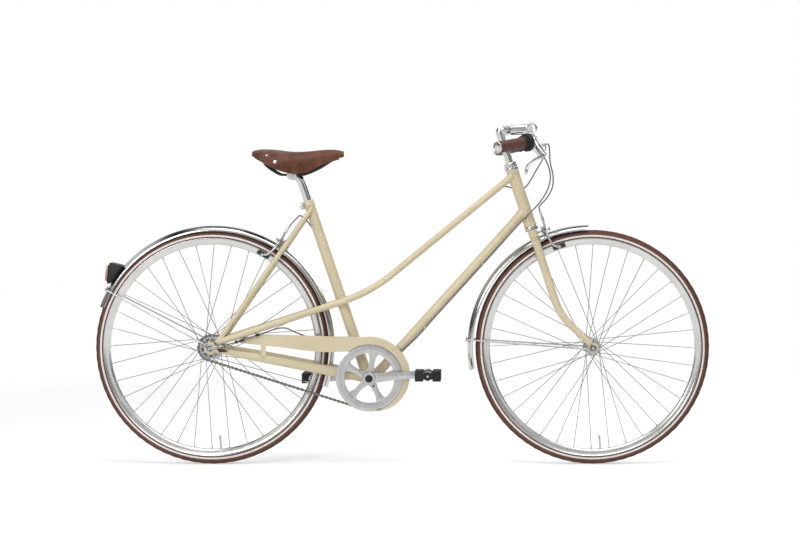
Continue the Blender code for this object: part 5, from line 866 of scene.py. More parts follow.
def axle_with_nuts(name, axle, spread, stub, body, node, extra):
    """A threaded axle with a washer and a domed nut against the outside of each end."""
    near = spread + 0.0028
    reach = near + 0.008 + stub
    thread = [(0.0001, -reach), (0.0040, -reach), (0.0048, -reach + 0.001), (0.0048, reach - 0.001),
              (0.0040, reach), (0.0001, reach)]
    meshes = [turned(thread, axle, LEFT, 24)]
    nuts = []
    for side in (1, -1):
        start = axle + LEFT * side * near
        meshes.append(turned([(0.0001, 0), (0.0098, 0), (0.0100, 0.0003), (0.0100, 0.0014),
                              (0.0096, 0.0017), (0.0001, 0.0017)], start, LEFT * side, 40))
        nuts.append(bolt_head(start + LEFT * side * 0.0016, LEFT * side, 0.0150, 0.0064))
        nuts.append(turned([(0.0001, 0), (0.0064, 0), (0.0058, 0.0014), (0.0050, 0.0018),
                            (0.0001, 0.0018)], start + LEFT * side * 0.0078, LEFT * side, 24))
    fit(weld(name + "_dark_nuts", nuts, dark_zinc), body, "steel")
    fit(weld(name, meshes + extra, zinc_steel), body, "steel", node)


shift_tip = REAR_AXLE + Vector((0.026, -0.0768, 0.006))
shift_arm = cut_plate([(0.0052, -0.0014), (0.0120, -0.0026), (0.0245, 0.0024), (0.0260, 0.0048),
                       (0.0250, 0.0088), (0.0225, 0.0095), (0.0090, 0.0052), (0.0052, 0.0040)], -0.0776,
                      -0.0752, REAR_AXLE, edge=0.0005)
axle_with_nuts("front_axle_and_nuts", FRONT_AXLE, FORK_END_SPREAD, 0.003, "fork", "front_axle", [])
axle_with_nuts("rear_axle_and_nuts", REAR_AXLE, DROPOUT_SPREAD, 0.004, "frame", "rear_axle", [shift_arm])

# Mudguards: rolled steel strips, chrome-plated, with a flute along each side of the crown.
# Wire stays bolted at the axles run out to each one, and the front tip is sawn off at a slant.
GUARD_HALF = 0.0205
GUARD_DEPTH = 0.0155
FRONT_GUARD_RADIUS = 0.3615


def guard_shape(radius):
    """The strip's section from one edge to the other: outer face, then inner face."""
    outer, inner = [], []
    for step in range(-16, 17):
        share = step / 16
        reach = radius - GUARD_DEPTH * (1 - cos(share * pi / 2))
        flute = 0.0009 * max(0.0, 1 - ((abs(share) - 0.46) / 0.13) ** 2)
        out = GUARD_HALF * sin(share * pi / 2)
        outer.append((reach - flute - 0.0001, out))
        inner.append((reach - flute - 0.0010, out * 0.955))
    return outer, inner


def roll_mudguard(name, centre, radius, start, end, slant_start, slant_end, body, node):
    outer, inner = guard_shape(radius)
    steps = 150
    rings = []
    for step in range(steps + 1):
        share = step / steps
        ring = []
        for reach, out in outer + inner[::-1]:
            depth = (radius - reach) / GUARD_DEPTH
            first = start + slant_start * depth
            last = end - slant_end * depth
            turn = first + (last - first) * share
            ring.append(centre + Vector((cos(turn) * reach, out, sin(turn) * reach)))
        rings.append(ring)
    fit(make_piece(name, skin(rings), chrome, 40), body, "chrome", node)


REAR_GUARD_CENTRE = REAR_AXLE + Vector((0.0035, 0, 0.0015))
FRONT_GUARD_CENTRE = FRONT_AXLE + Vector((-0.0075, 0, -0.0020))
roll_mudguard("rear_mudguard_plated", REAR_GUARD_CENTRE, REAR_GUARD_RADIUS, radians(-20), radians(161),
              radians(0.6), radians(0.8), "frame", "rear_mudguard")
roll_mudguard("front_mudguard_plated", FRONT_GUARD_CENTRE, FRONT_GUARD_RADIUS, radians(90.2), radians(191),
              radians(2.6), radians(0.8), "fork", "front_mudguard")


def wire_stay(name, centre, radius, turn, foot, spread, body, node):
    """One bent wire with flattened eyes at its ends and a small clip where it crosses the mudguard."""
    out = Vector((cos(turn), 0, sin(turn)))
    forward = Vector((-out.z, 0, out.x))
    back = centre + out * (radius + 0.0029)
    half = GUARD_HALF + 0.0035
    corner = [back - out * 0.020 + LEFT * (half + 0.003), back - out * 0.008 + LEFT * (half + 0.0005),
              back - out * 0.0028 + LEFT * (half - 0.0025), back + LEFT * (half - 0.009)]
    leg = [foot + LEFT * spread, (foot + LEFT * spread).lerp(corner[0], 0.5)]
    left = leg + corner
    route = left + [Vector((point.x, -point.y, point.z)) for point in reversed(left)]
    meshes = [drawn_tube(smooth_path(route, 6), 0.0023, sides=12, hint=forward)]
    for side in (1, -1):
        eye = foot + LEFT * side * (spread - 0.0023)
        meshes.append(turned([(0.0001, 0), (0.0048, 0), (0.0052, 0.0004), (0.0052, 0.0019),
                              (0.0048, 0.0023), (0.0001, 0.0023)], eye, LEFT * side, 24))
        meshes.append(bolt_head(eye + LEFT * side * 0.0023, LEFT * side, 0.0072, 0.0026))
    meshes.append(block(back + out * 0.0004, (0.0150, 0.0220, 0.0012), forward, LEFT, out, 0.0004))
    for way in (-1, 1):
        meshes.append(bolt_head(back + forward * way * 0.0052 + out * 0.0008, out, 0.0052, 0.0018))
    fit(weld(name, meshes, zinc_steel), body, "steel", node)


wire_stay("rear_mudguard_stay_wire", REAR_GUARD_CENTRE, REAR_GUARD_RADIUS, radians(152),
          REAR_AXLE + Vector((-0.0130, 0, 0.0100)), 0.0678, "frame", "rear_mudguard_stay")
wire_stay("front_mudguard_stay_wire", FRONT_GUARD_CENTRE, FRONT_GUARD_RADIUS, radians(176.2),
          FRONT_AXLE + Vector((-0.0118, 0, -0.0035)), 0.0578, "fork", "front_mudguard_stay")

# Rear light: a wedge of black plastic screwed on the mudguard, with a pale pink ribbed lens that faces back.
# The lens is clipped into a raised lip all round the wedge's back face.
black_plastic = new_finish("black_plastic", 0.42, specular=0.25)
tint(black_plastic, 0.010, [(0.3, (0.014, 0.014, 0.015)), (0.7, (0.026, 0.026, 0.028))])
gloss(black_plastic, 0.003, 0.32, 0.52)
relief(black_plastic, grain(black_plastic, 0.0008), 0.00005)
light_corners = [(149.4, 0.0055), (140.9, 0.0363), (138.4, 0.0033)]


def on_guard(turn, out):
    reach = REAR_GUARD_RADIUS + out
    return (reach * cos(radians(turn)), reach * sin(radians(turn)))


light_outline = [on_guard(148.3 - 9.7 * step / 12, 0.0004) for step in range(13)]
light_outline += [on_guard(*light_corners[2]), on_guard(*light_corners[1]), on_guard(*light_corners[0])]
fit(make_piece("rear_light_body", cut_plate(light_outline, -0.028, 0.028, REAR_GUARD_CENTRE, edge=0.0022),
               black_plastic, 40), "frame", "black_plastic", "rear_light")
lens_low = REAR_GUARD_CENTRE + Vector((light_outline[15][0], 0, light_outline[15][1]))
lens_high = REAR_GUARD_CENTRE + Vector((light_outline[14][0], 0, light_outline[14][1]))
lens_rise = (lens_high - lens_low).normalized()
lens_out = Vector((-lens_rise.z, 0, lens_rise.x))
lens_middle = (lens_low + lens_high) / 2
lens_pink = new_finish("pink_lens", 0.16, coat=0.4)
tint(lens_pink, 0.006, [(0.3, (0.66, 0.24, 0.24)), (0.7, (0.80, 0.42, 0.42))])
lens_pink.node_tree.nodes["Principled BSDF"].inputs["Transmission Weight"].default_value = 0.15
relief(lens_pink, grain(lens_pink, 0.0016), 0.0001)
lens_meshes = [block(lens_middle + lens_out * 0.0048, (0.0088, 0.047, 0.0445), lens_out, LEFT, lens_rise,
                     0.0018)]
for rib in range(-4, 5):
    lens_meshes.append(block(lens_middle + lens_out * 0.0093 + lens_rise * rib * 0.0044,
                             (0.0012, 0.040, 0.0022), lens_out, LEFT, lens_rise, 0.0005))
fit(weld("rear_light_lens_ribbed", lens_meshes, lens_pink), "frame", "red_lens", "rear_light_lens")
lip_meshes = []
for side in (1, -1):
    lip_meshes.append(block(lens_middle + lens_out * 0.0012 + LEFT * side * 0.0255,
                            (0.0030, 0.0040, 0.0500), lens_out, LEFT, lens_rise, 0.0010))
    lip_meshes.append(block(lens_middle + lens_out * 0.0012 + lens_rise * side * 0.0240,
                            (0.0030, 0.0550, 0.0030), lens_out, LEFT, lens_rise, 0.0010))
fit(weld("rear_light_lip", lip_meshes, black_plastic), "frame", "black_plastic")

# Stem and handlebar: a chrome quill whose forged arm reaches forward from a round knuckle to a pinch clamp.
# The bar is one chromed tube that drops and sweeps back to the grips.
elbow = steer_point(0, 0, HEAD_TUBE_TOP + 0.0266 + 0.102)
bar_middle = elbow + FORWARD * 0.0964 + UP * 0.005
knuckle = elbow + FORWARD * 0.0225
quill_points = [steer_point(0, 0, 0.46), steer_point(0, 0, 0.60), elbow - STEER_UP * 0.014,
                elbow - STEER_UP * 0.006 + FORWARD * 0.001, elbow + FORWARD * 0.006 + UP * 0.001]
stem_meshes = [drawn_tube(smooth_path(quill_points, 10), [0.0110, 0.0110, 0.0110, 0.0112, 0.0118, 0.0124],
                          sides=32)]
knuckle_round = both_ends([(0.0001, -0.0130), (0.0120, -0.0130), (0.0145, -0.0118), (0.0155, -0.0095)])
stem_meshes.append(turned(knuckle_round, knuckle, LEFT, 48))
arm_points = smooth_path([knuckle, knuckle.lerp(bar_middle, 0.5) + UP * 0.0012, bar_middle], 12)
stem_meshes.append(drawn_tube(arm_points, [0.0125, 0.0122, 0.0120],
                              [0.0140, 0.0128, 0.0122, 0.0130, 0.0138], 32, squareness=0.72))
clamp_round = both_ends([(0.0115, -0.0180), (0.0158, -0.0180), (0.0168, -0.0174), (0.0172, -0.0164)])
stem_meshes.append(turned(clamp_round, bar_middle, LEFT, 56))
pinch = bar_middle + Vector((0.0030, 0, 0.0160))
stem_meshes.append(block(pinch - UP * 0.0030, (0.0130, 0.0240, 0.0050), edge=0.0014))
fit(weld("stem_forged", stem_meshes, chrome, 40), "fork", "chrome", "stem")
fit(weld("stem_pinch_bolt", [bolt_head(pinch - FORWARD * 0.0005 - UP * 0.0050, -UP, 0.0090, 0.0030),
                             turned([(0.0001, 0), (0.0042, 0), (0.0045, 0.0006), (0.0045, 0.0026),
                                     (0.0036, 0.0034), (0.0001, 0.0036)], pinch - UP * 0.0012, UP, 24)],
         zinc_steel), "fork", "steel")
# Painted shade: a thin black strip under the stem's arm stands for the shade beneath it.
under_arm = [knuckle + Vector((0.0130, 0, -0.0125)), knuckle + Vector((0.0300, 0, -0.0122)),
             knuckle + Vector((0.0490, 0, -0.0112))]
fit(tube("stem_arm_painted_shade", smooth_path(under_arm, 6), black_plastic, 0.0085, 0.0016, 16), "fork",
    "black_plastic")

offsets = [(0, 0, 0), (0, 0.022, 0), (-0.0005, 0.045, -0.003), (-0.0010, 0.085, -0.0165),
           (-0.0012, 0.115, -0.0290), (-0.0038, 0.138, -0.0380)]


def grip_end(side):
    return bar_middle + Vector((-0.0986, side * 0.250, -0.0606))


def grip_axis(side):
    return Vector((-0.6826, side * 0.7183, -0.1307)).normalized()


def bar_half(side, steps):
    """Half of the handlebar's middle line, from the clamp to the end of the grip."""
    curve = smooth_path([bar_middle + Vector((x, side * y, z)) for x, y, z in offsets], steps)
    start = grip_end(side) - grip_axis(side) * 0.133
    return curve + [start, start.lerp(grip_end(side), 0.5), grip_end(side) - grip_axis(side) * 0.003]


bar_line = list(reversed(bar_half(-1, 2))) + bar_half(1, 2)[1:]
bar_line = smooth_path(bar_line, 4)
bar_meshes = [drawn_tube(bar_line, 0.0111, sides=28, hint=FORWARD + UP * 2),
              turned([(0.0111, -0.0300), (0.0116, -0.0296), (0.0116, 0.0296), (0.0111, 0.0300),
                      (0.0105, 0)], bar_middle, LEFT, 40)]
fit(weld("handlebar_plated", bar_meshes, chrome), "fork", "chrome", "handlebar")

# Grips: brown rubber sleeves with a leathery grain and shallow rings, pushed on the bar.
# Each is closed by a polished cap, and has a flange at its inner end.
grip_brown = new_finish("grip_brown", 0.55)
tint(grip_brown, 0.009, [(0.3, (0.088, 0.029, 0.020)), (0.55, (0.108, 0.038, 0.027)),
                         (0.8, (0.135, 0.054, 0.040))])
gloss(grip_brown, 0.003, 0.42, 0.66)
relief(grip_brown, grain(grip_brown, 0.0013), 0.00025)
for name, side in SIDES:
    profile = [(0.0114, -0.098), (0.0178, -0.098), (0.0187, -0.0974), (0.0187, -0.0950), (0.0176, -0.0936)]
    ring_count = 13
    for ring in range(ring_count):
        reach = -0.0915 + 0.0855 * ring / ring_count
        belly = 0.0168 + 0.0004 * sin(pi * ring / ring_count)
        profile += [(belly - 0.0004, reach), (belly, reach + 0.0009), (belly, reach + 0.0052),
                    (belly - 0.0004, reach + 0.0060)]
    profile += [(0.0158, -0.0045), (0.0150, -0.0010), (0.0146, 0.0012), (0.0136, 0.0016), (0.0001, 0.0014),
                (0.0001, -0.0025), (0.0114, -0.0025)]
    fit(turning("grip_%s_moulded" % name, profile, grip_end(side), grip_brown, grip_axis(side), 48),
        "fork", "brown_rubber", "grip_" + name)
    cap = [(0.0001, 0.0010), (0.0158, 0.0010), (0.0170, 0.0018), (0.0172, 0.0034), (0.0162, 0.0044),
           (0.0146, 0.0034), (0.0132, 0.0040), (0.0070, 0.0052), (0.0001, 0.0054)]
    fit(turning("grip_cap_" + name, cap, grip_end(side), chrome, grip_axis(side), 48), "fork", "chrome")

# Twist shifter: a black plastic barrel with ribs along it, which turns on the bar inside the right grip.
# A broad smooth ring beside the barrel takes the end of the cable.
right_axis = grip_axis(-1)
right_end = grip_end(-1)
ring_end = -0.0983
ring_start = ring_end - 0.032
ring_profile = [(0.0116, ring_start), (0.0215, ring_start), (0.0240, ring_start + 0.0010),
                (0.0262, ring_start + 0.0035), (0.0265, ring_start + 0.0060),
                (0.0265, ring_start + 0.0125), (0.0255, ring_start + 0.0150),
                (0.0228, ring_start + 0.0166), (0.0212, ring_start + 0.0172),
                (0.0116, ring_start + 0.0172)]
shifter_meshes = [turned(ring_profile, right_end, right_axis, 64)]
barrel_profile = [(0.0116, ring_start + 0.0172), (0.0200, ring_start + 0.0174),
                  (0.0208, ring_start + 0.0184), (0.0204, ring_end - 0.0030), (0.0190, ring_end - 0.0004),
                  (0.0116, ring_end)]
shifter_meshes.append(turned(barrel_profile, right_end, right_axis, 48))
hint = (UP - right_axis * right_axis.z).normalized()
other = right_axis.cross(hint)
for rib in range(22):
    turn = 2 * pi * rib / 22
    out = hint * cos(turn) + other * sin(turn)
    near = right_end + right_axis * (ring_start + 0.0185) + out * 0.0203
    far = right_end + right_axis * (ring_end - 0.0026) + out * 0.0198
    shifter_meshes.append(drawn_tube([near, near.lerp(far, 0.1) + out * 0.0008,
                                      near.lerp(far, 0.9) + out * 0.0008, far], 0.0011, sides=8, hint=out))
fit(weld("twist_shifter_moulded", shifter_meshes, black_plastic), "shifter", "black_plastic",
    "twist_shifter")

# Brake levers: chromed blades pinned in forked brackets, which are clamped to the bar beside the grips.
# A stepped alloy adjuster on each bracket takes the end of the brake cable's housing.
def lever_frame(side):
    """Pivot, pin axis, blade direction, direction to the bar, and the place and run of the bracket's band."""
    route = list(bar_half(side, 2))
    clamp = route[8]
    run = (route[9] - route[7]).normalized()
    pivot = bar_middle + Vector((0.0330, side * 0.1400, -0.0800))
    tip = bar_middle + Vector((-0.0236, side * 0.2200, -0.1256))
    blade = (tip - pivot).normalized()
    toward = grip_end(side) - grip_axis(side) * 0.0392 - pivot.lerp(tip, 0.6)
    axis = blade.cross(toward).normalized()
    return pivot, axis, blade, axis.cross(blade).normalized(), clamp, run


def cable_exit(side):
    return Vector((0.80, -side * 0.55, 0.10)).normalized()


for name, side in SIDES:
    pivot, axis, blade, toward, clamp, run = lever_frame(side)
    reach = (clamp - pivot).normalized()
    start = clamp - reach * 0.011
    band = both_ends([(0.0114, -0.0070), (0.0146, -0.0070), (0.0153, -0.0062)])
    meshes = [turned(band, clamp, run, 40)]
    root = start.lerp(pivot, 0.42)
    meshes.append(drawn_tube(smooth_path([start, start.lerp(pivot, 0.22), root], 5),
                             [0.0082, 0.0090, 0.0094], [0.0098, 0.0104, 0.0104], 24, axis, 0.75))
    for way in (-1, 1):
        cheek = [start.lerp(pivot, 0.34), start.lerp(pivot, 0.7), pivot - reach * 0.0035]
        cheek = [point + axis * way * 0.0068 for point in cheek]
        meshes.append(drawn_tube(smooth_path(cheek, 5), [0.0022, 0.0022, 0.0021],
                                 [0.0100, 0.0098, 0.0078, 0.0050], 20, axis, 0.8))
        meshes.append(turned([(0.0001, 0), (0.0036, 0), (0.0040, 0.0004), (0.0036, 0.0012),
                              (0.0001, 0.0014)], pivot + axis * way * 0.0086, axis * way, 20))
    fit(weld("lever_bracket_%s_cast" % name, meshes, chrome, 38), "fork", "chrome",
        "lever_bracket_" + name)
    out_start = start.lerp(pivot, 0.35)
    way_out = cable_exit(side)
    adjuster = [(0.0001, 0.004), (0.0042, 0.004), (0.0042, 0.0088), (0.0036, 0.0092), (0.0036, 0.0104),
                (0.0044, 0.0108), (0.0044, 0.0142), (0.0034, 0.0150), (0.0034, 0.0182), (0.0001, 0.0182)]
    fit(turning("lever_adjuster_" + name, adjuster, out_start, satin_alloy, way_out, 28), "fork",
        "aluminium")
    length = 0.108
    route = [pivot + blade * 0.004, pivot + blade * 0.020 + toward * 0.002,
             pivot + blade * length * 0.40 + toward * 0.0055,
             pivot + blade * length * 0.65 + toward * 0.0060,
             pivot + blade * length * 0.86 - toward * 0.0005,
             pivot + blade * length * 0.95 - toward * 0.0085,
             pivot + blade * length * 0.98 - toward * 0.0135]
    meshes = [drawn_tube(smooth_path(route, 8), [0.0038, 0.0042, 0.0058, 0.0060, 0.0054, 0.0044, 0.0018],
                         [0.0055, 0.0048, 0.0034, 0.0032, 0.0030, 0.0028, 0.0014], 24, axis, 0.85)]
    eye = both_ends([(0.0026, -0.0038), (0.0062, -0.0038), (0.0069, -0.0032)])
    meshes.append(turned(eye, pivot, axis, 32))
    fit(weld("brake_lever_%s_forged" % name, meshes, chrome, 40), "lever_" + name, "chrome",
        "brake_lever_" + name)

# Brakes: side-pull calipers of forged alloy, two arms crossing on one bolt at the fork and at the stays.
# Each arm carries a black pad in a holder beside the rim, and the right arms carry the cable's adjuster.
def build_caliper(prefix, middle, out, up, drop, pad_out, pad_tilt, bodies):
    def place(y, s, level):
        return middle + LEFT * y + up * s + out * level

    half = 0.0031
    for name, side, level in (("left", 1, 0.0150), ("right", -1, 0.0215)):
        low = [place(side * 0.004, 0.001, level), place(side * 0.013, 0.002, level),
               place(side * 0.0235, -0.002, level), place(side * 0.0315, -0.011, level),
               place(side * 0.0337, -0.024, level), place(side * 0.0328, -drop + 0.012,
                                                          (level * 2 + pad_out) / 3),
               place(side * 0.0305, -drop + 0.002, pad_out - 0.002)]
        meshes = [drawn_tube(smooth_path(low, 6), [half * 1.3, half * 1.3, half * 1.2, half, half],
                             [0.0080, 0.0075, 0.0070, 0.0064, 0.0056, 0.0048], 20, out, 0.7)]
        meshes.append(turned([(0.0040, -half), (0.0080, -half), (0.0086, -half + 0.0006),
                              (0.0086, half - 0.0006), (0.0080, half), (0.0040, half)], place(0, 0, level),
                             out, 36))
        if name == "left":
            lever = [place(0.002, 0.001, level), place(-0.014, 0.007, level), place(-0.031, 0.010, level)]
            meshes.append(drawn_tube(smooth_path(lever, 6), half, [0.0062, 0.0050, 0.0042], 16, out, 0.7))
        else:
            lever = [place(-0.001, 0.0018, level), place(-0.012, 0.018, level),
                     place(-0.024, 0.029, level), place(-0.036, 0.031, level)]
            meshes.append(drawn_tube(smooth_path(lever, 6), half, [0.0062, 0.0052, 0.0048, 0.0044], 16,
                                     out, 0.7))
        tangent = (out + up * pad_tilt).normalized()
        across = LEFT.cross(tangent).normalized()
        pad_middle = place(side * (0.0151 + 0.00425), -drop, pad_out)
        meshes.append(drawn_tube([pad_middle + LEFT * side * 0.002,
                                  place(side * 0.0368, -drop + 0.0005, pad_out)], 0.0032, sides=16,
                                 hint=up))
        meshes.append(bolt_head(place(side * 0.0352, -drop + 0.0005, pad_out), LEFT * side, 0.0090,
                                0.0036))
        fit(weld("%s_brake_arm_%s_forged" % (prefix, name), meshes, satin_alloy, 40), bodies[name],
            "aluminium", "%s_brake_arm_%s" % (prefix, name))
        pad_outline = both_ends([(-0.0190, -0.0034), (-0.0172, -0.0050), (0.0172, -0.0050),
                                 (0.0190, -0.0034)])
        pad_meshes = [cut_plate(pad_outline, -0.00425, 0.00425, pad_middle, tangent, across, LEFT, 0.0008)]
        for groove in (-0.0115, 0.0, 0.0115):
            pad_meshes.append(block(pad_middle + tangent * groove + LEFT * side * 0.0020,
                                    (0.0040, 0.0040, 0.0106), tangent, LEFT, across, 0.0006))
        fit(weld("%s_brake_pad_%s" % (prefix, name), pad_meshes, black_rubber), bodies[name],
            "black_plastic")
    barrel = [(0.0001, 0), (0.0040, 0), (0.0042, 0.0006), (0.0042, 0.0060), (0.0034, 0.0066),
              (0.0034, 0.0080), (0.0046, 0.0086), (0.0046, 0.0136), (0.0036, 0.0144), (0.0034, 0.0200),
              (0.0001, 0.0200)]
    fit(turning(prefix + "_brake_adjuster", barrel, place(-0.0345, 0.026, 0.0215), satin_alloy, up, 28),
        bodies["right"], "aluminium")
    inner_wire = [place(-0.0349, 0.0285, 0.0215), place(-0.0340, 0.016, 0.0200),
                  place(-0.0330, 0.0030, 0.0190)]
    wire_meshes = [drawn_tube(smooth_path(inner_wire, 5), 0.0009, sides=8, hint=out)]
    wire_meshes.append(bolt_head(place(-0.0275, 0.010, 0.0150 + half), out, 0.0084, 0.0036))
    wire_meshes.append(bolt_head(place(-0.0275, 0.010, 0.0150 - half), -out, 0.0084, 0.0030))
    fit(weld(prefix + "_brake_wire_and_anchor", wire_meshes, zinc_steel), bodies["right"], "steel")
    spring = [place(-0.0300, -0.020, 0.0095), place(-0.0200, -0.002, 0.0095),
              place(-0.0080, 0.0105, 0.0095), place(0.0080, 0.0105, 0.0095), place(0.0200, -0.002, 0.0095),
              place(0.0300, -0.020, 0.0095)]
    return spring


springs = [("front", build_caliper("front", front_brake_middle, front_brake_out, front_brake_up, 0.0601,
                                   0.043, 0.0, {"left": "front_arm_left", "right": "front_arm_right"}),
            "fork", front_brake_out), ("rear", build_caliper("rear", rear_brake_middle, rear_brake_out,
                                                             rear_brake_up, 0.0598, 0.040, -0.1,
                                                             {"left": "rear_arm_left",
                                                              "right": "rear_arm_right"}), "frame",
                                       rear_brake_out)]
for prefix, spring, body, out in springs:
    fit(tube(prefix + "_brake_spring", smooth_path(spring, 6), zinc_steel, 0.0011, sides=10, hint=out),
        body, "steel")

# Seat post: a chromed tube pinched in the seat tube, its top bent back to the barrel of the saddle's clamp.
# The clamp's bolt behind the seat tube is chromed too, and pulls the tube's two ears together.
head = seat_point(-0.0195, 0, 0.6375)
post_route = [seat_point(0, 0, 0.411), seat_point(0, 0, 0.56), seat_point(0, 0, 0.601),
              seat_point(-0.0030, 0, 0.619), seat_point(-0.0110, 0, 0.633), head]
post_meshes = [drawn_tube(smooth_path(post_route, 8), [0.0130, 0.0130, 0.0130, 0.0130, 0.0130, 0.0130,
                                                       0.0130, 0.0124, 0.0112], sides=40)]
post_meshes.append(turned(both_ends([(0.0035, -0.0130), (0.0118, -0.0130), (0.0128, -0.0120)]), head, LEFT,
                          40))
fit(weld("seat_post_plated", post_meshes, chrome), "seat_post_body", "chrome", "seat_post")
pinch_middle = seat_point(-0.0211, 0, SEAT_TUBE_TOP - 0.011)
pinch_meshes = [turned(both_ends([(0.0001, -0.0153), (0.0028, -0.0153), (0.0030, -0.0150)]), pinch_middle,
                       LEFT, 20)]
for side in (1, -1):
    near = pinch_middle + LEFT * side * 0.0103
    pinch_meshes.append(turned([(0.0001, 0), (0.0060, 0), (0.0065, 0.0005), (0.0065, 0.0022),
                                (0.0054, 0.0036), (0.0030, 0.0042), (0.0001, 0.0042)], near, LEFT * side,
                               32))
fit(weld("seat_clamp_bolt_plated", pinch_meshes, chrome), "frame", "chrome", "seat_clamp_bolt")

# Saddle: one thick sheet of brown leather, moulded wide behind and narrow in front, with deep skirts.
# It is riveted to a steel plate at the tail and one at the nose, and its edge is trimmed and burnished dark.
saddle_leather = new_finish("saddle_leather", 0.42, specular=0.30)
tint(saddle_leather, 0.030, [(0.28, (0.068, 0.023, 0.012)), (0.5, (0.122, 0.042, 0.022)),
                             (0.75, (0.175, 0.068, 0.038))], detail=6.0)
gloss(saddle_leather, 0.006, 0.34, 0.54)
tree = saddle_leather.node_tree
pores = add_node(tree, "TexVoronoi", add_node(tree, "TexCoord").outputs["Object"])
pores.inputs["Scale"].default_value = 720.0
relief(saddle_leather, pores.outputs["Distance"], 0.00030)
leather_edge = new_finish("burnished_edge", 0.38)
tint(leather_edge, 0.008, [(0.3, (0.040, 0.014, 0.009)), (0.7, (0.075, 0.028, 0.018))])
relief(leather_edge, grain(leather_edge, 0.0012), 0.0001)
saddle_tail = head.x - 0.1125
SADDLE_LENGTH = 0.264
half_widths = [0.060, 0.090, 0.1000, 0.1025, 0.1010, 0.092, 0.074, 0.056, 0.0430, 0.0345, 0.0300, 0.0275,
               0.0260, 0.0235, 0.0160]
crowns = [0.0712, 0.0752, 0.0757, 0.0749, 0.0730, 0.0706, 0.0688, 0.0683, 0.0690, 0.0706, 0.0726, 0.0742,
          0.0748, 0.0738, 0.0700]
skirts = [0.0545, 0.0440, 0.0345, 0.0240, 0.0150, 0.0085, 0.0038, 0.0022, 0.0045, 0.0120, 0.0215, 0.0310,
          0.0385, 0.0455, 0.0540]


def curve_value(values, share):
    """The value at a share of a list, on a smooth curve through all of them."""
    place = share * (len(values) - 1)
    index = min(int(place), len(values) - 2)
    t = place - index
    a = values[max(index - 1, 0)]
    b, c = values[index], values[index + 1]
    d = values[min(index + 2, len(values) - 1)]
    return (b + (c - a) * 0.5 * t + (a * 2 - b * 5 + c * 4 - d) * 0.5 * t ** 2
            + (b * 3 - a - c * 3 + d) * 0.5 * t ** 3)


def saddle_point(share, turn, inset=0.0):
    """A point of the leather: a share of its length, and a turn from one skirt (-1) over to the other (1)."""
    half = curve_value(half_widths, share) - inset
    crown = head.z + curve_value(crowns, share) - inset
    skirt = head.z + curve_value(skirts, share)
    angle = turn * pi / 2
    rise = max(cos(angle), 0.0) ** 0.56
    flare = 1 + 0.02 * abs(turn) ** 6
    return Vector((saddle_tail + SADDLE_LENGTH * share, half * sin(angle) * flare,
                   skirt + (crown - skirt) * rise))


rows = []
for step in range(73):
    share = step / 72
    turns = [-1 + 2 * k / 44 for k in range(45)]
    outer = [saddle_point(share, turn) for turn in turns]
    inner = [saddle_point(share, turn, 0.0040) for turn in turns]
    rows.append(outer + inner[::-1])
saddle_bm = skin(rows)
saddle_bm.faces.ensure_lookup_table()
for face in saddle_bm.faces:
    middle = face.calc_center_median()
    share = (middle.x - saddle_tail) / SADDLE_LENGTH
    low = head.z + curve_value(skirts, min(max(share, 0), 1)) + 0.0022
    if middle.z < low or share < 0.006 or share > 0.994:
        face.material_index = 1
saddle_piece = make_piece("saddle_leather_top", ease(saddle_bm, 0.0009, 50),
                          [saddle_leather, leather_edge], 42)
fit(saddle_piece, "saddle_body", "brown_leather", "saddle")
pale_rivet = new_finish("pale_rivet", 0.26, metallic=1.0)
tint(pale_rivet, 0.004, [(0.3, (0.62, 0.58, 0.54)), (0.7, (0.78, 0.74, 0.70))])
gloss(pale_rivet, 0.002, 0.18, 0.36)
rivet_meshes = []
for share, turn, radius in ((0.178, 0.744, 0.0040), (0.275, 0.893, 0.0056), (0.022, 0.30, 0.0042)):
    for side in (1, -1):
        here = saddle_point(share, turn * side)
        ahead = saddle_point(share + 0.01, turn * side) - here
        around = saddle_point(share, turn * side + 0.02) - here
        out = around.cross(ahead).normalized()
        if out.z < 0 or out.y * side < 0:
            out = -out
        dome = [(0.0001, -0.0012), (radius, -0.0012), (radius, 0.0002), (radius * 0.8, 0.0010),
                (radius * 0.4, 0.0015), (0.0001, 0.0016)]
        rivet_meshes.append(turned(dome, here, out, 24))
fit(weld("saddle_rivets", rivet_meshes, pale_rivet), "saddle_body", "steel")

# Saddle frame: two black steel rails from the nose plate to the cantle plate, which holds the leather's tail.
# Round cheeks with toothed faces pinch the rails on the seat post's barrel, pulled by one through-bolt.
black_steel = new_finish("black_steel", 0.36, metallic=0.35)
tint(black_steel, 0.010, [(0.3, (0.018, 0.018, 0.020)), (0.7, (0.040, 0.040, 0.043))])
gloss(black_steel, 0.003, 0.28, 0.46)
relief(black_steel, grain(black_steel, 0.0010), 0.00004)
rail_meshes = []
cheek_meshes = []
for side in (1, -1):
    route = [(saddle_tail + 0.030, side * 0.050, head.z + 0.0495),
             (saddle_tail + 0.040, side * 0.044, head.z + 0.0275),
             (head.x - 0.040, side * 0.026, head.z + 0.004), (head.x - 0.018, side * 0.0185, head.z),
             (head.x + 0.030, side * 0.0185, head.z), (head.x + 0.080, side * 0.014, head.z + 0.020),
             (saddle_tail + SADDLE_LENGTH - 0.030, side * 0.006, head.z + 0.0460)]
    rail_meshes.append(drawn_tube(smooth_path(route, 8), 0.0035, sides=16))
    cheek = [(0.0030, 0.0133), (0.0130, 0.0133), (0.0148, 0.0145), (0.0150, 0.0160), (0.0150, 0.0215),
             (0.0138, 0.0232), (0.0070, 0.0235), (0.0030, 0.0235)]
    cheek_meshes.append(turned(cheek, head, LEFT * side, 40))
    cheek_meshes.append(bolt_head(head + LEFT * side * 0.0233, LEFT * side, 0.0120, 0.0046))
cheek_meshes.append(rod(0.003, -0.027, 0.027, head, LEFT, 16))
fit(weld("saddle_clamp_plated", cheek_meshes, chrome), "saddle_body", "chrome")
cantle_rows = []
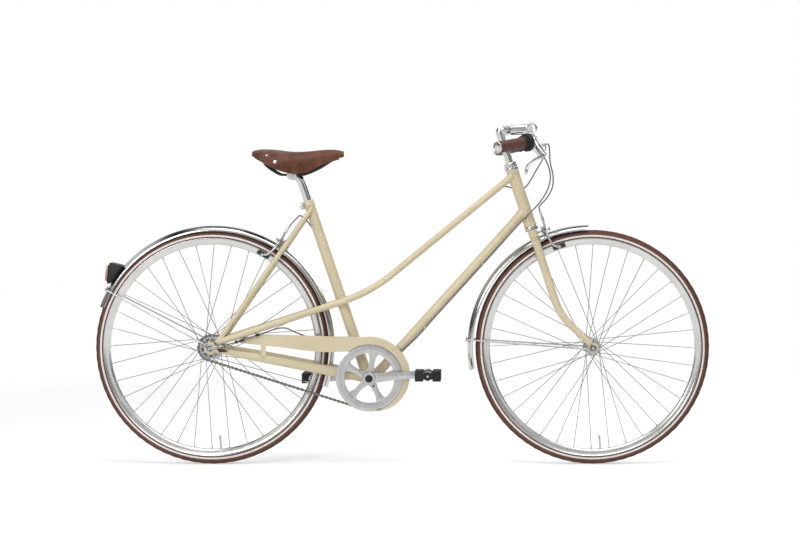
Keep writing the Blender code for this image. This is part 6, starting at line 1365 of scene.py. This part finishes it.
for step in range(13):
    share = 0.045 + 0.070 * step / 12
    outer = [saddle_point(share, -0.93 + 1.86 * k / 30, 0.0044) for k in range(31)]
    inner = [saddle_point(share, -0.93 + 1.86 * k / 30, 0.0064) for k in range(31)]
    cantle_rows.append(outer + inner[::-1])
rail_meshes.append(skin(cantle_rows))
bar_x = saddle_tail + 0.030
rail_meshes.append(drawn_tube(smooth_path([(bar_x, -0.072, head.z + 0.0505),
                                           (bar_x - 0.006, -0.036, head.z + 0.0525),
                                           (bar_x - 0.008, 0, head.z + 0.0530),
                                           (bar_x - 0.006, 0.036, head.z + 0.0525),
                                           (bar_x, 0.072, head.z + 0.0505)], 6), 0.0045, 0.0055, 16,
                              FORWARD))
nose_x = saddle_tail + SADDLE_LENGTH - 0.024
rail_meshes.append(block((nose_x, 0, head.z + 0.0540), (0.0200, 0.0200, 0.0200), edge=0.0020))
fit(weld("saddle_frame_enamelled", rail_meshes, black_steel), "saddle_body", "black_steel", "saddle_frame")
fit(weld("saddle_nose_bolt", [bolt_head(Vector((nose_x + 0.0095, 0, head.z + 0.0520)), FORWARD, 0.0090,
                                        0.0055), rod(0.0028, 0, 0.012,
                                                     Vector((nose_x + 0.0080, 0, head.z + 0.0520)),
                                                     FORWARD, 16)], chrome), "saddle_body", "chrome")

# Crank set: forged alloy arms on a square axle, and a toothed ring with a guard ring riveted outside it.
# Five spider arms flare out to the rings, and a black dust cap closes the axle's end.
CHAIN_LINE = 0.045
CHAIN_PITCH = 0.0127
RING_TEETH = 46
SPROCKET_TEETH = 18
SPIDER_TURN = radians(9)
CRANK_LENGTH = 0.175
CRANK_TURN = radians(4.7)


def pitch_radius(teeth):
    return CHAIN_PITCH / 2 / sin(pi / teeth)


def ring_offset(radius, turn):
    return Vector((radius * cos(turn), 0, radius * sin(turn)))


chain_span = CRANK_CENTRE - REAR_AXLE
front_pitch = pitch_radius(RING_TEETH)
back_pitch = pitch_radius(SPROCKET_TEETH)
line_angle = atan2(chain_span.z, chain_span.x)
lean = acos((front_pitch - back_pitch) / chain_span.length)
run_length = sqrt(chain_span.length ** 2 - (front_pitch - back_pitch) ** 2)
back_links = SPROCKET_TEETH * lean / pi
front_links = RING_TEETH * (1 - lean / pi)
link_count = 2 * round((front_links + back_links) / 2 + run_length / CHAIN_PITCH)
run_links = (link_count - front_links - back_links) / 2
chain_top = line_angle + pi - lean
chain_bottom = line_angle + pi + lean


def chain_point(links):
    """A roller's place, counted in links from where the upper run leaves the chainring."""
    if links < run_links:
        start, end = CRANK_CENTRE + ring_offset(front_pitch,
                                                chain_top), REAR_AXLE + ring_offset(back_pitch, chain_top)
        return start.lerp(end, links / run_links)
    links -= run_links
    if links < back_links:
        return REAR_AXLE + ring_offset(back_pitch, chain_top + 2 * pi * links / SPROCKET_TEETH)
    links -= back_links
    if links < run_links:
        start = REAR_AXLE + ring_offset(back_pitch, chain_bottom)
        return start.lerp(CRANK_CENTRE + ring_offset(front_pitch, chain_bottom), links / run_links)
    links -= run_links
    return CRANK_CENTRE + ring_offset(front_pitch, chain_bottom + 2 * pi * links / RING_TEETH)


rollers = [chain_point(index) for index in range(link_count)]


def wheel_phase(centre, teeth):
    total_x = total_y = 0.0
    for roller in rollers:
        offset = roller - centre
        if abs(offset.length - pitch_radius(teeth)) < 0.0002:
            total_x += cos(atan2(offset.z, offset.x) * teeth)
            total_y += sin(atan2(offset.z, offset.x) * teeth)
    return atan2(total_y, total_x) / teeth


def toothed_rim(teeth, phase, tip):
    """A toothed wheel's outline: a round seat for each roller and a narrow tooth between two."""
    radius = pitch_radius(teeth)
    outline = []
    for tooth in range(teeth):
        seat = phase + 2 * pi * tooth / teeth
        for offset, reach in ((-0.46, tip), (-0.40, tip - 0.0006), (-0.26, radius - 0.0012),
                              (-0.15, radius - 0.0038),
                              (0.0, radius - 0.0045), (0.15, radius - 0.0038), (0.26, radius - 0.0012),
                              (0.40, tip - 0.0006)):
            turn = seat + offset * 2 * pi / teeth
            outline.append((reach * cos(turn), reach * sin(turn)))
    return outline


def ring_plate(outline, inner_radius, low, high, centre):
    """The mesh of a flat ring: a shaped rim outside and a round hole inside."""
    count = len(outline)
    bm = bmesh.new()
    rows = []
    for level in (low, high):
        rim = [bm.verts.new(centre + Vector((x, 0, z)) - LEFT * level) for x, z in outline]
        hole = [bm.verts.new(centre + Vector((x, 0, z)).normalized() * inner_radius - LEFT * level)
                for x, z in outline]
        rows.append((rim, hole))
    for index in range(count):
        other = (index + 1) % count
        for rim, hole in rows:
            bm.faces.new((rim[index], rim[other], hole[other], hole[index]))
        for which in (0, 1):
            bm.faces.new((rows[0][which][index], rows[0][which][other], rows[1][which][other],
                          rows[1][which][index]))
    return bm


ring_meshes = [ring_plate(toothed_rim(RING_TEETH, wheel_phase(CRANK_CENTRE, RING_TEETH),
                                      front_pitch + 0.0029), 0.0735, CHAIN_LINE - 0.0010,
                          CHAIN_LINE + 0.0010, CRANK_CENTRE)]
guard_profile = [(0.0730, 0.0512), (0.0734, 0.0528), (0.0745, 0.0531), (0.0852, 0.0531), (0.0858, 0.0524),
                 (0.0872, 0.0524), (0.0878, 0.0531), (0.0970, 0.0531), (0.0983, 0.0526), (0.0985, 0.0518),
                 (0.0980, 0.0511), (0.0745, 0.0511)]
ring_meshes.append(turned(guard_profile, CRANK_CENTRE, -LEFT, 144))
ring_meshes.append(turned([(0.0090, 0.0440), (0.0185, 0.0440), (0.0185, 0.0600), (0.0175, 0.0611),
                           (0.0090, 0.0612)], CRANK_CENTRE, -LEFT, 48))
for arm in range(5):
    turn = SPIDER_TURN + 2 * pi * arm / 5
    out = Vector((cos(turn), 0, sin(turn)))
    across = LEFT.cross(out)
    right_edge = [(0.008, 0.0150), (0.022, 0.0108), (0.034, 0.0084), (0.046, 0.0078), (0.058, 0.0092),
                  (0.067, 0.0122), (0.0725, 0.0165), (0.0760, 0.0190), (0.0785, 0.0150), (0.0800, 0.0060)]
    outline = right_edge + [(x, -z) for x, z in reversed(right_edge)]
    ring_meshes.append(cut_plate(outline, CHAIN_LINE - 0.0006, 0.0522, CRANK_CENTRE, out, across, -LEFT,
                                 0.0010))
fit(weld("chainring_and_guard_ring", ring_meshes, satin_alloy, 30), "crank", "aluminium", "chainring")
rivet_meshes = []
for arm in range(5):
    turn = SPIDER_TURN + 2 * pi * arm / 5
    for shift in (-0.15, 0.15):
        here = CRANK_CENTRE + ring_offset(0.0765, turn + shift) - LEFT * 0.0530
        rivet_meshes.append(turned([(0.0001, 0), (0.0030, 0), (0.0028, 0.0006), (0.0016, 0.0010),
                                    (0.0001, 0.0011)], here, -LEFT, 20))
fit(weld("guard_ring_rivets", rivet_meshes, zinc_steel), "crank", "steel")
# Painted shadow: a dark disc on the spider stands for the shade inside a pin hole.
pin_hole_painted_shadow = rod(0.0032, 0, 0.0003, CRANK_CENTRE + ring_offset(0.0270, radians(297)) - LEFT * 0.0522, -LEFT,
               20)
fit(make_piece("spider_hole_shadow", pin_hole_painted_shadow, shadow_brown), "crank", "aluminium")


def crank_end(side):
    return CRANK_CENTRE + ring_offset(CRANK_LENGTH, CRANK_TURN + (0 if side == -1 else pi))


for name, side in SIDES:
    end = crank_end(side)
    run = (end - CRANK_CENTRE).normalized()
    across = LEFT.cross(run)
    outline = []
    for step in range(17):
        turn = pi / 2 + pi * step / 16
        outline.append((0.0165 * cos(turn), 0.0165 * sin(turn)))
    outline += [(0.030, -0.0128), (0.060, -0.0112), (0.110, -0.0112), (0.150, -0.0124)]
    for step in range(17):
        turn = -pi / 2 + pi * step / 16
        outline.append((CRANK_LENGTH + 0.0145 * cos(turn), 0.0145 * sin(turn)))
    outline += [(0.150, 0.0124), (0.110, 0.0112), (0.060, 0.0112), (0.030, 0.0128)]
    meshes = [cut_plate(outline, 0.0615, 0.0735, CRANK_CENTRE, run, across, LEFT * side, 0.0022)]
    ridge = [(0.024, -0.0040), (0.090, -0.0030), (0.152, -0.0040), (0.158, 0), (0.152, 0.0040),
             (0.090, 0.0030), (0.024, 0.0040), (0.018, 0)]
    meshes.append(cut_plate(ridge, 0.0725, 0.0746, CRANK_CENTRE, run, across, LEFT * side, 0.0009))
    meshes.append(turned([(0.0092, 0.0618), (0.0180, 0.0618), (0.0190, 0.0628), (0.0190, 0.0755),
                          (0.0178, 0.0772), (0.0120, 0.0775), (0.0092, 0.0772)], CRANK_CENTRE, LEFT * side,
                         48))
    meshes.append(turned([(0.0046, 0.0700), (0.0100, 0.0720), (0.0100, 0.0738), (0.0085, 0.0750),
                          (0.0085, 0.0775), (0.0046, 0.0780)], end, LEFT * side, 36))
    fit(weld("crank_%s_forged" % name, meshes, satin_alloy), "crank", "aluminium", "crank_" + name)
    cap = [(0.0001, 0.0745), (0.0095, 0.0745), (0.0108, 0.0762), (0.0112, 0.0776), (0.0100, 0.0786),
           (0.0060, 0.0792), (0.0001, 0.0794)]
    fit(turning("crank_cap_" + name, cap, CRANK_CENTRE, black_plastic, LEFT * side, 36), "crank",
        "black_plastic")
    spindle = [(0.0001, 0.0705), (0.0045, 0.0705), (0.0045, 0.0800), (0.0060, 0.0805), (0.0060, 0.0830),
               (0.0045, 0.0835), (0.0042, 0.1640), (0.0036, 0.1648), (0.0001, 0.1648)]
    fit(turning("pedal_spindle_" + name, spindle, end, zinc_steel, LEFT * side, 24), "crank", "steel")
axle_profile = both_ends([(0.0001, -0.0740), (0.0085, -0.0740)])
fit(turning("crank_axle_ground", axle_profile, CRANK_CENTRE, zinc_steel, LEFT, 32), "crank", "steel",
    "crank_axle")

# Pedals: black plastic blocks that turn on the cranks' spindles, with a ribbed tread on each side.
# End plates join the treads, and a thin wire keeper arches over the middle of each.
for name, side in SIDES:
    middle = crank_end(side) + LEFT * side * 0.122
    barrel = [(0.0048, -0.041), (0.0096, -0.041), (0.0108, -0.0398), (0.0110, -0.0385), (0.0098, -0.0360),
              (0.0094, 0.0), (0.0098, 0.0360), (0.0110, 0.0385), (0.0108, 0.0398), (0.0096, 0.041),
              (0.0048, 0.041)]
    meshes = [turned(barrel, middle, LEFT, 40)]
    for way in (-1, 1):
        meshes.append(block(middle + FORWARD * way * 0.0255, (0.0210, 0.0800, 0.0250), edge=0.0022))
        for rib in range(9):
            reach = -0.036 + 0.009 * rib
            meshes.append(block(middle + FORWARD * way * 0.0255 + LEFT * reach, (0.0236, 0.0042, 0.0298),
                                edge=0.0012))
        meshes.append(block(middle + LEFT * way * 0.0390, (0.0720, 0.0050, 0.0180), edge=0.0018))
        meshes.append(turned([(0.0060, 0), (0.0118, 0), (0.0124, 0.0008), (0.0118, 0.0026),
                              (0.0060, 0.0030)], middle + LEFT * way * 0.0402, LEFT * way, 36))
    fit(weld("pedal_%s_moulded" % name, meshes, black_plastic), "pedal_%s_body" % name, "black_plastic",
        "pedal_" + name)
    keeper = [middle + Vector((-0.0120, side * 0.0418, 0.0085)),
              middle + Vector((-0.0085, side * 0.0424, 0.0125)),
              middle + Vector((0, side * 0.0426, 0.0140)), middle
              + Vector((0.0085, side * 0.0424, 0.0125)), middle + Vector((0.0120, side * 0.0418, 0.0085))]
    fit(tube("pedal_keeper_" + name, smooth_path(keeper, 6), zinc_steel, 0.0007, sides=10),
        "pedal_%s_body" % name, "steel")

# Sprocket and chain: a small steel sprocket on the gear hub's driver, and a half-inch chain of riveted links.
# Narrow inner links with rollers alternate with wide outer ones all round the closed loop.
sprocket_meshes = [ring_plate(toothed_rim(SPROCKET_TEETH, wheel_phase(REAR_AXLE, SPROCKET_TEETH),
                                          back_pitch + 0.0029), 0.0285, CHAIN_LINE - 0.0010,
                              CHAIN_LINE + 0.0010, REAR_AXLE)]
for arm in range(9):
    turn = 2 * pi * arm / 9 + 0.2
    out = Vector((cos(turn), 0, sin(turn)))
    sprocket_meshes.append(block(REAR_AXLE + out * 0.0235 - LEFT * CHAIN_LINE, (0.0125, 0.0020, 0.0046),
                                 out, LEFT, LEFT.cross(out), 0.0004))
sprocket_meshes.append(turned([(0.0054, 0.0343), (0.0180, 0.0343), (0.0185, 0.0350), (0.0185, 0.0430),
                               (0.0160, 0.0440), (0.0160, 0.0470), (0.0130, 0.0474), (0.0125, 0.0480),
                               (0.0125, 0.0594), (0.0118, 0.0599), (0.0054, 0.0599)], REAR_AXLE, -LEFT,
                              40))
fit(weld("rear_sprocket_hardened", sprocket_meshes, zinc_steel), "sprocket", "steel", "rear_sprocket")
chain_steel = new_finish("oiled_chain", 0.34, metallic=1.0)
tint(chain_steel, 0.006, [(0.3, (0.13, 0.125, 0.12)), (0.7, (0.26, 0.25, 0.24))])
gloss(chain_steel, 0.002, 0.24, 0.46)


def link_plate(first, second, low, high):
    """One figure-of-eight side plate from roller to roller."""
    run = second - first
    length = run.length
    run.normalize()
    rise = run.cross(LEFT)
    outline = []
    for step in range(7):
        turn = pi / 2 + pi * step / 6
        outline.append((0.0040 * cos(turn), 0.0040 * sin(turn)))
    outline.append((length / 2, -0.0019))
    for step in range(7):
        turn = -pi / 2 + pi * step / 6
        outline.append((length + 0.0040 * cos(turn), 0.0040 * sin(turn)))
    outline.append((length / 2, 0.0019))
    return cut_plate(outline, low, high, first, run, rise, -LEFT)


chain_meshes = []
for index, roller in enumerate(rollers):
    after = rollers[(index + 1) % link_count]
    for side in (-1, 1):
        near = 0.0022 if index % 2 else 0.0032
        low, high = sorted((CHAIN_LINE + side * near, CHAIN_LINE + side * (near + 0.0009)))
        chain_meshes.append(link_plate(roller, after, low, high))
    chain_meshes.append(turned([(0.0001, CHAIN_LINE - 0.0043), (0.0017, CHAIN_LINE - 0.0043),
                                (0.0018, CHAIN_LINE - 0.0021), (0.0037, CHAIN_LINE - 0.0020),
                                (0.0037, CHAIN_LINE + 0.0020), (0.0018, CHAIN_LINE + 0.0021),
                                (0.0017, CHAIN_LINE + 0.0043), (0.0001, CHAIN_LINE + 0.0043)], roller,
                               -LEFT, 10))
fit(weld("chain_of_riveted_links", chain_meshes, chain_steel), "frame", "steel", "chain")

# Chain guard: thin sheet steel in cream enamel, a plate that hooks round the chainring with a turned-in rim.
# A folded tab behind it is bolted to the chain stay.
guard_centre = CRANK_CENTRE
GUARD_REACH = 0.120
tip = guard_centre + Vector((-0.388, 0, 0.1065))
peak = guard_centre + Vector((-0.327, 0, 0.1255))
guard_outer = [(tip.x, tip.z), (tip.x + 0.0010, tip.z + 0.0036), (peak.x - 0.020, peak.z - 0.0034),
               (peak.x - 0.008, peak.z + 0.0001), (peak.x + 0.004, peak.z + 0.0011),
               (peak.x + 0.016, peak.z + 0.0010)]
for step in range(1, 8):
    share = step / 8
    arc_start = radians(98)
    end_x = guard_centre.x + GUARD_REACH * cos(arc_start)
    end_z = guard_centre.z + GUARD_REACH * sin(arc_start)
    guard_outer.append((peak.x + 0.016 + (end_x - peak.x - 0.016) * share,
                        peak.z + 0.0010 + (end_z - peak.z - 0.0010) * share))
guard_inner = [(tip.x + 0.0015, tip.z - 0.0026), (tip.x + 0.067, tip.z - 0.0098),
               (tip.x + 0.0705, tip.z - 0.0102), (tip.x + 0.0705, 0.3205), (tip.x + 0.0718, 0.3192),
               (tip.x + 0.0838, 0.3192), (tip.x + 0.085, 0.3205), (tip.x + 0.085, tip.z - 0.0118),
               (tip.x + 0.145, tip.z - 0.018), (tip.x + 0.190, tip.z - 0.0242),
               (tip.x + 0.228, tip.z - 0.0284), (tip.x + 0.255, tip.z - 0.0302),
               (tip.x + 0.279, tip.z - 0.0300)]
for step in range(41):
    degrees = 98 - 176 * step / 40
    outer_reach = GUARD_REACH - 0.0205 * (max(0, 20 - degrees) / 98) ** 1.5
    guard_outer.append((guard_centre.x + outer_reach * cos(radians(degrees)),
                        guard_centre.z + outer_reach * sin(radians(degrees))))
    degrees = 128 - 206 * step / 40
    inner_reach = min(0.0990, 0.1165 - 0.0205 * (max(0, 20 - degrees) / 98) ** 1.5)
    guard_inner.append((guard_centre.x + inner_reach * cos(radians(degrees)),
                        guard_centre.z + inner_reach * sin(radians(degrees))))
guard_meshes = [cut_plate(guard_outer + guard_inner[::-1], 0.0582, 0.0594, normal=-LEFT)]
rim_rings = []
for index in range(2, len(guard_outer)):
    x, z = guard_outer[index]
    before = guard_outer[index - 1]
    after = guard_outer[min(index + 1, len(guard_outer) - 1)]
    run = Vector((after[0] - before[0], 0, after[1] - before[1])).normalized()
    inward = run.cross(LEFT)
    if inward.dot(guard_centre + UP * 0.02 - Vector((x, 0, z))) < 0:
        inward = -inward
    edge = Vector((x, 0, z))
    rim_rings.append([edge + inward * 0.0010 - LEFT * 0.0594, edge + inward * 0.0002 - LEFT * 0.0588,
                      edge - LEFT * 0.0580, edge - LEFT * 0.0394, edge + inward * 0.0012 - LEFT * 0.0394,
                      edge + inward * 0.0014 - LEFT * 0.0578])
guard_meshes.append(skin(rim_rings))
fit(weld("chain_guard_enamelled", guard_meshes, cream_enamel), "frame", "cream_paint", "chain_guard")
tab_bolt = Vector((tip.x + 0.0778, -0.0594, 0.3262))
fit(weld("chain_guard_bolt", [turned([(0.0001, 0), (0.0040, 0), (0.0038, 0.0010), (0.0024, 0.0018),
                                      (0.0001, 0.0020)], tab_bolt, -LEFT, 24)], cream_enamel), "frame",
    "cream_paint")

# Cables: grey housings over steel wire, held by small guides on the frame, with a bright ferrule at each end.
# Two run to the brakes, and the third goes from the shifter down the frame to the hub's shift arm.
# The two that run from the bar to the frame pass in front of the head tube and are fixed in place on neither
# body.
grey_housing = new_finish("grey_housing", 0.40)
tint(grey_housing, 0.012, [(0.3, (0.150, 0.150, 0.152)), (0.7, (0.215, 0.215, 0.218))])
relief(grey_housing, grain(grey_housing, 0.0012, (1, 1, 3)), 0.00005)


def lay_cable(name, route, node, first_body, last_body, bend_start=None):
    """A housing and its two ferrules; one that joins two bodies is fixed in place on neither body."""
    curve = smooth_path(route, 8)
    housing = tube(name, curve, grey_housing, 0.0021, sides=14, hint=Vector((0.31, 0.9, 0.22)))
    if bend_start is None:
        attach(housing, first_body)
    else:
        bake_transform(housing)
    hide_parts(node)
    ferrule = [(0.0001, 0.0003), (0.0031, 0.0003), (0.0033, 0.0009), (0.0033, 0.0090), (0.0029, 0.0100),
               (0.0001, 0.0100)]
    for place, body, here, ahead in (("first", first_body, curve[0], curve[3]),
                                     ("last", last_body, curve[-1], curve[-4])):
        way = (ahead - here).normalized()
        fit(turning("%s_%s_ferrule" % (name, place), ferrule, here, satin_alloy, way, 20), body,
            "aluminium")


def lever_cable_start(side):
    pivot, _, _, _, clamp, _ = lever_frame(side)
    start = clamp - (clamp - pivot).normalized() * 0.011
    return start.lerp(pivot, 0.35) + cable_exit(side) * 0.0186


def barrel_top(middle, out, up):
    return middle - LEFT * 0.0345 + up * 0.0466 + out * 0.0215


start = lever_cable_start(-1)
way = cable_exit(-1)
end = barrel_top(front_brake_middle, front_brake_out, front_brake_up)
lay_cable("front_brake_cable_housing", [start, start + way * 0.012, start + way * 0.024 - UP * 0.005,
                                        bar_middle + Vector((0.0530, -0.084, -0.100)),
                                        bar_middle + Vector((0.0620, -0.064, -0.140)),
                                        bar_middle + Vector((0.0600, -0.048, -0.175)),
                                        bar_middle + Vector((0.0430, -0.038, -0.207)),
                                        end + STEER_UP * 0.028 + FORWARD * 0.004, end + STEER_UP * 0.014,
                                        end], "front_brake_cable", "fork", "fork")

mouth = right_end - right_axis * 0.1309
behind = Vector((-1, 0, -0.4))
behind = (behind - right_axis * behind.dot(right_axis)).normalized()
start = mouth + behind * 0.0195
right_clamp = lever_frame(-1)[4]
line_run = (down_top - down_foot).normalized()
under = (Vector((line_run.z, 0, -line_run.x)) - LEFT * 0.8).normalized() * 0.0177
shift_route = [start, start - right_axis * 0.014, right_clamp + Vector((-0.0160, 0.0020, -0.0150)),
               bar_middle + Vector((-0.0020, -0.098, -0.0500)),
               bar_middle + Vector((0.0280, -0.086, -0.0760)),
               bar_middle + Vector((0.0480, -0.074, -0.1120)),
               bar_middle + Vector((0.0540, -0.062, -0.1500)),
               bar_middle + Vector((0.0420, -0.045, -0.1900)),
               bar_middle + Vector((0.0180, -0.031, -0.2250)), down_top + Vector((0.010, -0.0235, -0.010)),
               down_top + Vector((-0.026, -0.0205, -0.048))]
shift_route += [down_foot.lerp(down_top, share) + under for share in (0.78, 0.60, 0.40, 0.24)]
shift_route += [down_foot.lerp(down_top, 0.14) - LEFT * 0.0193,
                CRANK_CENTRE + Vector((0.060, -0.026, 0.090)),
                CRANK_CENTRE + Vector((-0.010, -0.0240, 0.084)),
                Vector((seat_point(0, 0, 0.09).x, -0.0206, CRANK_CENTRE.z + 0.088)),
                CRANK_CENTRE + Vector((-0.125, -0.0335, 0.100)),
                REAR_AXLE + Vector((0.255, -0.0360, 0.042)), REAR_AXLE + Vector((0.212, -0.0490, 0.0590)),
                REAR_AXLE + Vector((0.156, -0.0620, 0.0450)), REAR_AXLE + Vector((0.086, -0.0705, 0.0210)),
                shift_tip + FORWARD * 0.0006]
lay_cable("shift_cable_housing", shift_route, "shift_cable", "fork", "frame",
          bar_middle + Vector((0.0280, -0.086, -0.0760)))
shift_curve = smooth_path(shift_route, 8)
sleeve_meshes = []
for x, length, radius in ((-0.420, 0.012, 0.0036), (-0.464, 0.013, 0.0034), (-0.482, 0.008, 0.0040)):
    index = min(range(len(shift_curve)), key=lambda k: abs(shift_curve[k].x - x)
                + (1 if shift_curve[k].z > 0.42 else 0))
    way = (shift_curve[index + 1] - shift_curve[index - 1]).normalized()
    sleeve_meshes.append(turned([(0.0001, -length / 2), (radius * 0.85, -length / 2),
                                 (radius, -length / 2 + 0.0008), (radius, length / 2 - 0.0008),
                                 (radius * 0.85, length / 2), (0.0001, length / 2)], shift_curve[index],
                                way, 24))
fit(weld("shift_cable_sleeves", sleeve_meshes, black_plastic), "frame", "black_plastic")
band_meshes = []
for share in (0.70, 0.32):
    here = down_foot.lerp(down_top, share)
    band_meshes.append(turned(both_ends([(0.0025, -0.0022), (0.0032, -0.0022)]), here + under, line_run,
                              24))
fit(weld("shift_cable_guides", band_meshes, cream_enamel), "frame", "cream_paint")

start = lever_cable_start(1)
way = cable_exit(1)
end = barrel_top(rear_brake_middle, rear_brake_out, rear_brake_up)
brake_route = [start, start + way * 0.010, start + way * 0.018 - UP * 0.005,
               bar_middle + Vector((0.0340, 0.070, -0.0900)),
               bar_middle + Vector((0.0180, 0.058, -0.1180)),
               bar_middle + Vector((-0.0160, 0.040, -0.1720)),
               bar_middle + Vector((-0.0456, 0.0325, -0.1785)),
               bar_middle + Vector((-0.0796, 0.0305, -0.1720))]
SOLID_HOUSING_RADIUS = 0.0025
clear = LATERAL_RADIUS + SOLID_HOUSING_RADIUS + 0.0022
left_lateral = lateral_route(1)
for share in (0.12, 0.26, 0.44, 0.64, 0.80, 0.92):
    x = left_lateral[0].x + (seat_x - left_lateral[0].x) * share
    brake_route.append(point_at_x(left_lateral, x) + (LEFT - UP * 0.1).normalized() * clear)
side = 0.0156 + SOLID_HOUSING_RADIUS + 0.0009
brake_route += [point_at_x(left_lateral, seat_x + 0.002) + LEFT * (clear + 0.0003) + UP * 0.004,
                seat_point(0.003, side + 0.010, SEAT_TUBE_TOP - 0.255),
                seat_point(0.0, side + 0.0005, SEAT_TUBE_TOP - 0.215),
                seat_point(-0.002, side, SEAT_TUBE_TOP - 0.14),
                seat_point(-0.0140, side * 0.72, SEAT_TUBE_TOP - 0.085),
                seat_point(-0.0230, 0.004, SEAT_TUBE_TOP - 0.055),
                seat_point(-0.034, -0.002, SEAT_TUBE_TOP - 0.036),
                end + rear_brake_up * 0.040 + LEFT * 0.014 + FORWARD * 0.004, end + rear_brake_up * 0.016,
                end]
lay_cable("rear_brake_cable_housing", brake_route, "rear_brake_cable", "fork", "frame",
          bar_middle + Vector((0.0340, 0.070, -0.0900)))
